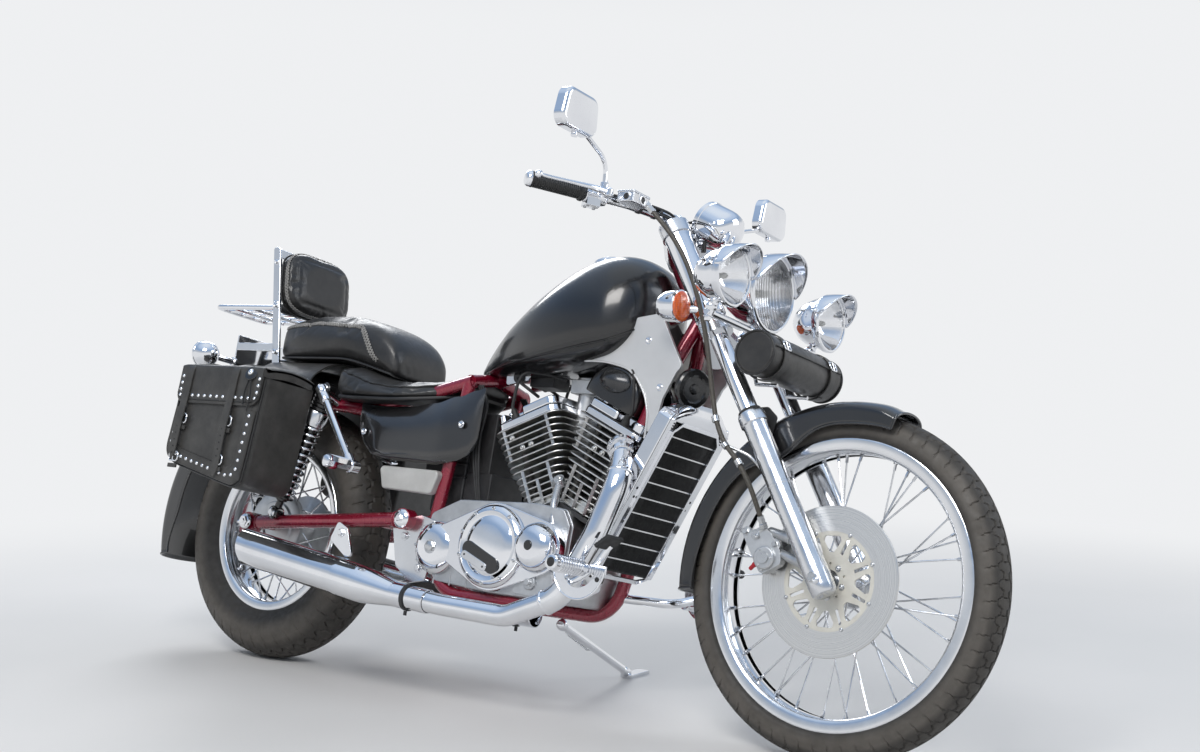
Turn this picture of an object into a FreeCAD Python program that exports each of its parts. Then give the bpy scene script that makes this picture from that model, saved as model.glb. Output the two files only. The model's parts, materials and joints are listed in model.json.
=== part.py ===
import FreeCAD, Part
import math
import os

# Cruiser motorcycle, built upright and steered straight, then leaned onto its side stand.
# Building frame: +X forward, +Y to the rider's left, +Z up, millimetres,
# with its origin on the ground line under the rear axle.

# Stance
LEAN = 14.0
WHEELBASE = 1560.0

# Front tyre and wheel
FRONT_TYRE_R = 340.0
FRONT_TYRE_HALF = 44.0
FRONT_BEAD_R = 272.0
FRONT_FLANGE_R = 281.0
FRONT_RIM_HALF = 31.0
FRONT_RIM_INNER_R = 262.0
FRONT_HUB_R = 24.0
FRONT_HUB_HALF = 52.0
FRONT_HUB_FLANGE_R = 40.0
FRONT_HUB_FLANGE_Y = 34.0
FRONT_SPOKES = 20

# Rear tyre and wheel
REAR_TYRE_R = 316.0
REAR_TYRE_HALF = 68.0
REAR_BEAD_R = 198.0
REAR_FLANGE_R = 205.0
REAR_RIM_HALF = 46.0
REAR_RIM_INNER_R = 184.0
REAR_DRUM_R = 92.0
REAR_DRUM_HALF = 58.0
REAR_SPOKES = 20

SPOKE_R = 2.0
RIM_WALL = 4.0
TYRE_GAP = 0.5
AXLE_R = 10.0
AXLE_CLEARANCE = 0.05

# Brake disc, on the right
DISC_R = 147.0
DISC_THICK = 5.0
DISC_Y = -62.0
DISC_CARRIER_R = 96.0
DISC_HOLE_R = 12.0
DISC_HOLES = 8

# Steering head and fork
RAKE = 33.0
FORK_OFFSET = 55.0
STEER_LIMIT = 36.0
STEER_FRICTION = 20.0
LEG_Y = 104.0
SLIDER_R = 25.0
STANCHION_R = 19.5
COVER_R = 28.0
SLIDER_TOP = 372.0
STANCHION_SEAT = 60.0
LOWER_CLAMP = 575.0
UPPER_CLAMP = 826.0
CLAMP_THICK = 30.0
HEAD_TUBE_R = 30.0
STEM_R = 13.0
STEM_CLEARANCE = 0.1

# Front fender
FENDER_GAP = 22.0
FENDER_HALF = 58.0
FENDER_THICK = 3.0
FENDER_FROM = 74.0
FENDER_TO = 188.0

# Handlebar: x and z from the front axle
BAR_R = 11.1
BAR_Z = 724.6
BAR_CENTRE_X = -498.0
BAR_SHOULDER = (-482.0, 120.0)
BAR_ELBOW = (-508.0, 212.0)
BAR_END = (-622.0, 402.0)
GRIP_R = 16.5
GRIP_LENGTH = 122.0
RISER_Y = 48.0
RISER_R = 15.0

# Lamps and instruments on the fork: places from the front axle
HEADLAMP = (-252.0, 0.0, 584.6)
HEADLAMP_R = 80.0
HEADLAMP_DEPTH = 120.0
SPOT = (-223.0, 202.0, 569.6)
SPOT_R = 60.0
SPOT_DEPTH = 92.0
FRONT_SIGNAL = (-370.0, 160.0, 516.6)
SIGNAL_R = 33.0
SIGNAL_DEPTH = 62.0
SPEEDOMETER = (-360.0, 0.0, 728.6)
SPEEDOMETER_R = 46.0
SPEEDOMETER_DEPTH = 92.0
TOOL_ROLL = (-188.0, 428.6)
TOOL_ROLL_R = 47.0
TOOL_ROLL_HALF = 142.0
MIRROR = (-532.0, 388.0, 865.6)
MIRROR_HALF_W = 62.0
MIRROR_HALF_H = 42.0
MIRROR_DEPTH = 26.0
MIRROR_TOP_IN = 10.0
MIRROR_CORNER = 24.0
MIRROR_ROUND = 9.0
BEZEL_W = 5.0
LENS_SET = 4.0
HEADLAMP_HOOD = 50.0
SPOT_HOOD = 42.0
HOOD_THICK = 2.4
HOOD_LAP = 8.0
SPEEDOMETER_TILT = 24.0
ROLL_BAND_Y = 96.0
ROLL_BAND_HALF = 9.0
ROLL_BAND_THICK = 2.0

# Fuel tank: x, low z, high z, half width, corner radius low, corner radius high
TANK_SECTIONS = (
    (566.0, 722.0, 752.0, 18.0, 10.0, 14.0),
    (690.0, 718.0, 866.0, 98.0, 30.0, 84.0),
    (860.0, 732.0, 985.0, 146.0, 44.0, 118.0),
    (980.0, 764.0, 996.0, 136.0, 48.0, 112.0),
    (1056.0, 838.0, 942.0, 58.0, 34.0, 50.0),
)

# Seats: x, low z, high z, half width, corner radius low, corner radius high
RIDER_SEAT_SECTIONS = (
    (222.0, 640.0, 716.0, 150.0, 24.0, 34.0),
    (330.0, 636.0, 694.0, 166.0, 24.0, 32.0),
    (440.0, 640.0, 690.0, 158.0, 22.0, 30.0),
    (548.0, 660.0, 716.0, 92.0, 22.0, 32.0),
    (590.0, 676.0, 716.0, 64.0, 18.0, 20.0),
)
PASSENGER_SEAT_SECTIONS = (
    (-52.0, 733.0, 836.0, 96.0, 20.0, 32.0),
    (60.0, 733.0, 850.0, 116.0, 20.0, 36.0),
    (200.0, 731.0, 846.0, 120.0, 20.0, 36.0),
    (300.0, 712.0, 824.0, 112.0, 20.0, 40.0),
    (352.0, 698.0, 760.0, 96.0, 18.0, 26.0),
)
BACKREST = (-62.0, 0.0, 938.0)
BACKREST_HALF_W = 112.0
BACKREST_HALF_H = 84.0
BACKREST_THICK = 44.0
BACKREST_TILT = 10.0

# Sissy bar and rack
SISSY_Y = 104.0
SISSY_BAR_W = 24.0
SISSY_BAR_T = 8.0
SISSY_FOOT = (-40.0, 690.0)
SISSY_TOP = (-118.0, 1022.0)
RACK_Z = 868.0
RACK_REAR_X = -330.0
RACK_HALF = 86.0
RACK_R = 7.0

# Rear fender
REAR_FENDER_R = 404.0
REAR_FENDER_HALF = 92.0
REAR_FENDER_THICK = 4.0
REAR_FENDER_FROM = 58.5
REAR_FENDER_TO = 196.0

# Engine
CRANK = (892.0, 336.0)
BANK_ANGLE = 22.5
CYLINDER_START = 104.0
V_GAP = 4.0
CYLINDER_FIN_COUNT = 14
CYLINDER_FIN_PITCH = 14.5
CYLINDER_FIN_THICK = 4.0
CYLINDER_CORE_R = 48.0
FIN_BASE = (62.0, 84.0)
FIN_TOP = (94.0, 104.0)
HEAD_COVER_HALF = (88.0, 98.0)
HEAD_COVER_THICK = 42.0
HEAD_COVER_CORNER = 24.0
HEAD_COVER_ROUND = 8.0
PLUG_POCKET_X = 30.0
PLUG_POCKET_HALF = 25.0
PLUG_POCKET_DEEP = 26.0
PLUG_POCKET_FLOOR = 18.0
CASE_HALF_W = 112.0
CASE_CORNER = 14.0
CASE_CHAMFER = 5.0

# Exhaust
PIPE_R = 23.0
MUFFLER_R = 43.0
MUFFLER_Y = 190.0
MUFFLER_REAR = (62.0, 256.0)
MUFFLER_CONE = 118.0
MUFFLER_CONE_END = (568.0, 196.0)

# Radiator
RADIATOR_TOP = (1176.0, 632.0)
RADIATOR_BOTTOM = (1028.0, 306.0)
RADIATOR_HALF = 92.0
RADIATOR_DEPTH = 38.0
RADIATOR_SIDE_W = 24.0

# Chassis
SWINGARM_PIVOT = (502.0, 366.0)
SWINGARM_Y = 128.0
SWINGARM_R = 17.0
SHOCK_TOP = (196.0, 652.0)
SHOCK_BOTTOM = (92.0, 347.0)
SHOCK_LUG_R = 14.0
SHOCK_EYE_R = 16.0
SHOCK_EYE_HALF = 12.0
SHOCK_ROD_R = 9.0
SHOCK_Y = 143.0
SHOCK_R = 28.0
SHOCK_CORE_R = 23.0
SHOCK_COVER_LOW = 40.0
SHOCK_COVER_HIGH = 46.0
COIL_PITCH = 13.0
COIL_THICK = 6.0
RAIL_Y = 96.0
RAIL_Z = 214.0
TUBE_R = 15.0

# Saddlebags
BAG_INNER_Y = 176.0
BAG_OUTER_Y = 338.0
BAG_WALL = 5.0
BAG_REAR_TOP = (-96.0, 640.0)
BAG_FRONT_TOP = (186.0, 640.0)
BAG_REAR_BOTTOM = (-116.0, 430.0)
BAG_FRONT_BOTTOM = (166.0, 372.0)
LID_HEIGHT = 34.0
LID_THICK = 6.0
LID_DROP = 70.0
LID_GAP = 0.5
LID_INSET = 7.0
LID_OPEN = 95.0
LID_ARC_POINTS = 7
BAG_EDGE_R = 10.0

# Side stand
STAND_PIVOT = (812.0, 104.0, 186.0)
STAND_FOOT_OUT = 372.0
STAND_FOOT_X = 832.0
STAND_PAD = 62.0
STAND_R = 9.0
STAND_PAD_THICK = 8.0
STAND_STOWED = (-0.98, -0.14, -0.12)

LAMP_BAR = (-270.0, 494.6)
LAMP_BAR_R = 8.0
ROLL_STAY_Y = 62.0
ROLL_STAY_R = 4.0
SWITCH_R = 19.0
SWITCH_LENGTH = 52.0
LEVER_AHEAD = 52.0
RESERVOIR = (-472.0, 238.0, 710.6)
RESERVOIR_HALF = (22.0, 30.0, 13.0)
RISER_AHEAD = 24.0
FENDER_STAY = 362.0
CALIPER = (-132.0, -70.0, 46.6)
CALIPER_GAP = 3.0
CALIPER_CORNER = 12.0
CALIPER_CAP_R = 21.0
CALIPER_CAP_OUT = 8.0
CALIPER_CAP = (-7.0, -17.0)
CALIPER_UP = 96.0
HOSE_R = 5.0
HOSE_BEND = 400.0
HOSE_POINTS = (
    (-456.0, -212.0, 720.6),
    (-408.0, -196.0, 676.6),
    (-364.0, -182.0, 618.6),
    (-334.0, -168.0, 554.6),
    (-314.0, -156.0, 494.6),
    (-298.0, -147.0, 436.6),
    (-288.0, -138.0, 382.6),
    (-276.0, -132.0, 330.6),
    (-260.0, -132.0, 282.6),
    (-234.0, -133.0, 242.6),
    (-198.0, -133.0, 210.6),
    (-168.0, -127.0, 168.6),
    (-150.0, -112.0, 122.6),
    (-140.0, -94.0, 86.6),
)

# Frame points: x, z
BACKBONE_REAR = (600.0, 716.0)
DOWNTUBE_TOP = (1094.0, 690.0)
DOWNTUBE_RISE = 90.0
RAIL_FRONT_X = 952.0
RAIL_REAR_X = 600.0
SEAT_RAIL_Z = 616.0
SWINGARM_CROSS = 90.0
SWINGARM_PIN_R = 8.0
FINAL_DRIVE_R = 62.0

# Neck cover outline: x, z
NECK_COVER = (
    (915.0, 752.0), (983.0, 749.0), (1027.0, 739.0), (1065.0, 712.0), (1086.0, 683.0), (1102.0, 633.0),
    (1103.0, 590.0), (1126.0, 634.0), (1132.0, 676.0), (1158.0, 734.0), (1170.0, 748.0), (1098.0, 860.0),
    (1040.0, 850.0), (930.0, 790.0),
)
NECK_COVER_HALF = 94.0
NECK_COVER_THICK = 8.0

# Crankcase outline: x, z
CRANKCASE = (
    (540.0, 300.0), (600.0, 236.0), (760.0, 226.0), (930.0, 226.0), (958.0, 290.0), (962.0, 392.0),
    (940.0, 428.0), (850.0, 436.0), (640.0, 428.0), (560.0, 392.0),
)
# Round covers: x, z, radius, thickness
CASE_COVERS = (
    (772.0, 328.0, 92.0, 46.0),
    (895.0, 336.0, 56.0, 54.0),
    (600.0, 312.0, 60.0, 30.0),
)
# Base that carries the round covers: x, z, radius
COVER_BASE = (
    (640.0, 330.0, 40.0),
    (772.0, 328.0, 96.0),
    (895.0, 336.0, 60.0),
)
COVER_BASE_THICK = 22.0
# Header pipes, from the muffler's neck to the head: x, y, z
FRONT_HEADER = (
    (700.0, -186.0, 188.0),
    (880.0, -182.0, 184.0),
    (1012.0, -180.0, 238.0),
    (1074.0, -174.0, 372.0),
    (1102.0, -156.0, 500.0),
    (1056.0, -102.0, 568.0),
)
REAR_HEADER = (
    (646.0, 190.0, 196.0),
    (658.0, 186.0, 270.0),
    (668.0, 184.0, 420.0),
    (690.0, 162.0, 530.0),
    (726.0, 104.0, 562.0),
)
RADIATOR_CAP = 46.0
RADIATOR_BARS = 9
RADIATOR_BAR_HALF = 1.2
RADIATOR_BAR_OUT = 2.5
RADIATOR_MARGIN = 34.0
EXHAUST_CLAMP_R = 29.0
EXHAUST_CLAMP_LONG = 14.0
HEAD_FLANGE_R = 34.0
HEAD_FLANGE_THICK = 8.0
EXHAUST_BEND = 90.0

# Panels: outline of x, z, then inner and outer y
SIDE_PANEL = (
    ((286.0, 610.0), (300.0, 560.0), (356.0, 500.0), (560.0, 494.0), (650.0, 520.0), (664.0, 640.0),
     (560.0, 634.0), (420.0, 606.0)),
    108.0, 138.0,
)
LOWER_PANEL = (
    ((388.0, 484.0), (408.0, 430.0), (572.0, 426.0), (580.0, 484.0)),
    104.0, 132.0,
)
INTAKE = (1004.0, 706.0, 44.0)
INTAKE_Y = (82.0, 112.0)
AIR_HOUSING = (995.0, 676.0, 74.0)
AIR_HOUSING_Y = (40.0, 84.0)
AIR_HOUSING_GAP = 1.0
PANEL_CORNER = 10.0

TAIL_PLATE_X = -198.0
TAIL_LAMP = (-236.0, 0.0, 760.0)
TAIL_LAMP_DEPTH = 56.0
REAR_SIGNAL = (-200.0, 200.0, 718.0)
YOKE_X = (-50.0, 160.0)
YOKE_FLAP = 28.0
YOKE_THICK = 5.0
SEAT_GAP = 0.3
FRONT_PEG = (1100.0, 250.0, 300.0, 338.0)
# From the peg back to the frame: x, y, z
PEG_ARM = (
    (1098.0, 206.0, 286.0),
    (1078.0, 140.0, 264.0),
    (975.0, 100.0, 262.0),
)
FOOT_GUARD_Y = 240.0
FOOT_GUARD_THICK = 6.0
FOOT_GUARD_R = 64.0
FOOT_GUARD_W = 24.0
REAR_PEG = (352.0, 176.0, 470.0)
REAR_PEG_ROOT = (200.0, 624.0)
REAR_PEG_LENGTH = 86.0
REAR_PEG_R = 13.0
REAR_PEG_ARM_R = 9.0

# Working values that follow from the sizes above
LEAN_RAD = math.radians(LEAN)
RAKE_RAD = math.radians(RAKE)
FRONT_AXLE_Z = FRONT_TYRE_R - FRONT_TYRE_HALF + FRONT_TYRE_HALF / math.cos(LEAN_RAD)
REAR_AXLE_Z = REAR_TYRE_R - REAR_TYRE_HALF + REAR_TYRE_HALF / math.cos(LEAN_RAD)
STEER_UP = FreeCAD.Vector(-math.sin(RAKE_RAD), 0.0, math.cos(RAKE_RAD))
STEER_AHEAD = FreeCAD.Vector(math.cos(RAKE_RAD), 0.0, math.sin(RAKE_RAD))
Y_AXIS = FreeCAD.Vector(0.0, 1.0, 0.0)
Z_AXIS = FreeCAD.Vector(0.0, 0.0, 1.0)
X_AXIS = FreeCAD.Vector(1.0, 0.0, 0.0)
FRONT_AXLE = FreeCAD.Vector(WHEELBASE, 0.0, FRONT_AXLE_Z)
REAR_AXLE = FreeCAD.Vector(0.0, 0.0, REAR_AXLE_Z)
STEER_POINT = FRONT_AXLE - STEER_AHEAD * FORK_OFFSET


def vec(x, y, z):
    return FreeCAD.Vector(x, y, z)


def cylinder(start, end, radius):
    """A round bar between two points."""
    along = end - start
    return Part.makeCylinder(radius, along.Length, start, along)


def cone(start, end, radius_start, radius_end):
    along = end - start
    return Part.makeCone(radius_start, radius_end, along.Length, start, along)


def box(low, high):
    size = high - low
    return Part.makeBox(size.x, size.y, size.z, low)


def fuse(shapes):
    """One solid from pieces that meet."""
    solid = shapes[0]
    if len(shapes) > 1:
        solid = solid.fuse(shapes[1:])
    return solid.removeSplitter()


def mirrored(shape):
    """The same piece on the other side of the bike."""
    return shape.mirror(vec(0.0, 0.0, 0.0), Y_AXIS)


def pair(shape):
    return [shape, mirrored(shape)]


def route(points, radius):
    """Straight runs joined by tangent arcs, each arc as large as its runs allow up to the radius."""
    edges = []
    start = points[0]
    for i in range(1, len(points) - 1):
        before = points[i - 1] - points[i]
        after = points[i + 1] - points[i]
        half_turn = (math.pi - before.getAngle(after)) / 2.0
        room = 0.45 * min(before.Length, after.Length)
        reach = min(room, radius * math.tan(half_turn))
        arc_from = points[i] + before.normalize() * reach
        arc_to = points[i] + after.normalize() * reach
        to_middle = (arc_from + arc_to) * 0.5 - points[i]
        arc_radius = reach / math.tan(half_turn)
        centre_distance = math.hypot(arc_radius, reach)
        middle = points[i] + to_middle.normalize() * (centre_distance - arc_radius)
        edges.append(Part.makeLine(start, arc_from))
        edges.append(Part.Arc(arc_from, middle, arc_to).toShape())
        start = arc_to
    edges.append(Part.makeLine(start, points[-1]))
    return Part.Wire(edges)


def edges_along(shape, axis):
    """The straight edges of a shape that run along an axis."""
    return [edge for edge in shape.Edges
            if len(edge.Vertexes) == 2 and abs(edge.tangentAt(edge.FirstParameter).dot(axis)) > 0.99]


def pipe(points, radius, bend):
    """A round tube along a route."""
    path = route(points, bend)
    profile = Part.Wire(Part.makeCircle(radius, points[0], points[1] - points[0]))
    return path.makePipeShell([profile], True, False)


def revolve_y(profile, centre):
    """Turns a closed outline of (radius, y) points about the axle line through the centre."""
    corners = [centre + vec(radius, y, 0.0) for radius, y in profile]
    face = Part.Face(Part.makePolygon(corners + corners[:1]))
    return face.revolve(centre, Y_AXIS, 360.0)


def rounded_section(x, low, high, half, corner_low, corner_high):
    """A closed outline across the bike: four straight sides and four corner arcs."""
    corners = (
        (half - corner_low, low + corner_low, corner_low, -90.0),
        (half - corner_high, high - corner_high, corner_high, 0.0),
        (-half + corner_high, high - corner_high, corner_high, 90.0),
        (-half + corner_low, low + corner_low, corner_low, 180.0),
    )
    arcs = []
    for y, z, radius, start in corners:
        stops = []
        for turn in (0.0, 45.0, 90.0):
            angle = math.radians(start + turn)
            stops.append(vec(x, y + radius * math.cos(angle), z + radius * math.sin(angle)))
        arcs.append((stops, Part.Arc(*stops).toShape()))
    edges = []
    for i in range(4):
        edges.append(arcs[i][1])
        edges.append(Part.makeLine(arcs[i][0][2], arcs[(i + 1) % 4][0][0]))
    return Part.Wire(edges)


def loft(sections):
    """A smooth body through sections given as rows of a table."""
    return Part.makeLoft([rounded_section(*row) for row in sections], True, False)


def plate(outline, y_from, y_to):
    """A flat plate from an outline of (x, z) points."""
    corners = [vec(x, y_from, z) for x, z in outline]
    face = Part.Face(Part.makePolygon(corners + corners[:1]))
    return face.extrude(vec(0.0, y_to - y_from, 0.0))


def on_fork(x, y, z):
    """A place on the steered half, measured from the front axle."""
    return FRONT_AXLE + vec(x, y, z)


def on_leg(distance, y):
    """A point on a fork leg's line, a distance up from the front axle."""
    return FRONT_AXLE + STEER_UP * distance + vec(0.0, y, 0.0)


def on_steer(distance):
    """A point on the steering axis, a distance up from the level of the front axle."""
    return STEER_POINT + STEER_UP * distance


def tyre(centre, radius, half, bead_radius, flange_radius, rim_half):
    """A round section, cut back where it seats between the rim's flanges."""
    ring = Part.makeTorus(radius - half, half, centre, Y_AXIS)
    seat = rim_half - RIM_WALL - TYRE_GAP
    cuts = [Part.makeCylinder(bead_radius, 4.0 * half, centre - Y_AXIS * 2.0 * half, Y_AXIS)]
    for start in (centre + Y_AXIS * seat, centre - Y_AXIS * (seat + half)):
        cuts.append(Part.makeCylinder(flange_radius + TYRE_GAP, half, start, Y_AXIS))
    return [ring.cut(cuts)]


def rim(centre, flange_r, inner_r, half, bead_r):
    seat = bead_r - TYRE_GAP
    wall = flange_r - bead_r + TYRE_GAP
    profile = (
        (flange_r, half),
        (flange_r, half - RIM_WALL),
        (seat, half - RIM_WALL),
        (seat, half - 12.0),
        (seat - 8.0, half - 20.0),
        (seat - 8.0, -half + 20.0),
        (seat, -half + 12.0),
        (seat, -half + RIM_WALL),
        (flange_r, -half + RIM_WALL),
        (flange_r, -half),
        (flange_r - wall - 6.0, -half),
        (inner_r, -half + 22.0),
        (inner_r, half - 22.0),
        (flange_r - wall - 6.0, half),
    )
    return revolve_y(profile, centre)


def spokes(centre, count, hub_r, hub_y, rim_r, rim_y, cross_deg):
    """Crossed wire spokes from both hub flanges to the rim."""
    step = 360.0 / count
    bars = []
    for side in (-1.0, 1.0):
        for i in range(count):
            lead = cross_deg if i % 2 else -cross_deg
            at_hub = math.radians(step * i + side * step / 4.0)
            at_rim = at_hub + math.radians(lead)
            start = centre + vec(hub_r * math.cos(at_hub), side * hub_y, hub_r * math.sin(at_hub))
            end = centre + vec(rim_r * math.cos(at_rim), side * rim_y, rim_r * math.sin(at_rim))
            bars.append(cylinder(start, end, SPOKE_R))
    return bars


def front_wheel():
    hub = cylinder(FRONT_AXLE - Y_AXIS * FRONT_HUB_HALF, FRONT_AXLE + Y_AXIS * FRONT_HUB_HALF, FRONT_HUB_R)
    pieces = [hub]
    for side in (-1.0, 1.0):
        flange = FRONT_AXLE + Y_AXIS * side * FRONT_HUB_FLANGE_Y
        pieces.append(cylinder(flange - Y_AXIS * 3.0, flange + Y_AXIS * 3.0, FRONT_HUB_FLANGE_R))
    pieces.append(rim(FRONT_AXLE, FRONT_FLANGE_R, FRONT_RIM_INNER_R, FRONT_RIM_HALF, FRONT_BEAD_R))
    pieces += spokes(FRONT_AXLE, FRONT_SPOKES, FRONT_HUB_FLANGE_R - 5.0, FRONT_HUB_FLANGE_Y,
                     FRONT_RIM_INNER_R + 3.0, 6.0, 52.0)
    bore = AXLE_R + AXLE_CLEARANCE
    wheel = fuse(pieces)
    return wheel.cut(cylinder(FRONT_AXLE - Y_AXIS * 90.0, FRONT_AXLE + Y_AXIS * 90.0, bore))


def rear_wheel():
    drum = cylinder(REAR_AXLE - Y_AXIS * REAR_DRUM_HALF, REAR_AXLE + Y_AXIS * REAR_DRUM_HALF, REAR_DRUM_R)
    pieces = [drum]
    pieces.append(rim(REAR_AXLE, REAR_FLANGE_R, REAR_RIM_INNER_R, REAR_RIM_HALF, REAR_BEAD_R))
    pieces += spokes(REAR_AXLE, REAR_SPOKES, REAR_DRUM_R - 6.0, REAR_DRUM_HALF - 6.0,
                     REAR_RIM_INNER_R + 3.0, 8.0, 26.0)
    bore = AXLE_R + AXLE_CLEARANCE
    wheel = fuse(pieces)
    return wheel.cut(cylinder(REAR_AXLE - Y_AXIS * 90.0, REAR_AXLE + Y_AXIS * 90.0, bore))


def brake_disc():
    inner = DISC_Y + DISC_THICK / 2.0
    outer = DISC_Y - DISC_THICK / 2.0
    centre = FRONT_AXLE
    disc = Part.makeCylinder(DISC_R, DISC_THICK, centre + Y_AXIS * outer, Y_AXIS)
    hub_face = -FRONT_HUB_HALF
    carrier = Part.makeCylinder(FRONT_HUB_R + 14.0, hub_face - inner, centre + Y_AXIS * inner, Y_AXIS)
    disc = disc.fuse(carrier)
    cuts = [Part.makeCylinder(AXLE_R + 6.0, 40.0, centre + Y_AXIS * (outer - 10.0), Y_AXIS)]
    for i in range(DISC_HOLES):
        angle = math.radians(360.0 / DISC_HOLES * i)
        hole_r = 0.5 * (FRONT_HUB_R + 14.0 + DISC_CARRIER_R)
        at = centre + vec(hole_r * math.cos(angle), outer - 10.0, hole_r * math.sin(angle))
        cuts.append(Part.makeCylinder(DISC_HOLE_R, 40.0, at, Y_AXIS))
    return disc.cut(cuts)


def fork_sliders():
    legs = []
    for side in (-1.0, 1.0):
        y = side * LEG_Y
        leg = cylinder(on_leg(-34.0, y), on_leg(SLIDER_TOP, y), SLIDER_R)
        legs.append(leg)
        inner = side * (LEG_Y - SLIDER_R + 4.0)
        hub_end = side * (FRONT_HUB_HALF + 12.0)
        if side > 0:
            legs.append(cylinder(FRONT_AXLE + Y_AXIS * hub_end, FRONT_AXLE + Y_AXIS * inner, 17.0))
    legs.append(cylinder(FRONT_AXLE - Y_AXIS * (LEG_Y + 6.0), FRONT_AXLE + Y_AXIS * (LEG_Y + 6.0), AXLE_R))
    body = fuse(legs)
    sockets = []
    for side in (-1.0, 1.0):
        y = side * LEG_Y
        sockets.append(cylinder(on_leg(SLIDER_TOP - STANCHION_SEAT, y), on_leg(SLIDER_TOP + 10.0, y), STANCHION_R))
    return [body.cut(sockets)]


def fork_tubes():
    tubes = []
    for side in (-1.0, 1.0):
        y = side * LEG_Y
        tube = cylinder(on_leg(SLIDER_TOP - STANCHION_SEAT, y), on_leg(UPPER_CLAMP + CLAMP_THICK / 2.0 + 1.0, y),
                        STANCHION_R)
        cover = cylinder(on_leg(LOWER_CLAMP + CLAMP_THICK / 2.0, y), on_leg(UPPER_CLAMP - CLAMP_THICK / 2.0, y),
                         COVER_R)
        tubes.append(tube.fuse(cover).removeSplitter())
    return tubes


def clamp_plate(distance):
    """One fork yoke, square to the steering axis, from leg to leg."""
    half = CLAMP_THICK / 2.0
    pieces = []
    for side in (-1.0, 1.0):
        y = side * LEG_Y
        pieces.append(cylinder(on_leg(distance - half, y), on_leg(distance + half, y), COVER_R + 5.0))
    centre = on_steer(distance)
    pieces.append(cylinder(centre - STEER_UP * half, centre + STEER_UP * half, HEAD_TUBE_R + 4.0))
    corners = [(-30.0, -18.0), (FORK_OFFSET - 30.0, -LEG_Y), (FORK_OFFSET + 20.0, -LEG_Y),
               (FORK_OFFSET - 6.0, 0.0), (FORK_OFFSET + 20.0, LEG_Y), (FORK_OFFSET - 30.0, LEG_Y),
               (-30.0, 18.0)]
    base = centre - STEER_UP * half
    ring = [base + STEER_AHEAD * ahead + Y_AXIS * y for ahead, y in corners]
    pieces.append(Part.Face(Part.makePolygon(ring + ring[:1])).extrude(STEER_UP * CLAMP_THICK))
    body = fuse(pieces)
    holes = []
    for side in (-1.0, 1.0):
        y = side * LEG_Y
        holes.append(cylinder(on_leg(distance - 40.0, y), on_leg(distance + 40.0, y), STANCHION_R))
    return body.cut(holes)


def triple_clamps():
    """Both yokes with the steering stem, the lamp bar and two stays for the tool roll."""
    pieces = [clamp_plate(LOWER_CLAMP), clamp_plate(UPPER_CLAMP)]
    pieces.append(cylinder(on_steer(LOWER_CLAMP), on_steer(UPPER_CLAMP), STEM_R))
    bar = on_fork(LAMP_BAR[0], 0.0, LAMP_BAR[1])
    pieces.append(cylinder(on_steer(LOWER_CLAMP) + STEER_AHEAD * FORK_OFFSET * 0.7, bar, 11.0))
    end = Y_AXIS * (SPOT[1] + LAMP_BAR_R)
    pieces.append(cylinder(bar - end, bar + end, LAMP_BAR_R))
    under = TOOL_ROLL_R + ROLL_STAY_R
    for side in (-1.0, 1.0):
        y = side * ROLL_STAY_Y
        root = on_steer(LOWER_CLAMP) + STEER_AHEAD * FORK_OFFSET * 0.6 + Y_AXIS * y
        back = on_fork(TOOL_ROLL[0] - under, y, TOOL_ROLL[1] - 8.0)
        low = on_fork(TOOL_ROLL[0] - under * 0.7, y, TOOL_ROLL[1] - under * 0.98)
        front = on_fork(TOOL_ROLL[0] + 14.0, y, TOOL_ROLL[1] - under)
        pieces.append(cylinder(root, back, ROLL_STAY_R))
        pieces.append(Part.makeSphere(ROLL_STAY_R, back))
        pieces.append(cylinder(back, low, ROLL_STAY_R))
        pieces.append(Part.makeSphere(ROLL_STAY_R, low))
        pieces.append(cylinder(low, front, ROLL_STAY_R))
    return [fuse(pieces)]


def lamp_shell(face_centre, radius, depth, reach):
    """A lamp housing: a drum with a set-back lens, a tapered back and a peaked hood."""
    drum = depth * 0.4
    centre = on_fork(*face_centre)
    body = Part.makeCylinder(radius, drum, centre, X_AXIS * -1.0)
    back = Part.makeCone(radius, radius * 0.45, depth - drum, centre - X_AXIS * drum, X_AXIS * -1.0)
    lens = Part.makeCylinder(radius - BEZEL_W, LENS_SET, centre - X_AXIS * LENS_SET, X_AXIS)
    return body.fuse([back, lamp_hood(centre, radius, reach)]).cut(lens).removeSplitter()


def lamp_hood(centre, radius, reach):
    """A peaked hood over the top of a lamp, longest in the middle."""
    back = centre - X_AXIS * HOOD_LAP
    length = reach + HOOD_LAP
    shell = Part.makeCylinder(radius + HOOD_THICK, length, back, X_AXIS)
    shell = shell.cut(Part.makeCylinder(radius - HOOD_THICK / 2.0, length, back, X_AXIS))
    peak = (
        (back.x, centre.z),
        (centre.x, centre.z),
        (centre.x + reach, centre.z + radius * 0.8),
        (centre.x + reach, centre.z + radius * 2.0),
        (back.x, centre.z + radius * 2.0),
    )
    return shell.common(plate(peak, centre.y - radius * 2.0, centre.y + radius * 2.0))


def headlamp():
    shell = lamp_shell(HEADLAMP, HEADLAMP_R, HEADLAMP_DEPTH, HEADLAMP_HOOD)
    lug = cylinder(on_fork(LAMP_BAR[0], 0.0, LAMP_BAR[1]), on_fork(LAMP_BAR[0], 0.0, HEADLAMP[2]), 12.0)
    return [fuse([shell, lug])]


def spot_lamps():
    shell = lamp_shell(SPOT, SPOT_R, SPOT_DEPTH, SPOT_HOOD)
    stalk = cylinder(on_fork(LAMP_BAR[0], SPOT[1], LAMP_BAR[1]), on_fork(LAMP_BAR[0], SPOT[1], SPOT[2]), 9.0)
    return pair(fuse([shell, stalk]))


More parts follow.
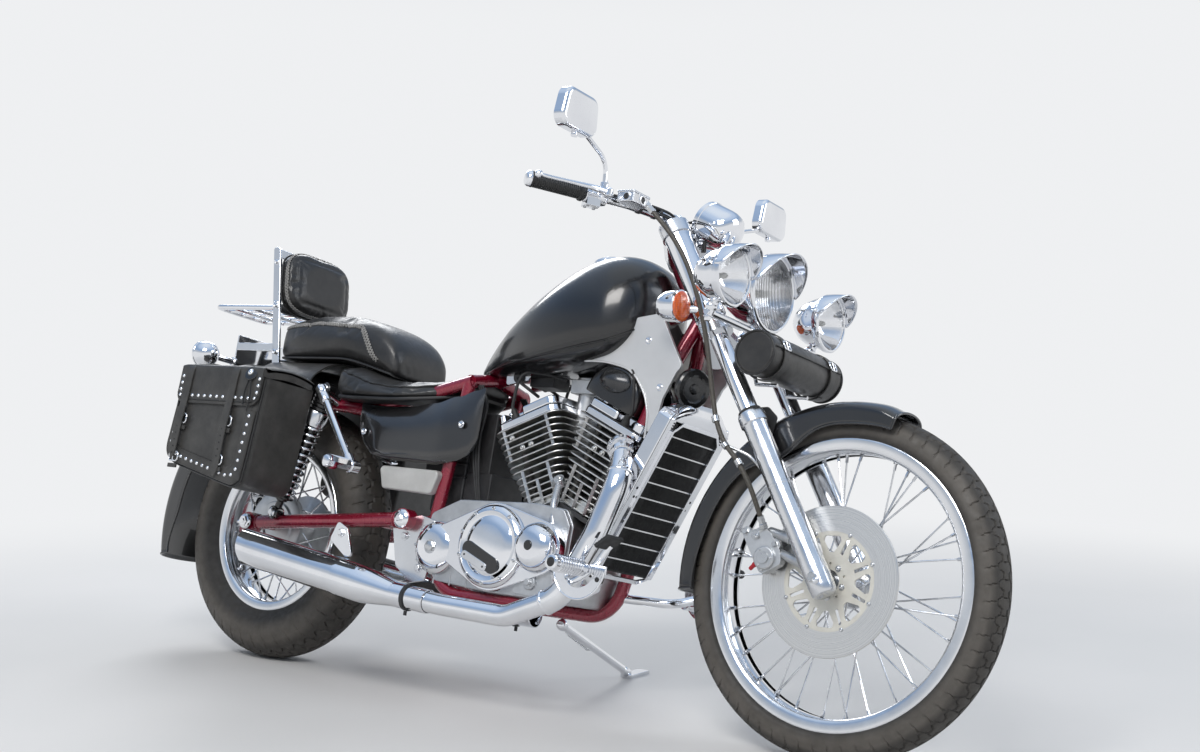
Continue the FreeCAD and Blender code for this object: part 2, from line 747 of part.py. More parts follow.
def front_signals():
    face = on_fork(*FRONT_SIGNAL)
    body = Part.makeSphere(SIGNAL_R, face - X_AXIS * 20.0)
    drum = Part.makeCylinder(SIGNAL_R, 20.0, face, X_AXIS * -1.0)
    leg_x = on_leg(0.0, 0.0).x - (face.z - FRONT_AXLE_Z) * math.tan(RAKE_RAD)
    inner = vec(leg_x, LEG_Y + COVER_R - 2.0, face.z)
    stalk = cylinder(inner, vec(face.x - 20.0, face.y, face.z), 8.0)
    signal = fuse([body, drum, stalk])
    return pair(signal)


def speedometer():
    """A round pod that leans back to the rider, on a post from the upper clamp."""
    face = on_fork(*SPEEDOMETER)
    tilt = math.radians(SPEEDOMETER_TILT)
    axis = vec(-math.cos(tilt), 0.0, math.sin(tilt))
    middle = face - X_AXIS * SPEEDOMETER_DEPTH / 2.0
    pod = Part.makeCylinder(SPEEDOMETER_R, SPEEDOMETER_DEPTH, middle - axis * SPEEDOMETER_DEPTH / 2.0, axis)
    foot = on_steer(UPPER_CLAMP + CLAMP_THICK / 2.0) + STEER_AHEAD * (FORK_OFFSET - 14.0)
    mount = cylinder(foot, vec(foot.x + 30.0, 0.0, face.z), 12.0)
    return [fuse([pod, mount])]


def tool_roll():
    """A leather roll with a raised band near each end."""
    centre = on_fork(TOOL_ROLL[0], 0.0, TOOL_ROLL[1])
    pieces = [cylinder(centre - Y_AXIS * TOOL_ROLL_HALF, centre + Y_AXIS * TOOL_ROLL_HALF, TOOL_ROLL_R)]
    for side in (-1.0, 1.0):
        at = centre + Y_AXIS * side * ROLL_BAND_Y
        half = Y_AXIS * ROLL_BAND_HALF
        pieces.append(cylinder(at - half, at + half, TOOL_ROLL_R + ROLL_BAND_THICK))
    return [fuse(pieces)]


def bar_points():
    """The handlebar's centre line from the right end to the left end."""
    plan = (BAR_END, BAR_ELBOW, BAR_SHOULDER)
    right = [on_fork(x, -y, BAR_Z) for x, y in plan]
    left = [on_fork(x, y, BAR_Z) for x, y in reversed(plan)]
    return right + [on_fork(BAR_CENTRE_X, 0.0, BAR_Z)] + left


def handlebar():
    pieces = [pipe(bar_points(), BAR_R, 90.0)]
    top = UPPER_CLAMP + CLAMP_THICK / 2.0
    for side in (-1.0, 1.0):
        foot = on_steer(top) + STEER_AHEAD * RISER_AHEAD + Y_AXIS * side * RISER_Y
        head = on_fork(BAR_CENTRE_X + 5.0, side * RISER_Y, BAR_Z)
        pieces.append(cylinder(foot, head, RISER_R))
        pieces.append(cylinder(head - Y_AXIS * 16.0, head + Y_AXIS * 16.0, BAR_R + 9.0))
    return [fuse(pieces)]


def grip_direction():
    end = on_fork(BAR_END[0], BAR_END[1], BAR_Z)
    elbow = on_fork(BAR_ELBOW[0], BAR_ELBOW[1], BAR_Z)
    return end, (elbow - end).normalize()


def grips():
    end, inward = grip_direction()
    outer = cylinder(end - inward * 6.0, end + inward * GRIP_LENGTH, GRIP_R)
    grip = outer.cut(cylinder(end, end + inward * (GRIP_LENGTH + 10.0), BAR_R))
    return pair(grip)


def hand_controls():
    """Switch drums, levers and, on the right, the brake reservoir."""
    end, inward = grip_direction()
    start = end + inward * (GRIP_LENGTH + 1.0)
    drum = cylinder(start, start + inward * SWITCH_LENGTH, SWITCH_R)
    ahead = vec(-inward.y, inward.x, 0.0)
    if ahead.x < 0.0:
        ahead = ahead * -1.0
    pivot = start + inward * (SWITCH_LENGTH - 8.0) + ahead * 34.0
    arm = cylinder(start + inward * (SWITCH_LENGTH - 8.0), pivot, 11.0)
    lever = cylinder(pivot, end + inward * 4.0 + ahead * LEVER_AHEAD, 6.0)
    knob = Part.makeSphere(8.5, end + inward * 4.0 + ahead * LEVER_AHEAD)
    bar = cylinder(end, end + inward * (GRIP_LENGTH + SWITCH_LENGTH + 20.0), BAR_R)
    left = fuse([drum, arm, lever, knob]).cut(bar)
    right = mirrored(left)
    half = vec(*RESERVOIR_HALF)
    middle = on_fork(RESERVOIR[0], -RESERVOIR[1], RESERVOIR[2] + half.z)
    tank = box(middle - half, middle + half)
    return [left, fuse([right, tank])]


def mirrors():
    centre = on_fork(*MIRROR)
    top_half = MIRROR_HALF_W - MIRROR_TOP_IN
    outline = (
        (-MIRROR_HALF_W, -MIRROR_HALF_H),
        (MIRROR_HALF_W, -MIRROR_HALF_H),
        (top_half, MIRROR_HALF_H),
        (-top_half, MIRROR_HALF_H),
    )
    corners = [centre + vec(-MIRROR_DEPTH / 2.0, y, z) for y, z in outline]
    shell = Part.Face(Part.makePolygon(corners + corners[:1])).extrude(X_AXIS * MIRROR_DEPTH)
    shell = shell.makeFillet(MIRROR_CORNER, edges_along(shell, X_AXIS))
    rim = [edge for edge in shell.Edges if edge.BoundBox.XMin > centre.x]
    shell = shell.makeFillet(MIRROR_ROUND, rim)
    end, inward = grip_direction()
    foot = end + inward * (GRIP_LENGTH + SWITCH_LENGTH - 7.0) + Z_AXIS * (SWITCH_R - 3.0)
    stem = pipe([foot, foot + vec(0.0, 6.0, 60.0), centre - Z_AXIS * MIRROR_HALF_H * 0.5], 5.0, 60.0)
    boss = cylinder(foot - Z_AXIS * 4.0, foot + Z_AXIS * 12.0, 9.0)
    drum = cylinder(end, end + inward * (GRIP_LENGTH + SWITCH_LENGTH + 40.0), SWITCH_R)
    return pair(fuse([shell, stem, boss]).cut(drum))


def front_fender():
    outer = FRONT_TYRE_R + FENDER_GAP
    inner = outer - FENDER_THICK
    profile = (
        (outer - 40.0, FENDER_HALF),
        (outer - 10.0, FENDER_HALF - 6.0),
        (outer, FENDER_HALF - 26.0),
        (outer, -FENDER_HALF + 26.0),
        (outer - 10.0, -FENDER_HALF + 6.0),
        (outer - 40.0, -FENDER_HALF),
        (outer - 40.0, -FENDER_HALF + FENDER_THICK),
        (inner - 9.0, -FENDER_HALF + 6.0 + FENDER_THICK),
        (inner, -FENDER_HALF + 28.0),
        (inner, FENDER_HALF - 28.0),
        (inner - 9.0, FENDER_HALF - 6.0 - FENDER_THICK),
        (outer - 40.0, FENDER_HALF - FENDER_THICK),
    )
    guard = band(profile, FRONT_AXLE, FENDER_FROM, FENDER_TO)
    stay = on_leg(FENDER_STAY, 0.0)
    reach = LEG_Y - SLIDER_R - SEAT_GAP
    lugs = []
    for side in (-1.0, 1.0):
        lug = box(stay + vec(-26.0, -4.0, -20.0), stay + vec(26.0, 4.0, 20.0))
        lug.translate(vec(0.0, side * (FENDER_HALF + 2.0), 0.0))
        boss = cylinder(stay + Y_AXIS * side * (FENDER_HALF + 2.0), stay + Y_AXIS * side * reach, 10.0)
        lugs += [lug, boss]
    return [fuse([guard] + lugs)]


def band(profile, centre, start_deg, end_deg):
    """Sweeps an outline of (radius, y) points round an axle line between two angles up from +X."""
    corners = [centre + vec(radius, y, 0.0) for radius, y in profile]
    face = Part.Face(Part.makePolygon(corners + corners[:1]))
    solid = face.revolve(centre, Y_AXIS, -(end_deg - start_deg))
    solid.rotate(centre, Y_AXIS, -start_deg)
    return solid


def rear_fender():
    outer = REAR_FENDER_R
    inner = outer - REAR_FENDER_THICK
    half = REAR_FENDER_HALF
    profile = (
        (outer - 78.0, half),
        (outer - 22.0, half - 6.0),
        (outer, half - 40.0),
        (outer, -half + 40.0),
        (outer - 22.0, -half + 6.0),
        (outer - 78.0, -half),
        (outer - 78.0, -half + REAR_FENDER_THICK),
        (inner - 20.0, -half + 6.0 + REAR_FENDER_THICK),
        (inner, -half + 42.0),
        (inner, half - 42.0),
        (inner - 20.0, half - 6.0 - REAR_FENDER_THICK),
        (outer - 78.0, half - REAR_FENDER_THICK),
    )
    return [band(profile, REAR_AXLE, REAR_FENDER_FROM, REAR_FENDER_TO)]


def brake_caliper():
    """A block that straddles the disc's edge, on an arm from the right slider."""
    centre = on_fork(*CALIPER)
    half = vec(30.0, 26.0, 44.0)
    body = box(centre - half, centre + half)
    body = body.makeFillet(CALIPER_CORNER, edges_along(body, Y_AXIS))
    body.rotate(centre, Y_AXIS, -RAKE)
    cap_at = centre + STEER_AHEAD * CALIPER_CAP[0] + STEER_UP * CALIPER_CAP[1]
    cap = cylinder(cap_at, cap_at - Y_AXIS * (half.y + CALIPER_CAP_OUT), CALIPER_CAP_R)
    arm = cylinder(vec(centre.x, -LEG_Y + 8.0, centre.z), on_leg(CALIPER_UP, -LEG_Y), 12.0)
    room = DISC_THICK / 2.0 + CALIPER_GAP
    slot = Part.makeCylinder(DISC_R + CALIPER_GAP, 2.0 * room, FRONT_AXLE + Y_AXIS * (DISC_Y - room), Y_AXIS)
    leg = cylinder(on_leg(-40.0, -LEG_Y), on_leg(SLIDER_TOP, -LEG_Y), SLIDER_R)
    return [fuse([body, cap, arm]).cut([slot, leg])]


def brake_hose():
    return [pipe([on_fork(*point) for point in HOSE_POINTS], HOSE_R, HOSE_BEND)]


def fuel_tank():
    return [loft(TANK_SECTIONS)]


def frame():
    """Red tubes: backbone, steering head, front and rear down-tubes and lower rails."""
    head_low = on_steer(LOWER_CLAMP + CLAMP_THICK / 2.0 + SEAT_GAP)
    head_high = on_steer(UPPER_CLAMP - CLAMP_THICK / 2.0 - SEAT_GAP)
    pieces = [cylinder(head_low, head_high, HEAD_TUBE_R)]
    neck = on_steer(0.5 * (LOWER_CLAMP + UPPER_CLAMP))
    spine_end = vec(BACKBONE_REAR[0], 0.0, BACKBONE_REAR[1])
    pieces.append(cylinder(neck, spine_end, 19.0))
    for side in (-1.0, 1.0):
        y = side * RAIL_Y
        low_front = vec(RAIL_FRONT_X, y, RAIL_Z)
        low_rear = vec(RAIL_REAR_X, y, RAIL_Z)
        pieces.append(pipe([on_steer(LOWER_CLAMP + DOWNTUBE_RISE) + vec(-10.0, side * 8.0, 0.0),
                            vec(DOWNTUBE_TOP[0], y * 0.62, DOWNTUBE_TOP[1]), low_front, low_rear,
                            vec(SWINGARM_PIVOT[0] + 60.0, y, SWINGARM_PIVOT[1]),
                            vec(BACKBONE_REAR[0], y, BACKBONE_REAR[1] - 20.0)], TUBE_R, 90.0))
        seat_rail = [vec(BACKBONE_REAR[0] + 10.0, y, BACKBONE_REAR[1] - 20.0),
                     vec(SHOCK_TOP[0] + 120.0, y, SEAT_RAIL_Z),
                     vec(SHOCK_TOP[0] - 40.0, y, SEAT_RAIL_Z + 10.0)]
        pieces.append(pipe(seat_rail, TUBE_R, 120.0))
        cross = vec(BACKBONE_REAR[0], y, BACKBONE_REAR[1] - 20.0)
        pieces.append(cylinder(cross, spine_end, TUBE_R))
        pivot = vec(SWINGARM_PIVOT[0] + 60.0, y, SWINGARM_PIVOT[1])
        pieces.append(cylinder(pivot, vec(SWINGARM_PIVOT[0], y, SWINGARM_PIVOT[1]), TUBE_R))
    for x, z in ((RAIL_REAR_X + 30.0, RAIL_Z), (SHOCK_TOP[0], SEAT_RAIL_Z + 8.0)):
        pieces.append(cylinder(vec(x, -RAIL_Y, z), vec(x, RAIL_Y, z), 12.0))
    body = fuse(pieces)
    stem = cylinder(on_steer(LOWER_CLAMP), on_steer(UPPER_CLAMP), STEM_R + STEM_CLEARANCE)
    pivot = vec(SWINGARM_PIVOT[0], 0.0, SWINGARM_PIVOT[1])
    pin = cylinder(pivot - Y_AXIS * 200.0, pivot + Y_AXIS * 200.0, SWINGARM_PIN_R)
    return [body.cut([stem, pin])]


def neck_cover():
    """Two side panels under the tank's front, one each side of the steering head."""
    return pair(plate(NECK_COVER, NECK_COVER_HALF - NECK_COVER_THICK, NECK_COVER_HALF))


def swingarm():
    rear = vec(REAR_AXLE.x, 0.0, REAR_AXLE.z)
    front = vec(SWINGARM_PIVOT[0], 0.0, SWINGARM_PIVOT[1])
    pieces = []
    for side in (-1.0, 1.0):
        y = Y_AXIS * side * SWINGARM_Y
        pieces.append(cylinder(rear + y, front + y, SWINGARM_R))
        pieces.append(cylinder(rear + y - Y_AXIS * 16.0, rear + y + Y_AXIS * 16.0, 24.0))
        pieces.append(cylinder(front + y - Y_AXIS * 14.0, front + y + Y_AXIS * 14.0, 24.0))
        lug = vec(SHOCK_BOTTOM[0], side * SWINGARM_Y, SHOCK_BOTTOM[1])
        pieces.append(cylinder(lug, lug + Y_AXIS * side * (SHOCK_Y - SWINGARM_Y - SHOCK_EYE_HALF - SEAT_GAP),
                               SHOCK_LUG_R))
    cross = front - X_AXIS * SWINGARM_CROSS
    drop = (front.z - rear.z) / front.x * SWINGARM_CROSS
    cross = cross - Z_AXIS * drop
    pieces.append(cylinder(cross - Y_AXIS * SWINGARM_Y, cross + Y_AXIS * SWINGARM_Y, 15.0))
    pieces.append(cylinder(front - Y_AXIS * (SWINGARM_Y + 10.0), front + Y_AXIS * (SWINGARM_Y + 10.0),
                           SWINGARM_PIN_R))
    pieces.append(cylinder(rear - Y_AXIS * (SWINGARM_Y + 22.0), rear + Y_AXIS * (SWINGARM_Y + 22.0), AXLE_R))
    drive = cylinder(rear + Y_AXIS * (REAR_DRUM_HALF + 6.0), rear + Y_AXIS * (SWINGARM_Y + 14.0), FINAL_DRIVE_R)
    pieces.append(drive)
    return [fuse(pieces)]


def shocks():
    y = SHOCK_Y
    top = vec(SHOCK_TOP[0], y, SHOCK_TOP[1])
    low = vec(SHOCK_BOTTOM[0], y, SHOCK_BOTTOM[1])
    along = (top - low).normalize()
    rod = cylinder(low, top, SHOCK_ROD_R)
    start = low + along * SHOCK_COVER_LOW
    end = top - along * SHOCK_COVER_HIGH
    pieces = [rod, cylinder(start, end, SHOCK_CORE_R)]
    for i in range(int((end - start).Length / COIL_PITCH)):
        at = start + along * COIL_PITCH * i
        pieces.append(cylinder(at, at + along * COIL_THICK, SHOCK_R))
    half = Y_AXIS * SHOCK_EYE_HALF
    eyes = [cylinder(at - half, at + half, SHOCK_EYE_R) for at in (low, top)]
    return pair(fuse(pieces + eyes))


def crank_point(distance, bank, y):
    """A point up a cylinder's line from the crank; bank is +1 for the front cylinder."""
    angle = math.radians(BANK_ANGLE) * bank
    return vec(CRANK[0] + distance * math.sin(angle), y, CRANK[1] + distance * math.cos(angle))


def finned_cylinder(bank):
    """A barrel with square cooling fins that grow towards the head."""
    up = crank_point(1.0, bank, 0.0) - crank_point(0.0, bank, 0.0)
    across = vec(up.z, 0.0, -up.x)
    top = CYLINDER_START + CYLINDER_FIN_COUNT * CYLINDER_FIN_PITCH
    pieces = [cylinder(crank_point(CYLINDER_START - 20.0, bank, 0.0), crank_point(top, bank, 0.0), CYLINDER_CORE_R)]
    for i in range(CYLINDER_FIN_COUNT):
        share = i / (CYLINDER_FIN_COUNT - 1.0)
        half_x = FIN_BASE[0] + (FIN_TOP[0] - FIN_BASE[0]) * share
        half_y = FIN_BASE[1] + (FIN_TOP[1] - FIN_BASE[1]) * share
        at = crank_point(CYLINDER_START + i * CYLINDER_FIN_PITCH, bank, 0.0)
        corners = [at + across * sx * half_x + Y_AXIS * sy * half_y
                   for sx, sy in ((-1.0, -1.0), (1.0, -1.0), (1.0, 1.0), (-1.0, 1.0))]
        fin = Part.Face(Part.makePolygon(corners + corners[:1])).extrude(up * CYLINDER_FIN_THICK)
        pieces.append(fin)
    reach = 400.0
    middle = vec(CRANK[0] - bank * (reach - V_GAP / 2.0), 0.0, CRANK[1] + reach)
    half = vec(reach, reach, reach)
    return [fuse(pieces).cut(box(middle - half, middle + half))]


def round_cover(x, z, radius, thick, side):
    """A round cover with a rounded rim, standing out from the crankcase's side."""
    start = vec(x, side * CASE_HALF_W, z)
    drum = cylinder(start, start + Y_AXIS * side * thick, radius)
    rim = [edge for edge in drum.Edges if abs(edge.CenterOfMass.y - start.y) > thick - 1.0]
    return drum.makeFillet(thick / 2.0, rim)


def cover_base(side):
    """The flat casting that joins the round covers."""
    inner = side * CASE_HALF_W
    outer = side * (CASE_HALF_W + COVER_BASE_THICK)
    pieces = [cylinder(vec(x, inner, z), vec(x, outer, z), radius) for x, z, radius in COVER_BASE]
    for first, second in zip(COVER_BASE, COVER_BASE[1:]):
        outline = (
            (first[0], first[1] - first[2]),
            (second[0], second[1] - second[2]),
            (second[0], second[1] + second[2]),
            (first[0], first[1] + first[2]),
        )
        pieces.append(plate(outline, inner, outer))
    return pieces


def head_cover(bank):
    """A rounded cap over a cylinder, with a pocket for the plug on each side."""
    top = CYLINDER_START + (CYLINDER_FIN_COUNT - 1.0) * CYLINDER_FIN_PITCH + CYLINDER_FIN_THICK
    up = crank_point(1.0, bank, 0.0) - crank_point(0.0, bank, 0.0)
    across = vec(up.z, 0.0, -up.x)
    at = crank_point(top, bank, 0.0)
    corners = [at + across * sx * HEAD_COVER_HALF[0] + Y_AXIS * sy * HEAD_COVER_HALF[1]
               for sx, sy in ((-1.0, -1.0), (1.0, -1.0), (1.0, 1.0), (-1.0, 1.0))]
    block = Part.Face(Part.makePolygon(corners + corners[:1])).extrude(up * HEAD_COVER_THICK)
    block = block.makeFillet(HEAD_COVER_CORNER, edges_along(block, up))
    rim = [edge for edge in block.Edges if (edge.CenterOfMass - at).dot(up) > HEAD_COVER_THICK - 0.1]
    block = block.makeFillet(HEAD_COVER_ROUND, rim)
    cuts = [cylinder(at - up * CYLINDER_FIN_PITCH, at + up * CYLINDER_FIN_PITCH, CYLINDER_CORE_R)]
    middle = at + across * bank * PLUG_POCKET_X + up * PLUG_POCKET_FLOOR
    for side in (-1.0, 1.0):
        near = Y_AXIS * side * (HEAD_COVER_HALF[1] - PLUG_POCKET_DEEP)
        far = Y_AXIS * side * HEAD_COVER_HALF[1] * 1.1
        half = across * PLUG_POCKET_HALF
        ring = [middle + near - half, middle + near + half, middle + far + half, middle + far - half]
        cuts.append(Part.Face(Part.makePolygon(ring + ring[:1])).extrude(up * HEAD_COVER_THICK))
    return block.cut(cuts)


def engine_covers():
    """Chrome covers on both sides of the crankcase and a cover on each head."""
    covers = []
    for side in (-1.0, 1.0):
        rounds = [round_cover(x, z, radius, thick, side) for x, z, radius, thick in CASE_COVERS]
        covers += fuse(cover_base(side) + rounds).Solids
    return covers + [head_cover(bank) for bank in (-1.0, 1.0)]


def crankcase():
    case = plate(CRANKCASE, -CASE_HALF_W, CASE_HALF_W)
    case = case.makeFillet(CASE_CORNER, edges_along(case, Y_AXIS))
    sides = [edge for edge in case.Edges if edge.BoundBox.YLength < 0.01]
    return [case.makeChamfer(CASE_CHAMFER, sides)]


def muffler(side):
    rear = vec(MUFFLER_REAR[0], side * MUFFLER_Y, MUFFLER_REAR[1])
    neck = vec(MUFFLER_CONE_END[0], side * MUFFLER_Y, MUFFLER_CONE_END[1])
    front = neck + (rear - neck).normalize() * MUFFLER_CONE
    return [cylinder(rear, front, MUFFLER_R), cone(front, neck, MUFFLER_R, PIPE_R + 3.0)]


def exhaust():
    """Two header pipes, each into its own muffler with a slash-cut end."""
    systems = []
    for side, points in ((-1.0, FRONT_HEADER), (1.0, REAR_HEADER)):
        neck = vec(MUFFLER_CONE_END[0], side * MUFFLER_Y, MUFFLER_CONE_END[1])
        stops = [neck] + [vec(*point) for point in points]
        header = pipe(stops, PIPE_R, EXHAUST_BEND)
        into = (stops[1] - neck).normalize()
        clamp = cylinder(neck, neck + into * EXHAUST_CLAMP_LONG, EXHAUST_CLAMP_R)
        last = (stops[-1] - stops[-2]).normalize()
        flange = cylinder(stops[-1] - last * HEAD_FLANGE_THICK, stops[-1], HEAD_FLANGE_R)
        systems.append(fuse(muffler(side) + [header, clamp, flange]))
    slash = box(vec(-200.0, -400.0, -40.0), vec(0.0, 400.0, 200.0))
    slash.rotate(vec(0.0, 0.0, 0.0), Y_AXIS, 35.0)
    slash.translate(vec(MUFFLER_REAR[0] + 4.0, 0.0, MUFFLER_REAR[1] + MUFFLER_R))
    return [system.cut(slash) for system in systems]


def radiator_line():
    top = vec(RADIATOR_TOP[0], 0.0, RADIATOR_TOP[1])
    low = vec(RADIATOR_BOTTOM[0], 0.0, RADIATOR_BOTTOM[1])
    up = (top - low).normalize()
    ahead = vec(up.z, 0.0, -up.x)
    return low, top, up, ahead


def slab(low, high, half_from, half_to, back, front, ahead):
    """A flat block along a slanted line, with its thickness towards the front."""
    ring = []
    for point, depth in ((low, back), (low, front), (high, front), (high, back)):
        ring.append(point + ahead * depth + Y_AXIS * half_from)
    face = Part.Face(Part.makePolygon(ring + ring[:1]))
    return face.extrude(Y_AXIS * (half_to - half_from))


def radiator():
    """A tall core with thin bars across its face."""
    low, top, up, ahead = radiator_line()
    pieces = [slab(low, top, -RADIATOR_HALF, RADIATOR_HALF, -RADIATOR_DEPTH, 0.0, ahead)]
    pitch = ((top - low).Length - 2.0 * RADIATOR_MARGIN) / (RADIATOR_BARS - 1.0)
    for i in range(RADIATOR_BARS):
        at = low + up * (RADIATOR_MARGIN + pitch * i)
        pieces.append(slab(at - up * RADIATOR_BAR_HALF, at + up * RADIATOR_BAR_HALF, -RADIATOR_HALF,
                           RADIATOR_HALF, -1.0, RADIATOR_BAR_OUT, ahead))
    return [fuse(pieces)]


def radiator_cover():
    """Chrome side strips and a rounded top."""
    low, top, up, ahead = radiator_line()
    strip = slab(low - up * 6.0, top, RADIATOR_HALF, RADIATOR_HALF + RADIATOR_SIDE_W, -RADIATOR_DEPTH,
                 8.0, ahead)
    cap = slab(top, top + up * RADIATOR_CAP, -RADIATOR_HALF - RADIATOR_SIDE_W,
               RADIATOR_HALF + RADIATOR_SIDE_W, -RADIATOR_DEPTH, 8.0, ahead)
    body = fuse([strip, mirrored(strip), cap])
    edges = []
    for edge in body.Edges:
        middle = edge.CenterOfMass
        square = abs(edge.tangentAt(edge.FirstParameter).dot(up)) < 0.01
        if square and (middle - top).dot(up) > RADIATOR_CAP - 1.0:
            if abs(edge.tangentAt(edge.FirstParameter).y) < 0.01:
                edges.append(edge)
    return [body.makeFillet(RADIATOR_CAP * 0.6, edges)]


def air_housing():
    """The round drum over the front head, with its oval cap, on the left."""
    x, z, radius = AIR_HOUSING
    drum = cylinder(vec(x, AIR_HOUSING_Y[0], z), vec(x, AIR_HOUSING_Y[1], z), radius)
    top = CYLINDER_START + (CYLINDER_FIN_COUNT - 1.0) * CYLINDER_FIN_PITCH + CYLINDER_FIN_THICK
    up = crank_point(1.0, 1.0, 0.0) - crank_point(0.0, 1.0, 0.0)
    across = vec(up.z, 0.0, -up.x) * radius * 2.0
    at = crank_point(top + HEAD_COVER_THICK + AIR_HOUSING_GAP, 1.0, 0.0)
    ring = [at - across, at + across, at + across - up * radius * 2.0, at - across - up * radius * 2.0]
    below = Part.Face(Part.makePolygon(ring + ring[:1])).extrude(Y_AXIS * AIR_HOUSING_Y[1])
    x, z, radius = INTAKE
    cap = cylinder(vec(x, INTAKE_Y[0], z), vec(x, INTAKE_Y[1], z), radius)
    return fuse([drum.cut(below), cap])


def side_covers():
    """Black side panels, small lower panels and the air housings, each side."""
    pieces = []
    for outline, inner, outer in (SIDE_PANEL, LOWER_PANEL):
        panel = plate(outline, inner, outer)
        pieces += pair(panel.makeFillet(PANEL_CORNER, edges_along(panel, Y_AXIS)))
    return pieces + pair(air_housing())


def rider_seat():
    return [loft(RIDER_SEAT_SECTIONS)]


def passenger_seat():
    return [loft(PASSENGER_SEAT_SECTIONS)]


def backrest_pad():
    centre = vec(*BACKREST)
    half = vec(BACKREST_THICK / 2.0, BACKREST_HALF_W, BACKREST_HALF_H)
    pad = box(centre - half, centre + half)
    edges = [edge for edge in pad.Edges if abs(edge.tangentAt(edge.FirstParameter).x) > 0.99]
    pad = pad.makeFillet(BACKREST_HALF_H * 0.45, edges)
    pad.rotate(centre, Y_AXIS, -BACKREST_TILT)
    return [pad]


def sissy_bar():
    """Flat chrome uprights with a top rail, and a small rack behind."""
    pieces = []
    foot = vec(SISSY_FOOT[0], 0.0, SISSY_FOOT[1])
    top = vec(SISSY_TOP[0], 0.0, SISSY_TOP[1])
    up = (top - foot).normalize()
    ahead = vec(up.z, 0.0, -up.x)
    half = SISSY_BAR_W / 2.0
    for side in (-1.0, 1.0):
        y = side * SISSY_Y
        pieces.append(slab(foot, top, y - SISSY_BAR_T / 2.0, y + SISSY_BAR_T / 2.0, -half, half, ahead))
    pieces.append(slab(top - up * SISSY_BAR_W, top, -SISSY_Y, SISSY_Y, -half, -half + SISSY_BAR_T, ahead))
    back = foot + up * (RACK_Z - SISSY_FOOT[1]) / up.z
    pieces.append(slab(back - up * 12.0, back + up * 12.0, -SISSY_Y, SISSY_Y, -half, -half + SISSY_BAR_T, ahead))
    for side in (-1.0, 1.0):
        y = side * RACK_HALF
        pieces.append(cylinder(vec(back.x, y, RACK_Z), vec(RACK_REAR_X, y, RACK_Z), RACK_R))
        at = foot + up * (TAIL_LAMP[2] - SISSY_FOOT[1]) / up.z
        arm = box(vec(TAIL_PLATE_X, side * SISSY_Y - 4.0, TAIL_LAMP[2] - 10.0), vec(at.x, side * SISSY_Y + 4.0,
                                                                                TAIL_LAMP[2] + 10.0))
        pieces.append(arm)
    pieces.append(box(vec(TAIL_PLATE_X - 4.0, -SISSY_Y - 4.0, REAR_SIGNAL[2] - 16.0),
                      vec(TAIL_PLATE_X, SISSY_Y + 4.0, TAIL_LAMP[2] + 30.0)))
    pieces.append(cylinder(vec(RACK_REAR_X, -RACK_HALF - RACK_R, RACK_Z),
                           vec(RACK_REAR_X, RACK_HALF + RACK_R, RACK_Z), RACK_R))
    return [fuse(pieces)]


def tail_lamp():
    centre = vec(TAIL_PLATE_X - 4.0 - TAIL_LAMP_DEPTH / 2.0, TAIL_LAMP[1], TAIL_LAMP[2])
    half = vec(TAIL_LAMP_DEPTH / 2.0, 52.0, 28.0)
    body = box(centre - half, centre + half)
    edges = [edge for edge in body.Edges if edge.CenterOfMass.x < centre.x - 1.0]
    return [body.makeFillet(14.0, edges)]


def rear_signals():
    centre = vec(*REAR_SIGNAL)
    ball = Part.makeSphere(SIGNAL_R, centre)
    stalk = cylinder(centre, vec(centre.x, SISSY_Y + 4.0, centre.z), 8.0)
    return pair(fuse([ball, stalk]))


def bag_solid(inset, top_cut):
    """A saddlebag's block on the left, shrunk by an inset on every side but the top."""
    outline = [
        (BAG_REAR_BOTTOM[0] + inset, BAG_REAR_BOTTOM[1] + inset),
        (BAG_FRONT_BOTTOM[0] - inset, BAG_FRONT_BOTTOM[1] + inset),
        (BAG_FRONT_TOP[0] - inset, BAG_FRONT_TOP[1] + top_cut),
        (BAG_REAR_TOP[0] + inset, BAG_REAR_TOP[1] + top_cut),
    ]
    return plate(outline, BAG_INNER_Y + inset, BAG_OUTER_Y - inset)


def saddlebag():
    block = bag_solid(0.0, 0.0)
    soft = [edge for edge in block.Edges
            if edge.CenterOfMass.z < BAG_REAR_TOP[1] - 1.0 and edge.CenterOfMass.y > BAG_INNER_Y + 1.0]
    return block.makeFillet(BAG_EDGE_R, soft).cut(bag_solid(BAG_WALL, 20.0))


def lid_hinge():
    """A point on the left lid's hinge line, at its upper inner edge."""
    shoulder = BAG_REAR_TOP[1] + LID_GAP + LID_HEIGHT * 0.7
    return vec(BAG_REAR_TOP[0], BAG_INNER_Y + LID_INSET, shoulder)


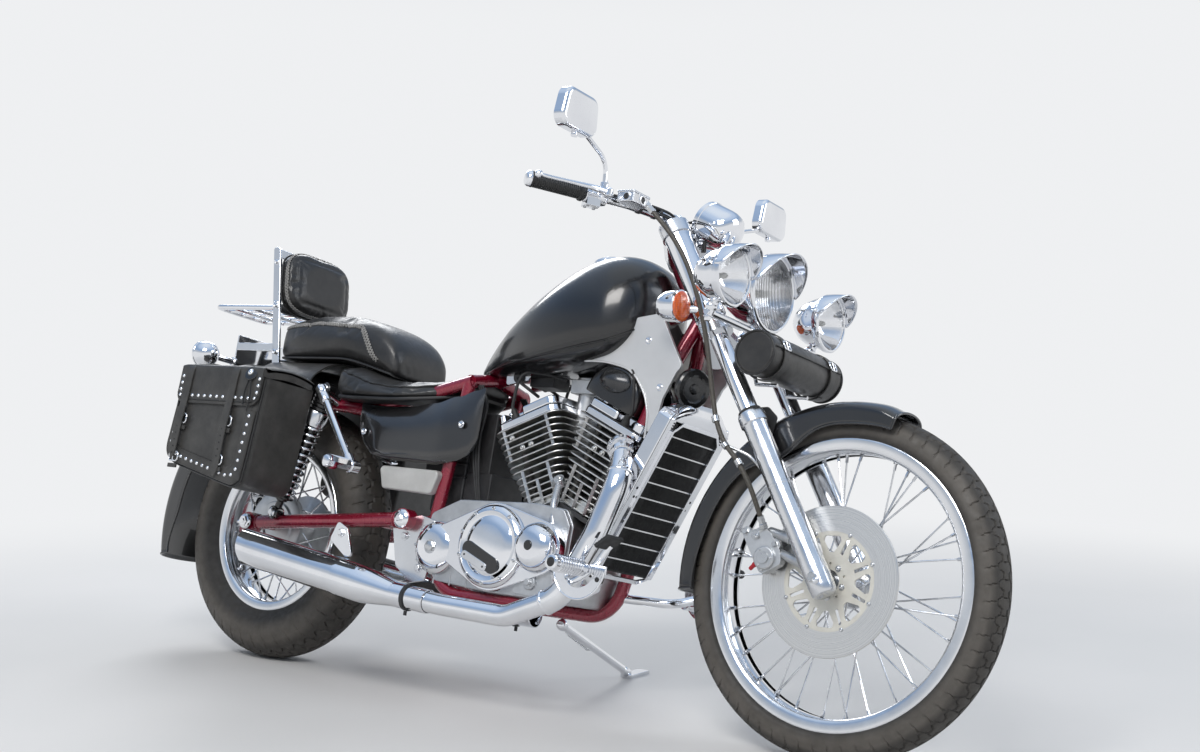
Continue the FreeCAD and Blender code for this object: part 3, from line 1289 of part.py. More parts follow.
def lid():
    """A domed lid with a flap down the outer face, hinged at its upper inner edge."""
    outer_y = BAG_OUTER_Y + LID_GAP + LID_THICK
    inner_y = BAG_INNER_Y + LID_INSET
    middle = 0.5 * (inner_y + BAG_OUTER_Y)
    low = BAG_REAR_TOP[1] + LID_GAP
    shoulder = low + LID_HEIGHT * 0.7
    rear = BAG_REAR_TOP[0] - 2.0
    front = BAG_FRONT_TOP[0] + 2.0
    rise = LID_HEIGHT * 0.3
    half = middle - inner_y
    over = []
    under = []
    for i in range(LID_ARC_POINTS):
        t = 2.0 * i / (LID_ARC_POINTS - 1.0) - 1.0
        over.append((middle + half * t, shoulder + rise * (1.0 - t * t)))
        under.append((middle + (half - LID_THICK) * t, shoulder - LID_THICK + rise * (1.0 - t * t)))
    outline = [(inner_y, low)] + over
    outline += [
        (outer_y, low),
        (outer_y, low - LID_DROP),
        (outer_y - LID_THICK, low - LID_DROP),
        (outer_y - LID_THICK, low),
    ]
    outline += list(reversed(under)) + [(inner_y + LID_THICK, low)]
    corners = [vec(rear, y, z) for y, z in outline]
    return Part.Face(Part.makePolygon(corners + corners[:1])).extrude(X_AXIS * (front - rear))


def bag_yoke():
    """The leather that joins the two bags over the fender."""
    top = REAR_AXLE_Z + REAR_FENDER_R + SEAT_GAP
    edge = BAG_INNER_Y - SEAT_GAP
    low = BAG_REAR_TOP[1] - YOKE_FLAP
    high = BAG_REAR_TOP[1] + YOKE_FLAP
    flat = REAR_FENDER_HALF - 36.0
    shoulder = REAR_FENDER_HALF + 16.0
    right = (
        (edge, low),
        (edge, high),
        (shoulder, top + 4.0),
        (flat, top + YOKE_THICK),
    )
    inside = (
        (flat, top),
        (shoulder - 4.0, top - 3.0),
        (edge - YOKE_THICK, high - 4.0),
        (edge - YOKE_THICK, low),
    )
    profile = [(-y, z) for y, z in right] + [(y, z) for y, z in reversed(right)]
    profile += [(y, z) for y, z in reversed(inside)] + [(-y, z) for y, z in inside]
    corners = [vec(YOKE_X[0], y, z) for y, z in profile]
    return [Part.Face(Part.makePolygon(corners + corners[:1])).extrude(X_AXIS * (YOKE_X[1] - YOKE_X[0]))]


def foot_guard():
    """A crescent plate that hangs under a forward peg, on the left."""
    at = vec(FRONT_PEG[0], FOOT_GUARD_Y, FRONT_PEG[2])
    over = Y_AXIS * FOOT_GUARD_THICK
    ring = cylinder(at, at + over, FOOT_GUARD_R).cut(cylinder(at, at + over, FOOT_GUARD_R - FOOT_GUARD_W))
    half = vec(FOOT_GUARD_R, 0.0, FOOT_GUARD_R)
    ring = ring.common(box(at - half, at + over + X_AXIS * FOOT_GUARD_R))
    bar = box(at - vec(FOOT_GUARD_R, 0.0, FOOT_GUARD_W / 3.0), at + over + vec(FOOT_GUARD_R, 0.0, FOOT_GUARD_W / 3.0))
    return ring.fuse(bar)


def foot_controls():
    """Forward pegs on their plates, and the passenger's pegs on their brackets."""
    peg = cylinder(vec(FRONT_PEG[0], FRONT_PEG[1], FRONT_PEG[2]),
                   vec(FRONT_PEG[0], FRONT_PEG[3], FRONT_PEG[2]), 15.0)
    arm = pipe([vec(FRONT_PEG[0], FRONT_PEG[1] + 8.0, FRONT_PEG[2])] + [vec(*point) for point in PEG_ARM],
               10.0, 60.0)
    front = fuse([peg, arm, foot_guard()])
    low = vec(REAR_PEG[0], REAR_PEG[1], REAR_PEG[2])
    corner = vec(REAR_PEG_ROOT[0] + 8.0, REAR_PEG[1], REAR_PEG_ROOT[1] + 22.0)
    root = cylinder(vec(REAR_PEG_ROOT[0], RAIL_Y, REAR_PEG_ROOT[1]), corner, REAR_PEG_ARM_R)
    knuckle = Part.makeSphere(REAR_PEG_ARM_R * 1.25, corner)
    arm = cylinder(corner, low, REAR_PEG_ARM_R)
    rear_peg = cylinder(low - Y_AXIS * 14.0, low + Y_AXIS * REAR_PEG_LENGTH, REAR_PEG_R)
    rear = fuse([root, knuckle, arm, rear_peg])
    return pair(front) + pair(rear)


def stand_foot():
    """Where the stand's pad meets the ground, in the upright building frame."""
    y = STAND_FOOT_OUT * math.cos(LEAN_RAD)
    z = STAND_FOOT_OUT * math.sin(LEAN_RAD)
    return vec(STAND_FOOT_X, y, z)


def ground_out():
    """Unit steps out along the ground and up from it, in the upright building frame."""
    out = vec(0.0, math.cos(LEAN_RAD), math.sin(LEAN_RAD))
    up = vec(0.0, -math.sin(LEAN_RAD), math.cos(LEAN_RAD))
    return out, up


def side_stand():
    out, up = ground_out()
    pivot = vec(*STAND_PIVOT)
    foot = stand_foot()
    heel = foot + up * STAND_R
    leg = cylinder(pivot, heel, STAND_R)
    corners = [foot - X_AXIS * 16.0 - out * 10.0, foot + X_AXIS * 16.0 - out * 10.0,
               foot + X_AXIS * 16.0 + out * STAND_PAD, foot - X_AXIS * 16.0 + out * STAND_PAD]
    pad = Part.Face(Part.makePolygon(corners + corners[:1])).extrude(up * STAND_PAD_THICK)
    to_rail = math.hypot(STAND_PIVOT[1] - RAIL_Y, STAND_PIVOT[2] - RAIL_Z)
    knuckle = Part.makeSphere(to_rail - TUBE_R - SEAT_GAP, pivot)
    stand = fuse([leg, pad, knuckle])
    half = box(vec(-2000.0, -2000.0, -1000.0), vec(4000.0, 2000.0, 0.0))
    half.rotate(vec(0.0, 0.0, 0.0), X_AXIS, LEAN)
    return [stand.cut(half)]


NODES = {
    "frame": frame,
    "neck_cover": neck_cover,
    "fuel_tank": fuel_tank,
    "rider_seat": rider_seat,
    "passenger_seat": passenger_seat,
    "backrest_pad": backrest_pad,
    "sissy_bar": sissy_bar,
    "rear_fender": rear_fender,
    "side_covers": side_covers,
    "crankcase": crankcase,
    "engine_covers": engine_covers,
    "rear_cylinder": lambda: finned_cylinder(-1.0),
    "front_cylinder": lambda: finned_cylinder(1.0),
    "exhaust": exhaust,
    "radiator": radiator,
    "radiator_cover": radiator_cover,
    "swingarm": swingarm,
    "shocks": shocks,
    "tail_lamp": tail_lamp,
    "rear_signals": rear_signals,
    "saddlebag_right": lambda: [mirrored(saddlebag())],
    "saddlebag_left": lambda: [saddlebag()],
    "bag_yoke": bag_yoke,
    "foot_controls": foot_controls,
    "triple_clamps": triple_clamps,
    "fork_tubes": fork_tubes,
    "fork_sliders": fork_sliders,
    "front_fender": front_fender,
    "handlebar": handlebar,
    "grips": grips,
    "hand_controls": hand_controls,
    "mirrors": mirrors,
    "headlamp": headlamp,
    "spot_lamps": spot_lamps,
    "front_signals": front_signals,
    "speedometer": speedometer,
    "tool_roll": tool_roll,
    "brake_caliper": brake_caliper,
    "brake_hose": brake_hose,
    "front_tyre": lambda: tyre(FRONT_AXLE, FRONT_TYRE_R, FRONT_TYRE_HALF, FRONT_BEAD_R, FRONT_FLANGE_R,
                               FRONT_RIM_HALF),
    "front_wheel": lambda: [front_wheel()],
    "brake_disc": lambda: [brake_disc()],
    "rear_tyre": lambda: tyre(REAR_AXLE, REAR_TYRE_R, REAR_TYRE_HALF, REAR_BEAD_R, REAR_FLANGE_R, REAR_RIM_HALF),
    "rear_wheel": lambda: [rear_wheel()],
    "side_stand": side_stand,
    "lid_right": lambda: [mirrored(lid())],
    "lid_left": lambda: [lid()],
}


# Which neighbours each piece is hollowed for, so that it seats on them without sharing their space
SEATS = {
    "crankcase": ("frame",),
    "engine_covers": ("crankcase", "frame", "front_cylinder", "rear_cylinder"),
    "front_cylinder": ("crankcase", "frame"),
    "rear_cylinder": ("crankcase", "frame"),
    "fuel_tank": ("frame",),
    "neck_cover": ("frame", "fuel_tank", "engine_covers", "front_cylinder", "radiator_cover"),
    "rider_seat": ("frame", "fuel_tank"),
    "passenger_seat": ("rider_seat", "bag_yoke", "rear_fender", "sissy_bar"),
    "backrest_pad": ("sissy_bar",),
    "bag_yoke": ("sissy_bar", "rear_fender", "shocks"),
    "rear_fender": ("frame", "sissy_bar"),
    "radiator": ("frame", "crankcase"),
    "radiator_cover": ("frame", "crankcase"),
    "swingarm": ("frame",),
    "shocks": ("frame", "swingarm"),
    "exhaust": ("frame", "crankcase", "engine_covers", "front_cylinder", "rear_cylinder", "radiator_cover"),
    "side_covers": ("frame", "neck_cover", "rear_cylinder", "front_cylinder", "engine_covers"),
    "foot_controls": ("frame", "crankcase", "shocks"),
    "handlebar": ("triple_clamps",),
    "speedometer": ("triple_clamps", "handlebar"),
    "headlamp": ("triple_clamps",),
    "spot_lamps": ("triple_clamps",),
    "front_signals": ("fork_tubes",),
    "mirrors": ("hand_controls",),
    "brake_hose": ("hand_controls", "brake_caliper"),
    "tool_roll": ("triple_clamps",),
}


def lean(shape):
    """Tips a piece about the ground line onto the side stand."""
    shape.rotate(FreeCAD.Vector(0.0, 0.0, 0.0), X_AXIS, -LEAN)
    return shape


def seat(name, upright, done):
    """Cuts a piece's neighbours out of it, each neighbour first being cut for its own."""
    if name in done:
        return done[name]
    shape = upright[name]
    for other in SEATS.get(name, ()):
        neighbour = seat(other, upright, done)
        if shape.BoundBox.intersect(neighbour.BoundBox):
            near = [solid for solid in neighbour.Solids if solid.BoundBox.intersect(shape.BoundBox)]
            if near:
                shape = shape.cut(near)
    done[name] = Part.makeCompound(shape.Solids)
    return done[name]


def build():
    """Every node, leaned, with the whole bike's lowest middle point at the origin."""
    upright = {name: Part.makeCompound(make()) for name, make in NODES.items()}
    done = {}
    for name in NODES:
        seat(name, upright, done)
    pieces = {name: lean(done[name]) for name in NODES}
    whole = FreeCAD.BoundBox()
    for shape in pieces.values():
        whole.add(shape.optimalBoundingBox(True, False))
    shift = FreeCAD.Vector(-whole.Center.x, -whole.Center.y, -whole.ZMin)
    for shape in pieces.values():
        shape.translate(shift)
    return pieces, shift


def main():
    os.makedirs("parts", exist_ok=True)
    pieces, shift = build()
    for name, shape in pieces.items():
        shape.exportStep("parts/" + name + ".step")
        solids = len(shape.Solids)
        print(name, solids, "valid" if shape.isValid() else "NOT VALID", round(shape.Volume / 1000.0, 1), "cm3")
    print("shift", [round(value, 3) for value in shift])


if __name__ == "__main__":
    main()
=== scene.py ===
import bmesh
import bpy
import json
from math import asin, atan2, copysign, cos, exp, pi, radians, sin, sqrt, tan, tau
from mathutils import Matrix, Vector
from mathutils.bvhtree import BVHTree


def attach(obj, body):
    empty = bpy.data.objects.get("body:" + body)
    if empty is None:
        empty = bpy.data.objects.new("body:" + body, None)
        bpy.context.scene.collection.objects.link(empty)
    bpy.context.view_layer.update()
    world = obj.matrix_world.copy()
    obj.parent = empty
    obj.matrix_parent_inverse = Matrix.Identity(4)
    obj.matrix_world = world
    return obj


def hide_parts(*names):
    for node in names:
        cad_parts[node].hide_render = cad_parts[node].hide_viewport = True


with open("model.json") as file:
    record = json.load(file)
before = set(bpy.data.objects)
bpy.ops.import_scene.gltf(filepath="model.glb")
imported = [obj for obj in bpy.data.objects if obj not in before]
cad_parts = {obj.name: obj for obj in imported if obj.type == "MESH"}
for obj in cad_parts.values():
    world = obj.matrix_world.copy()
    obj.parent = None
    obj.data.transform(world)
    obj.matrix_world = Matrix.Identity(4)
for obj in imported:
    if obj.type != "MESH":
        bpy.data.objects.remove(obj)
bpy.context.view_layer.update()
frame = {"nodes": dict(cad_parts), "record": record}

# Building frame: the bike upright, millimetres, +X forward, +Y to its left, +Z up,
# origin on the ground under the rear axle. TO takes it to the row frame.
LEAN = radians(14.0)
FRONT_AXLE = Vector((1560.0, 0.0, 296.0 + 44.0 / cos(LEAN)))
REAR_AXLE = Vector((0.0, 0.0, 248.0 + 68.0 / cos(LEAN)))
TILT = Matrix.Rotation(-LEAN, 4, "X")
JOINTS = {joint["name"]: joint for joint in frame["record"]["behaviour"]["joints"]}
REAR_AT = Vector(JOINTS["rear_wheel_spin"]["pos_m"])
SHIFT = REAR_AT - TILT @ (REAR_AXLE * 0.001)
TO = Matrix.Translation(SHIFT) @ TILT @ Matrix.Scale(0.001, 4)
RAKE = radians(33.0)
STEER_UP = Vector((-sin(RAKE), 0.0, cos(RAKE)))
STEER_AHEAD = Vector((cos(RAKE), 0.0, sin(RAKE)))
STEER_POINT = FRONT_AXLE - STEER_AHEAD * 55.0
X, Y, Z = Vector((1, 0, 0)), Vector((0, 1, 0)), Vector((0, 0, 1))
SIDES = (-1.0, 1.0)
FORK_Y = 104.0
REAR_Z = 318.08


# Helpers
def V(*c):
    return Vector(c)


def frame_of(axis, hint=None):
    """Two unit vectors square to an axis, then the axis itself."""
    w = Vector(axis).normalized()
    hint = Vector(hint) if hint is not None else (X if abs(w.x) < 0.9 else Z)
    u = (hint - w * hint.dot(w)).normalized()
    return u, w.cross(u), w


def lathe(profile, origin, axis, segs=48):
    """Turns (radius, height) points about an axis."""
    u, v, w = frame_of(axis)
    o = Vector(origin)
    verts, faces, n = [], [], len(profile)
    for i in range(segs):
        a = radians(360.0 * i / segs)
        d = u * cos(a) + v * sin(a)
        verts += [o + d * r + w * h for r, h in profile]
        j = (i + 1) % segs
        faces += [(i * n + k, j * n + k, j * n + k + 1, i * n + k + 1) for k in range(n - 1)]
    return verts, faces


def rod(a, b, r, r2=None, segs=16, bevel=0.0):
    """A capped round bar, optionally tapered, with a small chamfer."""
    a, b = Vector(a), Vector(b)
    r2 = r if r2 is None else r2
    length = (b - a).length
    c = min(bevel, length * 0.4, r * 0.5, r2 * 0.5)
    profile = [(0.0, 0.0)]
    profile += [(r - c, 0.0), (r, c)] if c > 0 else [(r, 0.0)]
    profile += [(r2, length - c), (r2 - c, length)] if c > 0 else [(r2, length)]
    profile += [(0.0, length)]
    return lathe(profile, a, b - a, segs)


def ball(centre, r, segs=20, scale=(1, 1, 1)):
    profile = [(r * sin(pi * k / 10), -r * cos(pi * k / 10)) for k in range(11)]
    verts, faces = lathe(profile, (0, 0, 0), Z, segs)
    c = Vector(centre)
    return [c + Vector((v.x * scale[0], v.y * scale[1], v.z * scale[2])) for v in verts], faces


def spline(points, per=8):
    """Points along a smooth curve through the given ones."""
    P = [Vector(p) for p in points]
    if len(P) < 3:
        return P
    out = []
    for i in range(len(P) - 1):
        p0 = P[i - 1] if i else P[0] * 2 - P[1]
        p1, p2 = P[i], P[i + 1]
        p3 = P[i + 2] if i + 2 < len(P) else P[-1] * 2 - P[-2]
        for s in range(per):
            t = s / per
            out.append(0.5 * ((2 * p1) + (p2 - p0) * t + (2 * p0 - 5 * p1 + 4 * p2 - p3) * t * t
                              + (3 * p1 - p0 - 3 * p2 + p3) * t ** 3))
    out.append(P[-1])
    return out


def sweep(path, section, closed=False, caps=True, hint=None, scale=None):
    """Carries a closed section of (u, v) points along a path of points."""
    P = [Vector(p) for p in path]
    n, m = len(P), len(section)
    tang = []
    for i in range(n):
        a = P[(i - 1) % n] if closed else P[max(i - 1, 0)]
        b = P[(i + 1) % n] if closed else P[min(i + 1, n - 1)]
        tang.append((b - a).normalized())
    u = frame_of(tang[0], hint)[0]
    verts, faces = [], []
    for i in range(n):
        t = tang[i]
        if hint is not None:
            h = Vector(hint)
            u2 = h - t * h.dot(t)
            u = u2.normalized() if u2.length > 1e-4 else u
        else:
            u = (u - t * u.dot(t)).normalized()
        v = t.cross(u)
        s = scale[i] if scale else 1.0
        for a, b in section:
            verts.append(P[i] + u * a * s + v * b * s)
    for i in range(n if closed else n - 1):
        j = (i + 1) % n
        for k in range(m):
            l = (k + 1) % m
            faces.append((i * m + k, i * m + l, j * m + l, j * m + k))
    if caps and not closed:
        faces += [tuple(reversed(range(m))), tuple((n - 1) * m + k for k in range(m))]
    return verts, faces


def ring(r, segs=12, r2=None):
    r2 = r if r2 is None else r2
    return [(r * cos(tau * k / segs), r2 * sin(tau * k / segs)) for k in range(segs)]


def oblong(a, b):
    """A flat bar's section."""
    return [(a, b), (-a, b), (-a, -b), (a, -b)]


def corners(a, b):
    """A rectangle's outline."""
    return [(-a, -b), (a, -b), (a, b), (-a, b)]


def tube(points, r, segs=12, per=8):
    return sweep(spline(points, per), ring(r, segs))


def prism(outline, lift, base=None, ex=X, ey=Z):
    """A flat outline of (a, b) points on axes ex, ey, raised by a vector; base moves it."""
    base = Vector(base) if base is not None else V(0, 0, 0)
    lift = Vector(lift)
    low = [base + ex * a + ey * b for a, b in outline]
    n = len(low)
    verts = low + [p + lift for p in low]
    faces = [tuple(reversed(range(n))), tuple(n + k for k in range(n))]
    faces += [(k, (k + 1) % n, n + (k + 1) % n, n + k) for k in range(n)]
    return verts, faces


def block(centre, half, turn=None):
    c = Vector(centre)
    verts, m = [], (turn.to_3x3() if turn is not None else Matrix.Identity(3))
    for sx, sy, sz in ((-1, -1, -1), (1, -1, -1), (1, 1, -1), (-1, 1, -1), (-1, -1, 1), (1, -1, 1),
                       (1, 1, 1), (-1, 1, 1)):
        verts.append(c + m @ V(sx * half[0], sy * half[1], sz * half[2]))
    return verts, [(3, 2, 1, 0), (4, 5, 6, 7), (0, 1, 5, 4), (1, 2, 6, 5), (2, 3, 7, 6), (3, 0, 4, 7)]


def loft(rings, caps=True):
    n, m = len(rings), len(rings[0])
    verts = [Vector(p) for r in rings for p in r]
    faces = []
    for i in range(n - 1):
        for k in range(m):
            l = (k + 1) % m
            faces.append((i * m + k, i * m + l, (i + 1) * m + l, (i + 1) * m + k))
    if caps:
        faces += [tuple(reversed(range(m))), tuple((n - 1) * m + k for k in range(m))]
    return verts, faces


def hexbolt(at, out, r, h, dome=False):
    """A bolt head on a washer, sticking out along a direction."""
    w = frame_of(out)[2]
    at = Vector(at)
    verts, faces = lathe([(0, 0), (r * 1.35, 0), (r * 1.35, h * 0.22), (0, h * 0.22)], at, w, 20)
    if dome:
        head = lathe([(r, 0), (r, h * 0.6), (r * 0.86, h * 0.85), (r * 0.5, h), (r * 0.42, h),
                      (r * 0.42, h * 0.5), (0, h * 0.5)], at + w * h * 0.2, w, 18)
    else:
        head = lathe([(r, 0), (r, h * 0.8), (r * 0.86, h), (0, h)], at + w * h * 0.2, w, 6)
    off = len(verts)
    return verts + head[0], faces + [tuple(i + off for i in f) for f in head[1]]


def bolt_ring(centre, radius, count, first, out, *size):
    """Bolts on a circle square to the axle; first is the angle of the first one in degrees."""
    angles = [radians(360 / count * k + first) for k in range(count)]
    return [hexbolt(centre + V(radius * cos(a), 0, radius * sin(a)), out, *size) for a in angles]


def circle(r, n=72, cx=0.0, cz=0.0):
    return [(cx + r * cos(tau * k / n), cz + r * sin(tau * k / n)) for k in range(n)]


def signed(v, e):
    return copysign(abs(v) ** e, v)


def squarish(a, b, power, n):
    """The outline of a rounded box, from a superellipse with half sizes a and b."""
    return [(a * signed(x, power), b * signed(z, power)) for x, z in circle(1.0, n)]


def mirror_y(part):
    verts, faces = part
    return [V(v[0], -v[1], v[2]) for v in verts], [tuple(reversed(f)) for f in faces]


def both(parts):
    return parts + [mirror_y(p) for p in parts]


# The slot of the part's palette that each material belongs to
SLOT_NAMES = {
    "alloy": "alloy_polished rim_polished alloy_cast deck_alloy spoke fin_alloy barrel",
    "steel": "disc_face disc_carrier steel",
    "chrome": "chrome dial lamp_glass mirror_glass bulb",
    "rubber": "rubber bleed_cap grip_rubber",
    "black_paint": "fender_paint black_paint cover_gloss",
    "cast_black": "black_plastic cast_black satin_grey radiator_core exhaust_bore",
    "red_lens": "amber_lens red_lens",
    "silver_paint": "silver_paint pale_satin",
    "black_leather": "piping lace black_leather yoke_leather roll_leather bag_leather thread",
    "frame_paint": "frame_paint",
}
SLOT_OF = {name: slot for slot, names in SLOT_NAMES.items() for name in names.split()}


def piece(name, parts, mat, body="chassis", node=None, slot="usual", bevel=0.0, segs=2, sub=0, angle=40.0,
          smooth=True, weld=True, bevel_angle=35.0, solid=0.0):
    """One object from meshes in building millimetres, placed in the row frame, riding on a body."""
    verts, faces = [], []
    for pv, pf in parts:
        off = len(verts)
        verts += [TO @ Vector(v) for v in pv]
        faces += [tuple(i + off for i in f) for f in pf]
    me = bpy.data.meshes.new(name)
    me.from_pydata(verts, [], faces)
    bm = bmesh.new()
    bm.from_mesh(me)
    if weld:
        bmesh.ops.remove_doubles(bm, verts=bm.verts, dist=2e-6)
        bmesh.ops.dissolve_degenerate(bm, dist=1e-6, edges=bm.edges)
    bmesh.ops.recalc_face_normals(bm, faces=bm.faces)
    bm.to_mesh(me)
    bm.free()
    if smooth:
        me.shade_smooth()
        if not sub:
            me.set_sharp_from_angle(angle=radians(angle))
    ob = bpy.data.objects.new(name, me)
    bpy.context.scene.collection.objects.link(ob)
    if solid:
        m = ob.modifiers.new("solid", "SOLIDIFY")
        m.thickness = solid * 0.001
        m.offset = -1.0
    if bevel:
        m = ob.modifiers.new("bevel", "BEVEL")
        m.width = bevel * 0.001
        m.segments = segs
        m.limit_method = "ANGLE"
        m.angle_limit = radians(bevel_angle)
        m.harden_normals = not sub
        m.use_clamp_overlap = True
    if sub:
        m = ob.modifiers.new("sub", "SUBSURF")
        m.levels = sub
        m.render_levels = sub
    me.materials.append(mat)
    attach(ob, body)
    if slot == "usual":
        slot = SLOT_OF[mat.name.split(".")[0]]
    if node:
        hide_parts(node)
    return ob


# Materials
def set_inputs(nt, shader, inputs):
    """Gives a shader node its inputs: each a value, or the output of another node to link from."""
    for name, value in inputs.items():
        if isinstance(value, bpy.types.NodeSocket):
            nt.links.new(value, shader.inputs[name])
        else:
            shader.inputs[name].default_value = value


def add_node(nt, kind, inputs, **settings):
    """A new shader node with its settings and inputs."""
    made = nt.nodes.new("ShaderNode" + kind)
    for name, value in settings.items():
        setattr(made, name, value)
    set_inputs(nt, made, inputs)
    return made


def nodes_of(name):
    """A new material, its node tree, its main shader and the object's coordinates."""
    mat = bpy.data.materials.new(name)
    mat.use_nodes = True
    nt = mat.node_tree
    return mat, nt, nt.nodes["Principled BSDF"], add_node(nt, "TexCoord", {}).outputs["Object"]


def noise_node(nt, coord, scale, detail=3.0, rough=0.5):
    inputs = {"Scale": scale, "Detail": detail, "Roughness": rough, "Vector": coord}
    return add_node(nt, "TexNoise", inputs).outputs["Fac"]


def voronoi_node(nt, coord, scale, feature="F1", rand=1.0):
    inputs = {"Scale": scale, "Randomness": rand, "Vector": coord}
    return add_node(nt, "TexVoronoi", inputs, feature=feature).outputs["Distance"]


def colour_stops(nt, fac, stops, blend="LINEAR"):
    """Maps a 0..1 factor through (place, colour) stops; a colour given as one number is a grey."""
    made = add_node(nt, "ValToRGB", {"Fac": fac})
    made.color_ramp.interpolation = blend
    elements = made.color_ramp.elements
    while len(elements) < len(stops):
        elements.new(0.5)
    for element, (place, colour) in zip(elements, stops):
        element.position = place
        shade = (colour, colour, colour) if isinstance(colour, (int, float)) else colour
        element.color = (*shade, 1.0)
    return made.outputs["Color"]


def ramp(nt, fac, lo, hi, a=0.3, b=0.7):
    """Maps a 0..1 factor to colours or values between lo and hi."""
    return colour_stops(nt, fac, ((a, lo), (b, hi)))


def bump(nt, bsdf, heights):
    """Chains (height output, strength, distance in metres) into the normal."""
    normal = None
    for height, strength, distance in heights:
        inputs = {"Strength": strength, "Distance": distance, "Height": height}
        if normal:
            inputs["Normal"] = normal
        normal = add_node(nt, "Bump", inputs).outputs["Normal"]
    set_inputs(nt, bsdf, {"Normal": normal})


def surface(name, lo, hi, scale=12.0, rough=(0.3, 0.4), rough_scale=30.0, metal=0.0, coat=0.0,
            coat_rough=0.03, grain=(), sheen=0.0):
    """A colour between two tones, roughness that varies, and bumps of (kind, scale, strength, depth)."""
    mat, nt, bsdf, co = nodes_of(name)
    set_inputs(nt, bsdf, {"Base Color": ramp(nt, noise_node(nt, co, scale, 4.0, 0.6), lo, hi),
                          "Roughness": ramp(nt, noise_node(nt, co, rough_scale, 3.0, 0.55), *rough),
                          "Metallic": metal, "Coat Weight": coat, "Coat Roughness": coat_rough,
                          "Sheen Weight": sheen})
    heights = []
    for kind, size, strength, depth in grain:
        if kind == "noise":
            height = noise_node(nt, co, size, 4.0, 0.6)
        else:
            height = voronoi_node(nt, co, size, "DISTANCE_TO_EDGE" if kind == "cells" else "F1")
        heights.append((height, strength, depth))
    if heights:
        bump(nt, bsdf, heights)
    return mat


CHROME = surface("chrome", (0.76, 0.77, 0.80), (0.86, 0.87, 0.89), 8, (0.035, 0.09), 22, 1.0,
                 grain=(("noise", 35, 0.06, 0.0006), ("noise", 900, 0.02, 0.00005)))
ALLOY = surface("alloy_polished", (0.62, 0.63, 0.65), (0.74, 0.75, 0.77), 10, (0.14, 0.26), 40, 1.0,
                grain=(("noise", 60, 0.05, 0.0004), ("noise", 1400, 0.05, 0.00005)))
ALLOY_CAST = surface("alloy_cast", (0.46, 0.47, 0.48), (0.60, 0.61, 0.62), 26, (0.36, 0.52), 60, 1.0,
                     grain=(("noise", 420, 0.25, 0.0004), ("pits", 900, 0.12, 0.0002)))
STEEL = surface("steel", (0.50, 0.51, 0.52), (0.64, 0.65, 0.66), 20, (0.22, 0.34), 60, 1.0,
                grain=(("noise", 500, 0.1, 0.0001),))
BLACK_CAST = surface("cast_black", (0.014, 0.014, 0.015), (0.032, 0.032, 0.034), 30, (0.42, 0.6), 60, 0.0,
                     grain=(("noise", 500, 0.3, 0.0003),))
BLACK_PAINT = surface("black_paint", (0.006, 0.006, 0.0065), (0.010, 0.010, 0.011), 5, (0.20, 0.27), 12,
                      0.0, 0.55, 0.08, grain=(("noise", 90, 0.02, 0.0003),))
FENDER_PAINT = surface("fender_paint", (0.006, 0.006, 0.0065), (0.010, 0.010, 0.011), 5, (0.16, 0.22), 12,
                       0.0, 0.9, 0.03, grain=(("noise", 90, 0.02, 0.0003),))
SILVER_PAINT = surface("silver_paint", (0.60, 0.605, 0.61), (0.68, 0.685, 0.69), 7, (0.28, 0.36), 25, 0.35,
                       0.4, 0.15, grain=(("noise", 1500, 0.05, 0.00006), ("noise", 60, 0.02, 0.0003)))
RED_PAINT = surface("frame_paint", (0.20, 0.003, 0.018), (0.33, 0.006, 0.034), 900, (0.22, 0.32), 30, 0.35,
                    1.0, 0.04, grain=(("noise", 60, 0.03, 0.0004),))
RUBBER = surface("rubber", (0.014, 0.014, 0.014), (0.026, 0.026, 0.027), 40, (0.55, 0.72), 50, 0.0,
                 grain=(("noise", 900, 0.2, 0.0001),))
PLASTIC = surface("black_plastic", (0.012, 0.012, 0.013), (0.022, 0.022, 0.023), 30, (0.34, 0.46), 60, 0.0,
                  grain=(("noise", 1200, 0.15, 0.0001),))

# Camera, floor and light
def look():
    yaw, pitch, roll = (radians(a) for a in (127.05, 2.37, 0.3))
    f = V(cos(yaw) * cos(pitch), sin(yaw) * cos(pitch), -sin(pitch))
    r = V(sin(yaw), -cos(yaw), 0.0)
    u = r.cross(f)
    r2 = r * cos(roll) + u * sin(roll)
    u2 = u * cos(roll) - r * sin(roll)
    data = bpy.data.cameras.new("camera")
    data.sensor_width = 36.0
    data.lens = 50.71
    data.clip_start = 0.1
    cam = bpy.data.objects.new("camera", data)
    at = V(3.148, -2.813, 0.871) + SHIFT
    cam.matrix_world = Matrix(((r2.x, u2.x, -f.x, at.x), (r2.y, u2.y, -f.y, at.y), (r2.z, u2.z, -f.z, at.z),
                               (0, 0, 0, 1)))
    bpy.context.scene.collection.objects.link(cam)
    bpy.context.scene.camera = cam


BACKDROP = (0.86, 0.87, 0.885)


def seen_ray(nt):
    """One for rays from the camera and those that metal or glass sends on, nought for light on surfaces."""
    path = add_node(nt, "LightPath", {})
    total = path.outputs["Is Camera Ray"]
    for name in ("Is Glossy Ray", "Is Transmission Ray"):
        total = add_node(nt, "Math", {0: total, 1: path.outputs[name]}, operation="MAXIMUM").outputs[0]
    return total


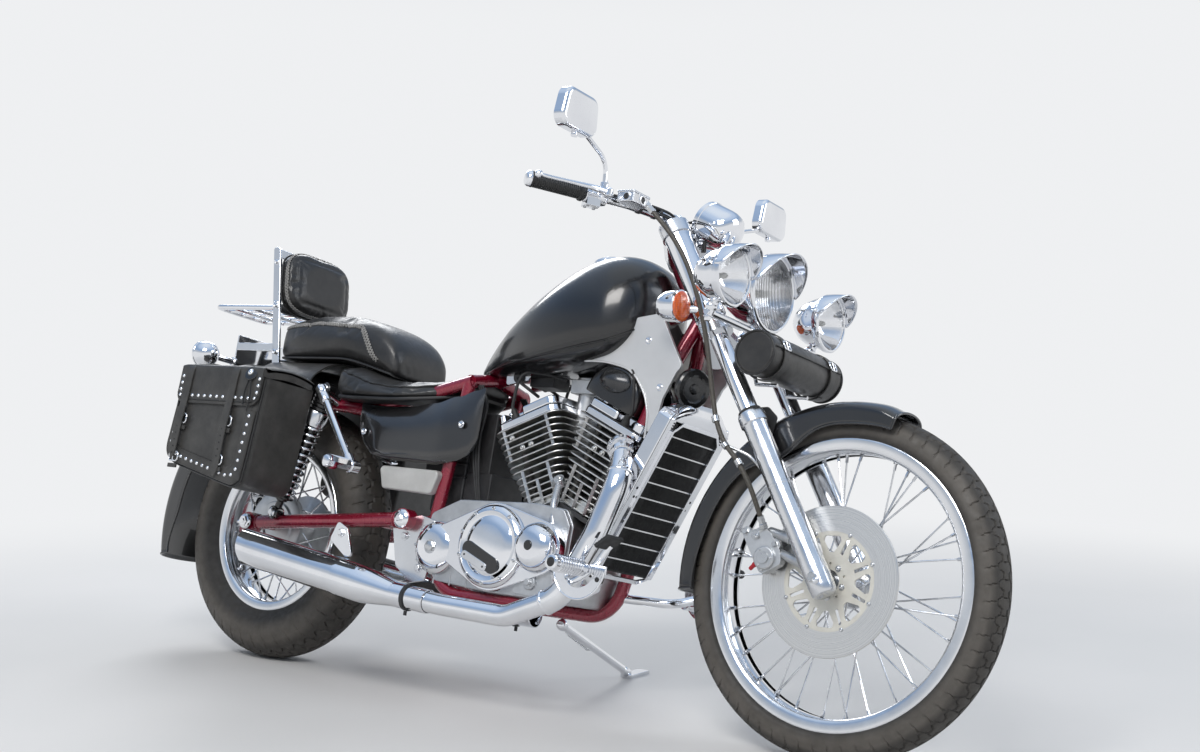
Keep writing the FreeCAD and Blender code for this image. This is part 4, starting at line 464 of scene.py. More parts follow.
def floor():
    """A wide floor that fades into the backdrop away from the object."""
    me = bpy.data.meshes.new("floor")
    s = 40.0
    me.from_pydata([(-s, -s, 0), (s, -s, 0), (s, s, 0), (-s, s, 0)], [], [(0, 1, 2, 3)])
    ob = bpy.data.objects.new("floor", me)
    bpy.context.scene.collection.objects.link(ob)
    mat, nt, bsdf, co = nodes_of("floor")
    tone = ramp(nt, noise_node(nt, co, 1.2), (0.66, 0.665, 0.67), (0.70, 0.70, 0.705))
    set_inputs(nt, bsdf, {"Base Color": tone, "Roughness": 0.62})
    far = add_node(nt, "VectorMath", {0: co}, operation="LENGTH").outputs["Value"]
    fade = add_node(nt, "MapRange", {"From Min": 1.3, "From Max": 3.6, "Value": far},
                    interpolation_type="SMOOTHSTEP").outputs["Result"]
    share = add_node(nt, "Math", {0: fade, 1: seen_ray(nt)}, operation="MULTIPLY").outputs[0]
    glow = add_node(nt, "Emission", {"Color": (*BACKDROP, 1.0)}).outputs[0]
    mix = add_node(nt, "MixShader", {"Fac": share, 1: bsdf.outputs[0], 2: glow}).outputs[0]
    set_inputs(nt, nt.nodes["Material Output"], {"Surface": mix})
    me.materials.append(mat)


def area(name, at, to, size, power, colour=(1, 1, 1)):
    data = bpy.data.lights.new(name, "AREA")
    data.shape = "RECTANGLE"
    data.size, data.size_y = size
    data.energy = power
    data.color = colour
    ob = bpy.data.objects.new(name, data)
    ob.location = at
    ob.rotation_euler = (Vector(to) - Vector(at)).to_track_quat("-Z", "Y").to_euler()
    bpy.context.scene.collection.objects.link(ob)


def lights():
    area("key", (1.2, -3.4, 4.2), (0.0, 0.0, 0.4), (2.6, 1.8), 150.0, (1.0, 0.97, 0.93))
    area("fill", (3.6, 1.8, 2.4), (0.2, 0.0, 0.6), (2.0, 2.0), 40.0, (0.93, 0.96, 1.0))
    area("rim", (-3.0, 2.2, 3.0), (0.0, 0.0, 0.6), (2.4, 1.4), 70.0)
    world = bpy.data.worlds.new("world")
    world.use_nodes = True
    bpy.context.scene.world = world
    nt = world.node_tree
    way = add_node(nt, "SeparateXYZ", {0: add_node(nt, "TexCoord", {}).outputs["Generated"]}).outputs["Z"]
    height = add_node(nt, "Math", {0: way, 1: 0.5, 2: 0.5}, operation="MULTIPLY_ADD").outputs[0]
    light = ((0.0, (0.16, 0.165, 0.17)), (0.46, (0.10, 0.105, 0.11)), (0.52, (0.34, 0.36, 0.39)),
             (0.62, (0.62, 0.68, 0.78)), (1.0, (0.95, 0.98, 1.0)))
    shown = ((0.0, BACKDROP), (0.58, BACKDROP), (0.66, (0.50, 0.55, 0.62)), (0.76, (0.30, 0.42, 0.62)),
             (0.90, (0.55, 0.68, 0.88)), (1.0, (0.80, 0.88, 0.98)))
    dim = nt.nodes["Background"]
    set_inputs(nt, dim, {"Color": colour_stops(nt, height, light), "Strength": 0.55})
    sky = add_node(nt, "Background", {"Color": colour_stops(nt, height, shown, "EASE"), "Strength": 1.0})
    mix = add_node(nt, "MixShader", {"Fac": seen_ray(nt), 1: dim.outputs[0], 2: sky.outputs[0]}).outputs[0]
    set_inputs(nt, nt.nodes["World Output"], {"Surface": mix})


bpy.context.scene.view_settings.view_transform = "Standard"
look()
floor()
lights()

for node, mat in {"frame": RED_PAINT, "neck_cover": SILVER_PAINT, "fuel_tank": BLACK_PAINT,
                  "rider_seat": PLASTIC, "passenger_seat": PLASTIC, "backrest_pad": PLASTIC,
                  "sissy_bar": CHROME, "rear_fender": FENDER_PAINT, "side_covers": BLACK_PAINT,
                  "crankcase": ALLOY_CAST, "engine_covers": CHROME, "rear_cylinder": ALLOY_CAST,
                  "front_cylinder": ALLOY_CAST, "exhaust": CHROME, "radiator": BLACK_CAST,
                  "radiator_cover": CHROME, "swingarm": RED_PAINT, "shocks": CHROME, "tail_lamp": PLASTIC,
                  "rear_signals": CHROME, "saddlebag_right": PLASTIC, "saddlebag_left": PLASTIC,
                  "bag_yoke": PLASTIC, "foot_controls": CHROME, "triple_clamps": ALLOY,
                  "fork_tubes": CHROME, "fork_sliders": ALLOY, "front_fender": FENDER_PAINT,
                  "handlebar": CHROME, "grips": RUBBER, "hand_controls": ALLOY, "mirrors": CHROME,
                  "headlamp": CHROME, "spot_lamps": CHROME, "front_signals": CHROME, "speedometer": CHROME,
                  "tool_roll": PLASTIC, "brake_caliper": ALLOY_CAST, "brake_hose": RUBBER,
                  "front_tyre": RUBBER, "front_wheel": ALLOY, "brake_disc": STEEL, "rear_tyre": RUBBER,
                  "rear_wheel": ALLOY, "side_stand": CHROME, "lid_right": PLASTIC,
                  "lid_left": PLASTIC}.items():
    ob = frame["nodes"][node]
    ob.data.materials.clear()
    ob.data.materials.append(mat)

# Wheels
def tread_cut(turn, s, pitch, lanes):
    """Depth of the tread at a share of the turn and a share s across the crown (-1..1)."""
    cut = 0.0
    for lane, width, wave, amount in lanes:
        tooth = abs(((turn * wave) % 1.0) * 2.0 - 1.0)
        centre = lane + amount * (smooth_tooth(tooth) - 0.5) * (1.0 if lane >= 0 else -1.0)
        if abs(s - centre) < width:
            cut = 1.0
    side = abs(s)
    if 0.56 < side < 1.0:
        phase = (turn * pitch + (0.5 if s > 0 else 0.0) + 0.30 * (side - 0.42)) % 1.0
        if phase < 0.10:
            cut = max(cut, min(1.0, (1.0 - side) * 6.0 + 0.25))
    if 0.16 < side < 0.30 and (turn * pitch + (0.25 if s > 0 else 0.75)) % 1.0 < 0.07:
        cut = max(cut, 0.7)
    return cut


def smooth_tooth(t):
    """A zigzag with flat tops, so that the grooves step like those of a road tyre."""
    return max(0.0, min(1.0, (t - 0.32) / 0.36))


CROWN = 74.0
TREAD_DEPTH = 4.2


def tyre(name, node, centre, radius, half, bead, body, pitch, lanes, turns=900, wall_in=0.30):
    """A tyre with its crown cut by the tread; lanes are grooves of (place, width, waves, swing)."""
    profile = []
    for k in range(63):
        s = -1.0 + 2.0 * k / 62
        a = s * radians(CROWN)
        profile.append((radius - half + half * cos(a), half * sin(a), s))
    low = []
    for k in range(1, 6):
        a = radians(CROWN + 10.0 * k)
        pinch = k / 5.0
        low.append((radius - half + half * (cos(a) + wall_in * pinch ** 2),
                    half * (sin(a) - 0.06 * pinch ** 2), None))
    last = low[-1]
    for k in range(1, 4):
        t = k / 3.0
        low.append((last[0] + (bead - last[0]) * t, last[1] - t * half * 0.10, None))
    inner = [(r, -y, s) for r, y, s in reversed(low)]
    profile = inner + profile + low
    c = Vector(centre)
    verts, faces, n = [], [], len(profile)
    for i in range(turns):
        t = i / turns
        a = tau * t
        for r, y, s in profile:
            rr = r
            if s is not None:
                rr -= TREAD_DEPTH * tread_cut(t, s, pitch, lanes)
            verts.append(c + V(rr * cos(a), y, rr * sin(a)))
    for i in range(turns):
        j = (i + 1) % turns
        faces += [(i * n + k, i * n + k + 1, j * n + k + 1, j * n + k) for k in range(n - 1)]
    piece(name, [(verts, faces)], tyre_mat(name, centre, radius, half), body, node, slot="tyre", angle=38)


def tyre_mat(name, centre, radius, half):
    """Rubber with a dusty, worn crown, a browner wall and fine mould rings."""
    mat, nt, bsdf, co = nodes_of(name)
    middle = Matrix.Rotation(LEAN, 3, "X") @ (TO @ Vector(centre))
    upright = add_node(nt, "Mapping", {"Rotation": (LEAN, 0, 0), "Vector": co}).outputs[0]
    moved = add_node(nt, "Mapping", {"Location": tuple(-middle), "Vector": upright}).outputs[0]
    apart = add_node(nt, "SeparateXYZ", {0: moved}).outputs
    flat = add_node(nt, "CombineXYZ", {0: apart["X"], 2: apart["Z"]}).outputs[0]
    dist = add_node(nt, "VectorMath", {0: flat}, operation="LENGTH").outputs["Value"]
    span = {"From Min": (radius - half * 1.25) * 0.001, "From Max": radius * 0.001, "Value": dist}
    stops = ((0.0, 0.030), (0.30, 0.085), (0.60, 0.095), (0.78, 0.040), (1.0, 0.050))
    tone = colour_stops(nt, add_node(nt, "MapRange", span).outputs["Result"],
                        [(place, (c * 1.08, c, c * 0.91)) for place, c in stops])
    dirt = ramp(nt, noise_node(nt, co, 26, 5.0, 0.65), (0.72, 0.70, 0.67), (1.15, 1.12, 1.08), 0.3, 0.75)
    mix = add_node(nt, "Mix", {}, data_type="RGBA", blend_type="MULTIPLY")
    set_inputs(nt, mix, {"Factor": 1.0, "A": tone, "B": dirt})
    set_inputs(nt, bsdf, {"Base Color": mix.outputs["Result"],
                          "Roughness": ramp(nt, noise_node(nt, co, 70, 3.0), 0.52, 0.74)})
    wave = add_node(nt, "Math", {0: dist, 1: 900.0}, operation="MULTIPLY").outputs[0]
    sine = add_node(nt, "Math", {0: wave}, operation="SINE").outputs[0]
    rings = add_node(nt, "Math", {0: sine, 1: 0.93}, operation="GREATER_THAN").outputs[0]
    bump(nt, bsdf, [(noise_node(nt, co, 700, 3.0), 0.25, 0.0002), (rings, 0.25, 0.0004)])
    return mat


RIM = surface("rim_polished", (0.70, 0.71, 0.73), (0.80, 0.81, 0.83), 10, (0.10, 0.20), 40, 1.0,
              grain=(("noise", 50, 0.04, 0.0004), ("noise", 1500, 0.04, 0.00004)))
SPOKE = surface("spoke", (0.60, 0.61, 0.63), (0.76, 0.77, 0.79), 30, (0.16, 0.28), 60, 1.0,
                grain=(("noise", 600, 0.1, 0.0001),))


def rim_piece(name, centre, flange, bead, inner, half, body, node):
    """A drop-centre rim with rolled lips."""
    profile = [(flange, half), (flange + 1.5, half - 1.4), (flange, half - 4.0), (bead - 0.5, half - 4.4),
               (bead - 1.5, half - 14.0), (bead - 9.0, half - 21.0), (bead - 9.0, 21.0 - half),
               (bead - 1.5, 14.0 - half), (bead - 0.5, 4.4 - half), (flange, 4.0 - half),
               (flange + 1.5, 1.4 - half), (flange, -half), (flange - 4.0, 0.4 - half),
               (bead - 6.5, 3.0 - half), (bead - 8.5, 12.0 - half), (bead - 13.0, 18.0 - half),
               (inner, 23.0 - half), (inner - 0.6, 0.0), (inner, half - 23.0), (bead - 13.0, half - 18.0),
               (bead - 8.5, half - 12.0), (bead - 6.5, half - 3.0), (flange - 4.0, half - 0.4),
               (flange, half)]
    return piece(name, [lathe(profile, centre, Y, 160)], RIM, body, node, angle=50)


def spoke_set(name, centre, count, hub_r, hub_y, rim_r, rim_y, cross, body, wire=1.9, phase=0.0):
    """Crossed pairs of wire spokes with nipples at the rim."""
    parts = []
    c = Vector(centre)
    step = 360.0 / count
    for side in SIDES:
        for i in range(count):
            lead = cross if i % 2 else -cross
            skew = (step * 0.28) * (1 if i % 2 else -1)
            at_hub = radians(phase + step * i + side * step / 4.0 - skew)
            at_rim = at_hub + radians(lead)
            tuck = side * (hub_y + (2.6 if i % 2 else -2.6))
            a = c + V(hub_r * cos(at_hub), tuck, hub_r * sin(at_hub))
            b = c + V(rim_r * cos(at_rim), side * rim_y, rim_r * sin(at_rim))
            d = (b - a).normalized()
            parts += [rod(a, b, wire, segs=8),
                      rod(b - d * 17.0, b - d * 3.0, wire * 1.75, wire * 1.75, segs=6, bevel=0.5),
                      rod(b - d * 5.0, b + d * 2.0, wire * 2.4, wire * 2.4, segs=8)]
    return piece(name, parts, SPOKE, body, angle=35, weld=False)


LANES = ((0.0, 0.034, 64, 0.13), (-0.42, 0.034, 64, 0.16), (0.42, 0.034, 64, 0.16))
tyre("front_tyre_tread", "front_tyre", FRONT_AXLE, 340, 44, 273, "front_wheel", 64, LANES)
rim_piece("front_rim", FRONT_AXLE, 281, 272, 258, 31, "front_wheel", "front_wheel")
spoke_set("front_spokes", FRONT_AXLE, 20, 37, 35, 260, 7, 56, "front_wheel")
hub = [lathe([(10.2, -53), (22, -53), (24, -50), (24, -44), (40, -40), (43, -38), (43, -32), (40, -30),
              (25, -26), (21, -12), (21, 12), (25, 26), (40, 30), (43, 32), (43, 38), (40, 40), (24, 44),
              (24, 50), (22, 53), (10.2, 53), (10.2, -53)], FRONT_AXLE, Y, 48)]
piece("front_hub", hub, ALLOY, "front_wheel", angle=30)
lips = []
for side in SIDES:
    lips.append(lathe([(286.0, 31.0), (287.2, 34.4), (285.6, 36.6), (281, 37.0), (268, 36.0), (262, 34.4),
                       (258.8, 31.0), (258.4, 26.0)], FRONT_AXLE, Y * side, 180))
piece("front_rim_lips", lips, RIM, "front_wheel", angle=50)
lips = []
for side in SIDES:
    lips.append(lathe([(205.6, 46.0), (206.2, 48.6), (204.6, 50.2), (201, 50.4), (191, 49.2), (186, 47.6),
                       (183.2, 44.5), (182.6, 40.0)], REAR_AXLE, Y * side, 160))
piece("rear_rim_lips", lips, RIM, "rear_wheel", angle=50)
tyre("rear_tyre_tread", "rear_tyre", REAR_AXLE, 316, 68, 199, "rear_wheel", 44,
     ((0.0, 0.03, 50, 0.10), (-0.40, 0.03, 50, 0.14), (0.40, 0.03, 50, 0.14)), 880, 0.10)
rim_piece("rear_rim", REAR_AXLE, 205, 198, 182, 46, "rear_wheel", "rear_wheel")
spoke_set("rear_spokes", REAR_AXLE, 20, 84, 50, 185, 9, 30, "rear_wheel", 2.0)
drum = [lathe([(10.2, -58), (30, -58), (34, -62), (60, -62), (64, -57), (84, -57), (90, -54), (92, -48),
               (92, -44), (70, -40), (52, -30), (48, 0), (52, 30), (70, 40), (92, 44), (92, 48), (90, 54),
               (84, 57), (30, 58), (10.2, 58), (10.2, -58)], REAR_AXLE, Y, 72)]
piece("rear_hub", drum, ALLOY_CAST, "rear_wheel", angle=30)


# Brake disc
def disc_mat():
    """A brake face with fine turned rings."""
    mat, nt, bsdf, co = nodes_of("disc_face")
    off = add_node(nt, "VectorMath", {0: co, 1: TO @ FRONT_AXLE}, operation="DISTANCE").outputs["Value"]
    lines = nt.nodes.new("ShaderNodeTexNoise")
    lines.noise_dimensions = "1D"
    set_inputs(nt, lines, {"Scale": 900.0, "Detail": 6.0, "W": off})
    lines = lines.outputs["Fac"]
    set_inputs(nt, bsdf, {"Base Color": ramp(nt, lines, (0.55, 0.55, 0.54), (0.78, 0.77, 0.75)),
                          "Roughness": ramp(nt, lines, 0.24, 0.42), "Metallic": 1.0})
    bump(nt, bsdf, [(lines, 0.35, 0.0003)])
    return mat


DISC = disc_mat()
CARRIER = surface("disc_carrier", (0.62, 0.60, 0.54), (0.72, 0.70, 0.63), 30, (0.38, 0.5), 50, 0.35,
                  grain=(("noise", 700, 0.15, 0.0002),))
ringpart = [lathe([(97, -2.5), (146, -2.5), (147, -1.7), (147, 1.7), (146, 2.5), (97, 2.5), (97, -2.5)],
                  FRONT_AXLE + Y * -62, Y, 128)]
piece("disc_ring", ringpart, DISC, "front_wheel", "brake_disc", angle=30)


def holed_plate(outer, inner, holes, y0, y1, centre):
    """A round plate with cut outlines, triangulated and raised."""
    bm = bmesh.new()
    loops = []
    for loop in [outer, inner] + holes:
        vs = [bm.verts.new((x, 0.0, z)) for x, z in loop]
        loops.append([bm.edges.new((vs[k], vs[(k + 1) % len(vs)])) for k in range(len(vs))])
    bmesh.ops.triangle_fill(bm, edges=[e for l in loops for e in l], use_beauty=True)
    geom = bmesh.ops.extrude_face_region(bm, geom=list(bm.faces))
    for v in geom["geom"]:
        if isinstance(v, bmesh.types.BMVert):
            v.co.y += y1 - y0
    bm.verts.ensure_lookup_table()
    bm.verts.index_update()
    c = Vector(centre)
    verts = [c + V(v.co.x, v.co.y + y0, v.co.z) for v in bm.verts]
    faces = [tuple(v.index for v in f.verts) for f in bm.faces]
    bm.free()
    return verts, faces


def rounded(corners, r, n=4):
    """A polygon with its corners rounded."""
    out = []
    m = len(corners)
    for i in range(m):
        p, a, b = Vector(corners[i]), Vector(corners[i - 1]), Vector(corners[(i + 1) % m])
        u, v = (a - p).normalized(), (b - p).normalized()
        half = u.angle(v) / 2.0
        reach = min(r / tan(half), 0.45 * (a - p).length, 0.45 * (b - p).length)
        rad = reach * tan(half)
        mid = p + (u + v).normalized() * (rad / sin(half))
        s, e = p + u * reach - mid, p + v * reach - mid
        for k in range(n + 1):
            t = k / n
            d = s.lerp(e, t)
            out.append(tuple(mid + d.normalized() * rad))
    return out


cuts = []
for k in range(8):
    a = radians(45.0 * k + 2.0)
    ca, sa = cos(a), sin(a)
    shape = [(56, -5), (78, -19), (88, -17), (88, 17), (78, 19), (56, 5)]
    cuts.append(rounded([(x * ca - z * sa, x * sa + z * ca) for x, z in shape], 5.0))
    a += radians(22.5)
    ca, sa = cos(a), sin(a)
    shape = [(56, -3.4), (88, -3.4), (88, 3.4), (56, 3.4)]
    cuts.append(rounded([(x * ca - z * sa, x * sa + z * ca) for x, z in shape], 2.4, 3))
for k in range(5):
    a = radians(72 * k + 20)
    cuts.append(circle(2.6, 12, 34 * cos(a), 34 * sin(a)))
piece("disc_carrier", [holed_plate(circle(97.5, 96), circle(22, 40), cuts, -64.2, -60.2, FRONT_AXLE)],
      CARRIER, "front_wheel", bevel=0.6)
piece("disc_boss", [lathe([(22, -60.2), (38, -60.2), (38, -53), (22, -53), (22, -60.2)], FRONT_AXLE, Y,
                          48)], CARRIER, "front_wheel", bevel=0.4)
pins = bolt_ring(FRONT_AXLE - Y * 64.4, 97, 8, 24.5, -Y, 3.4, 2.4, True)
pins += bolt_ring(FRONT_AXLE - Y * 64.4, 31, 5, 56, -Y, 4.6, 4.4, True)
piece("disc_bolts", pins, STEEL, "front_wheel")


# Fork and front fender
def on_leg(d, y):
    return FRONT_AXLE + STEER_UP * d + V(0, y, 0)


def on_steer(d):
    return STEER_POINT + STEER_UP * d


def on_fork(x, y, z):
    return FRONT_AXLE + V(x, y, z)


legs, covers, tubes, black = [], [], [], []
for side in SIDES:
    y = FORK_Y * side
    legs.append(lathe([(0, -36), (17, -36), (22, -34), (25, -29), (26.2, -16), (26.2, 22), (25.2, 60),
                       (24.6, 200), (24.6, 338), (25.6, 343), (28.2, 345), (28.2, 364), (26.5, 369),
                       (22, 372), (19.8, 372)], on_leg(0, y), STEER_UP, 48))
    tubes.append(lathe([(19.5, 312), (19.5, 574), (21, 575), (21, 579)], on_leg(0, y), STEER_UP, 40))
    covers += [lathe([(25, 588), (29.2, 590), (30, 594), (29.2, 598), (28.2, 602), (28.2, 798), (29.4, 803),
                      (30, 808), (27, 811)], on_leg(0, y), STEER_UP, 48),
               lathe([(0, 853), (13, 853), (15, 850), (15, 846), (24, 845), (25, 841), (25, 838)],
                     on_leg(0, y), STEER_UP, 36)]
    black.append(lathe([(19.6, 377), (23.5, 376), (24.5, 373), (24.5, 371), (22, 369)], on_leg(0, y),
                       STEER_UP, 36))
    pinch = on_leg(-8, y) + STEER_AHEAD * 4
    legs += [rod(pinch + Y * side * 20, pinch + Y * side * 27.5, 7.5, segs=20, bevel=1.0),
             lathe([(24.5, 200), (25.3, 201), (25.3, 206), (24.5, 207)], on_leg(0, y), STEER_UP, 40)]
axle = [rod(FRONT_AXLE - Y * 134, FRONT_AXLE + Y * 134, 10, segs=24, bevel=1.5)]
for side in SIDES:
    axle.append(rod(FRONT_AXLE + Y * side * 53.5, FRONT_AXLE + Y * side * 81, 14.5, segs=28, bevel=1.0))
axle.append(hexbolt(FRONT_AXLE + Y * 128, Y, 13, 9))
piece("fork_legs", legs, ALLOY, "fork", "fork_sliders", angle=35)
piece("fork_axle", axle, STEEL, "fork", angle=35)
piece("fork_chrome_tubes", tubes + covers, CHROME, "fork", "fork_tubes", angle=35)
piece("fork_seals", black, RUBBER, "fork", angle=40)
bolts = []
for side in SIDES:
    y = FORK_Y * side
    at = on_leg(-8, y) + STEER_AHEAD * 4 + Y * side * 27.5
    bolts.append(hexbolt(at, Y * side, 4.6, 3.2, True))
    for d in (568, 582, 833):
        at = on_leg(d, y) - STEER_AHEAD * 12 + Y * side * 28
        bolts.append(hexbolt(at, Y * side, 5.5, 7))
    bolts.append(hexbolt(on_leg(362, 0) + V(0, side * 77.6, 0) + V(0, -side * 1.5, 0), -Y * side, 5, 4))
bolts.append(lathe([(0, 18), (15, 18), (17, 16), (17, 0), (22, 0), (22, -3)], on_steer(841), STEER_UP, 6))
piece("fork_bolts", bolts, CHROME, "fork", angle=35)


def guard(centre, radius, half, crown, start, end, depth, tip=None, n=90, m=26):
    """A fender: a crowned section swept round the axle, with skirts whose depth follows the angle."""
    c = Vector(centre)
    rings = []
    for i in range(n + 1):
        deg = start + (end - start) * i / n
        a = radians(deg)
        out = V(cos(a), 0, sin(a))
        drop = depth(deg)
        wide, flat = (1.0, 0.0) if tip is None else tip(deg)
        line = []
        for k in range(5):
            line.append((-half * wide, radius - crown - drop * (1 - k / 5.0)))
        for k in range(m + 1):
            phi = radians(-90 + 180 * k / m)
            line.append((half * wide * sin(phi), radius - crown * (1 - cos(phi)) - flat))
        for k in range(1, 6):
            line.append((half * wide, radius - crown - drop * k / 5.0))
        rings.append([c + out * r + V(0, yy, 0) for yy, r in line])
    q = len(rings[0])
    verts = [p for line in rings for p in line]
    faces = [(i * q + k, i * q + k + 1, (i + 1) * q + k + 1, (i + 1) * q + k) for i in range(n)
             for k in range(q - 1)]
    edges = [line[0] for line in rings], [line[-1] for line in rings]
    return (verts, faces), (*edges, rings[0], rings[-1])


def smooth_step(x, a, b):
    t = max(0.0, min(1.0, (x - a) / (b - a)))
    return t * t * (3 - 2 * t)


def front_depth(deg):
    bulge = 34.0 * exp(-((deg - 121.0) / 13.0) ** 2)
    return 25.0 + 5.0 * smooth_step(deg, 74, 92) + bulge - 8.0 * smooth_step(deg, 165, 188)


def front_tip(deg):
    near = 1.0 - smooth_step(deg, 74, 84)
    return 1.0 - 0.04 * near * near, 6.0 * near * near


shell, edges = guard(FRONT_AXLE, 362.0, 58.0, 22.0, 74.0, 188.0, front_depth, front_tip)
piece("front_fender_shell", [shell], FENDER_PAINT, "fork", "front_fender", solid=2.4, angle=60)
trim = [sweep(line, ring(2.6, 8)) for line in edges]
piece("front_fender_bead", trim, FENDER_PAINT, "fork", angle=60)
stays = []
for side in SIDES:
    at = on_leg(362, 0) + Y * side * 60
    stays += [prism(rounded([(-30, -26), (26, -30), (34, 10), (10, 30), (-34, 26)], 8), Y * side * 4, at),
              rod(at + Y * side * 3, on_leg(362, side * 81.5), 12, segs=20, bevel=1.0)]
    low = on_leg(300, side * 66) - STEER_AHEAD * 8
    stays.append(sweep([at + STEER_UP * -22 + V(6, side * 2, 0), low], ring(9, 4, 4)))
piece("fender_stays", stays, PLASTIC, "fork", bevel=0.8)

# Brake caliper and hose
cal = on_fork(-132.0, -70.0, 46.65)


def at_cal(a, y, b):
    """A place by the caliper: a ahead and b up on the fork's slant."""
    return cal + STEER_AHEAD * a + V(0, y, 0) + STEER_UP * b


body = []
outline = rounded([(-30, -42), (20, -44), (29, -20), (26, 20), (14, 44), (-22, 46), (-32, 22)], 10, 5)
body += [prism(outline, Y * -19, cal - Y * 7, STEER_AHEAD, STEER_UP),
         prism([(a * 0.9, b * 0.86) for a, b in outline], Y * 16, cal + Y * 13, STEER_AHEAD, STEER_UP),
         lathe([(0, 0), (21, 0), (23, -2), (23, -12), (20.5, -14), (0, -14)], at_cal(-7, -19, -17), Y, 40),
         prism(rounded([(-34, 20), (-16, 20), (-16, 62), (-34, 62)], 5), Y * -10, cal - Y * 12, STEER_AHEAD,
               STEER_UP),
         prism(rounded([(12, -16), (34, -12), (34, 8), (12, 8)], 5), Y * -10, cal - Y * 14, STEER_AHEAD,
               STEER_UP),
         rod(at_cal(-20, -10, 50), at_cal(-20, 26, 50), 8, segs=20, bevel=1),
         rod(at_cal(-12, -20, -36), at_cal(-12, 20, -36), 8, segs=20, bevel=1),
         rod(on_leg(96, -104) - STEER_AHEAD * 20, at_cal(20, -12, 30), 11, 9, segs=20),
         rod(on_leg(40, -104) - STEER_AHEAD * 18, at_cal(22, -12, -20), 10, 9, segs=20)]
piece("caliper_body", body, ALLOY_CAST, "fork", "brake_caliper", bevel=1.6, segs=3, bevel_angle=30)
bits = [hexbolt(at_cal(-25, -22, 52), -Y, 6, 6), hexbolt(at_cal(24, -24, -3), -Y, 6, 6),
        hexbolt(at_cal(-4, -27, 30), -Y, 4.5, 4, True), hexbolt(at_cal(-22, -26, -34), -Y, 4, 4, True)]
for k in range(3):
    a = radians(90 + 120 * k)
    bits.append(hexbolt(at_cal(-7 + 17 * cos(a), -33, -17 + 17 * sin(a)), -Y, 1.8, 1.6, True))
bits.append(lathe([(0, 0), (10, 0), (11.5, -1.5), (11.5, -3), (0, -3)], at_cal(-7, -32.5, -17), Y, 28))
piece("caliper_bolts", bits, STEEL, "fork", angle=35)
RED_RUBBER = surface("bleed_cap", (0.36, 0.010, 0.02), (0.46, 0.015, 0.03), 60, (0.4, 0.5), 60,
                     grain=(("noise", 900, 0.1, 0.0001),))
nip = at_cal(-32, -14, -12)
piece("bleed_cap", [lathe([(0, 20), (3.4, 20), (4.2, 18), (4.2, 10), (5.2, 8), (5.2, 2), (3, 0)], nip,
                          -STEER_AHEAD - STEER_UP * 0.25, 16)], RED_RUBBER, "fork")

HOSE = ((-456.0, -212.0, 720.6), (-408.0, -196.0, 676.6), (-364.0, -182.0, 618.6), (-334.0, -168.0, 554.6),
        (-314.0, -156.0, 494.6), (-298.0, -147.0, 436.6), (-288.0, -138.0, 382.6), (-276.0, -132.0, 330.6),
        (-260.0, -132.0, 282.6), (-234.0, -133.0, 242.6), (-198.0, -133.0, 210.6), (-168.0, -127.0, 168.6),
        (-150.0, -112.0, 122.6), (-140.0, -94.0, 86.6))


def nurbs(name, points, radius, mat, body, node):
    """A hose on one smooth NURBS line with the given control points."""
    data = bpy.data.curves.new(name, "CURVE")
    data.dimensions = "3D"
    data.bevel_depth = radius * 0.001
    data.bevel_resolution = 4
    data.resolution_u = 10
    data.use_fill_caps = True
    sp = data.splines.new("NURBS")
    sp.points.add(len(points) - 1)
    for q, p in zip(sp.points, points):
        q.co = (*(TO @ Vector(p)), 1.0)
    sp.order_u = 3
    sp.use_endpoint_u = True
    ob = bpy.data.objects.new(name, data)
    bpy.context.scene.collection.objects.link(ob)
    data.materials.append(mat)
    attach(ob, body)
    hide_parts(node)


def braid_mat(name, lo, hi):
    """Braided sheath: a fine weave."""
    mat, nt, bsdf, co = nodes_of(name)
    weave = voronoi_node(nt, co, 620)
    set_inputs(nt, bsdf, {"Base Color": ramp(nt, weave, lo, hi, 0.2, 0.8),
                          "Roughness": ramp(nt, noise_node(nt, co, 200, 2.0), 0.4, 0.6)})
    bump(nt, bsdf, [(weave, 0.5, 0.0004)])
    return mat


HOSE_MAT = braid_mat("hose_sheath", (0.030, 0.026, 0.022), (0.10, 0.09, 0.075))
nurbs("brake_hose_line", [on_fork(*p) for p in HOSE], 5.0, HOSE_MAT, "fork", "brake_hose")


def along(points, t):
    """A point and direction at a share of a smooth path."""
    path = spline(points, 10)
    i = min(int(t * (len(path) - 1)), len(path) - 2)
    return path[i], (path[i + 1] - path[i]).normalized()


ends_ = [on_fork(*p) for p in HOSE]
fit = []
a, b = ends_[-1], ends_[-2]
d = (a - b).normalized()
fit += [lathe([(5.2, -26), (7.5, -25), (7.5, -10), (9, -9), (9, 0), (6, 2), (0, 2)], a, d, 6),
        rod(at_cal(-6, -30, 34), at_cal(-6, -10, 34), 9, segs=24, bevel=1),
        rod(a, at_cal(-6, -20, 34), 5.5, segs=16)]
a, b = ends_[0], ends_[1]
d = (a - b).normalized()
fit.append(lathe([(5.2, -24), (7.5, -23), (7.5, -9), (9, -8), (9, 2), (6, 4), (0, 4)], a, d, 6))
for t in (0.60, 0.78):
    p, d = along(ends_, t)
    fit.append(lathe([(5.4, -7), (8.0, -6), (8.0, 6), (5.4, 7)], p, d, 16))
piece("hose_fittings", fit, STEEL, "fork", angle=35)
p, d = along(ends_, 0.70)
clip = [tube([p + V(0, 2, 0), p.lerp(on_leg(250, -104), 0.5), on_leg(250, -104) - STEER_AHEAD * 22], 3.2, 8,
             4)]
clip.append(lathe([(5.4, -5), (7.2, -5), (7.2, 5), (5.4, 5)], p, d, 16))
piece("hose_clip", clip, STEEL, "fork", angle=35)


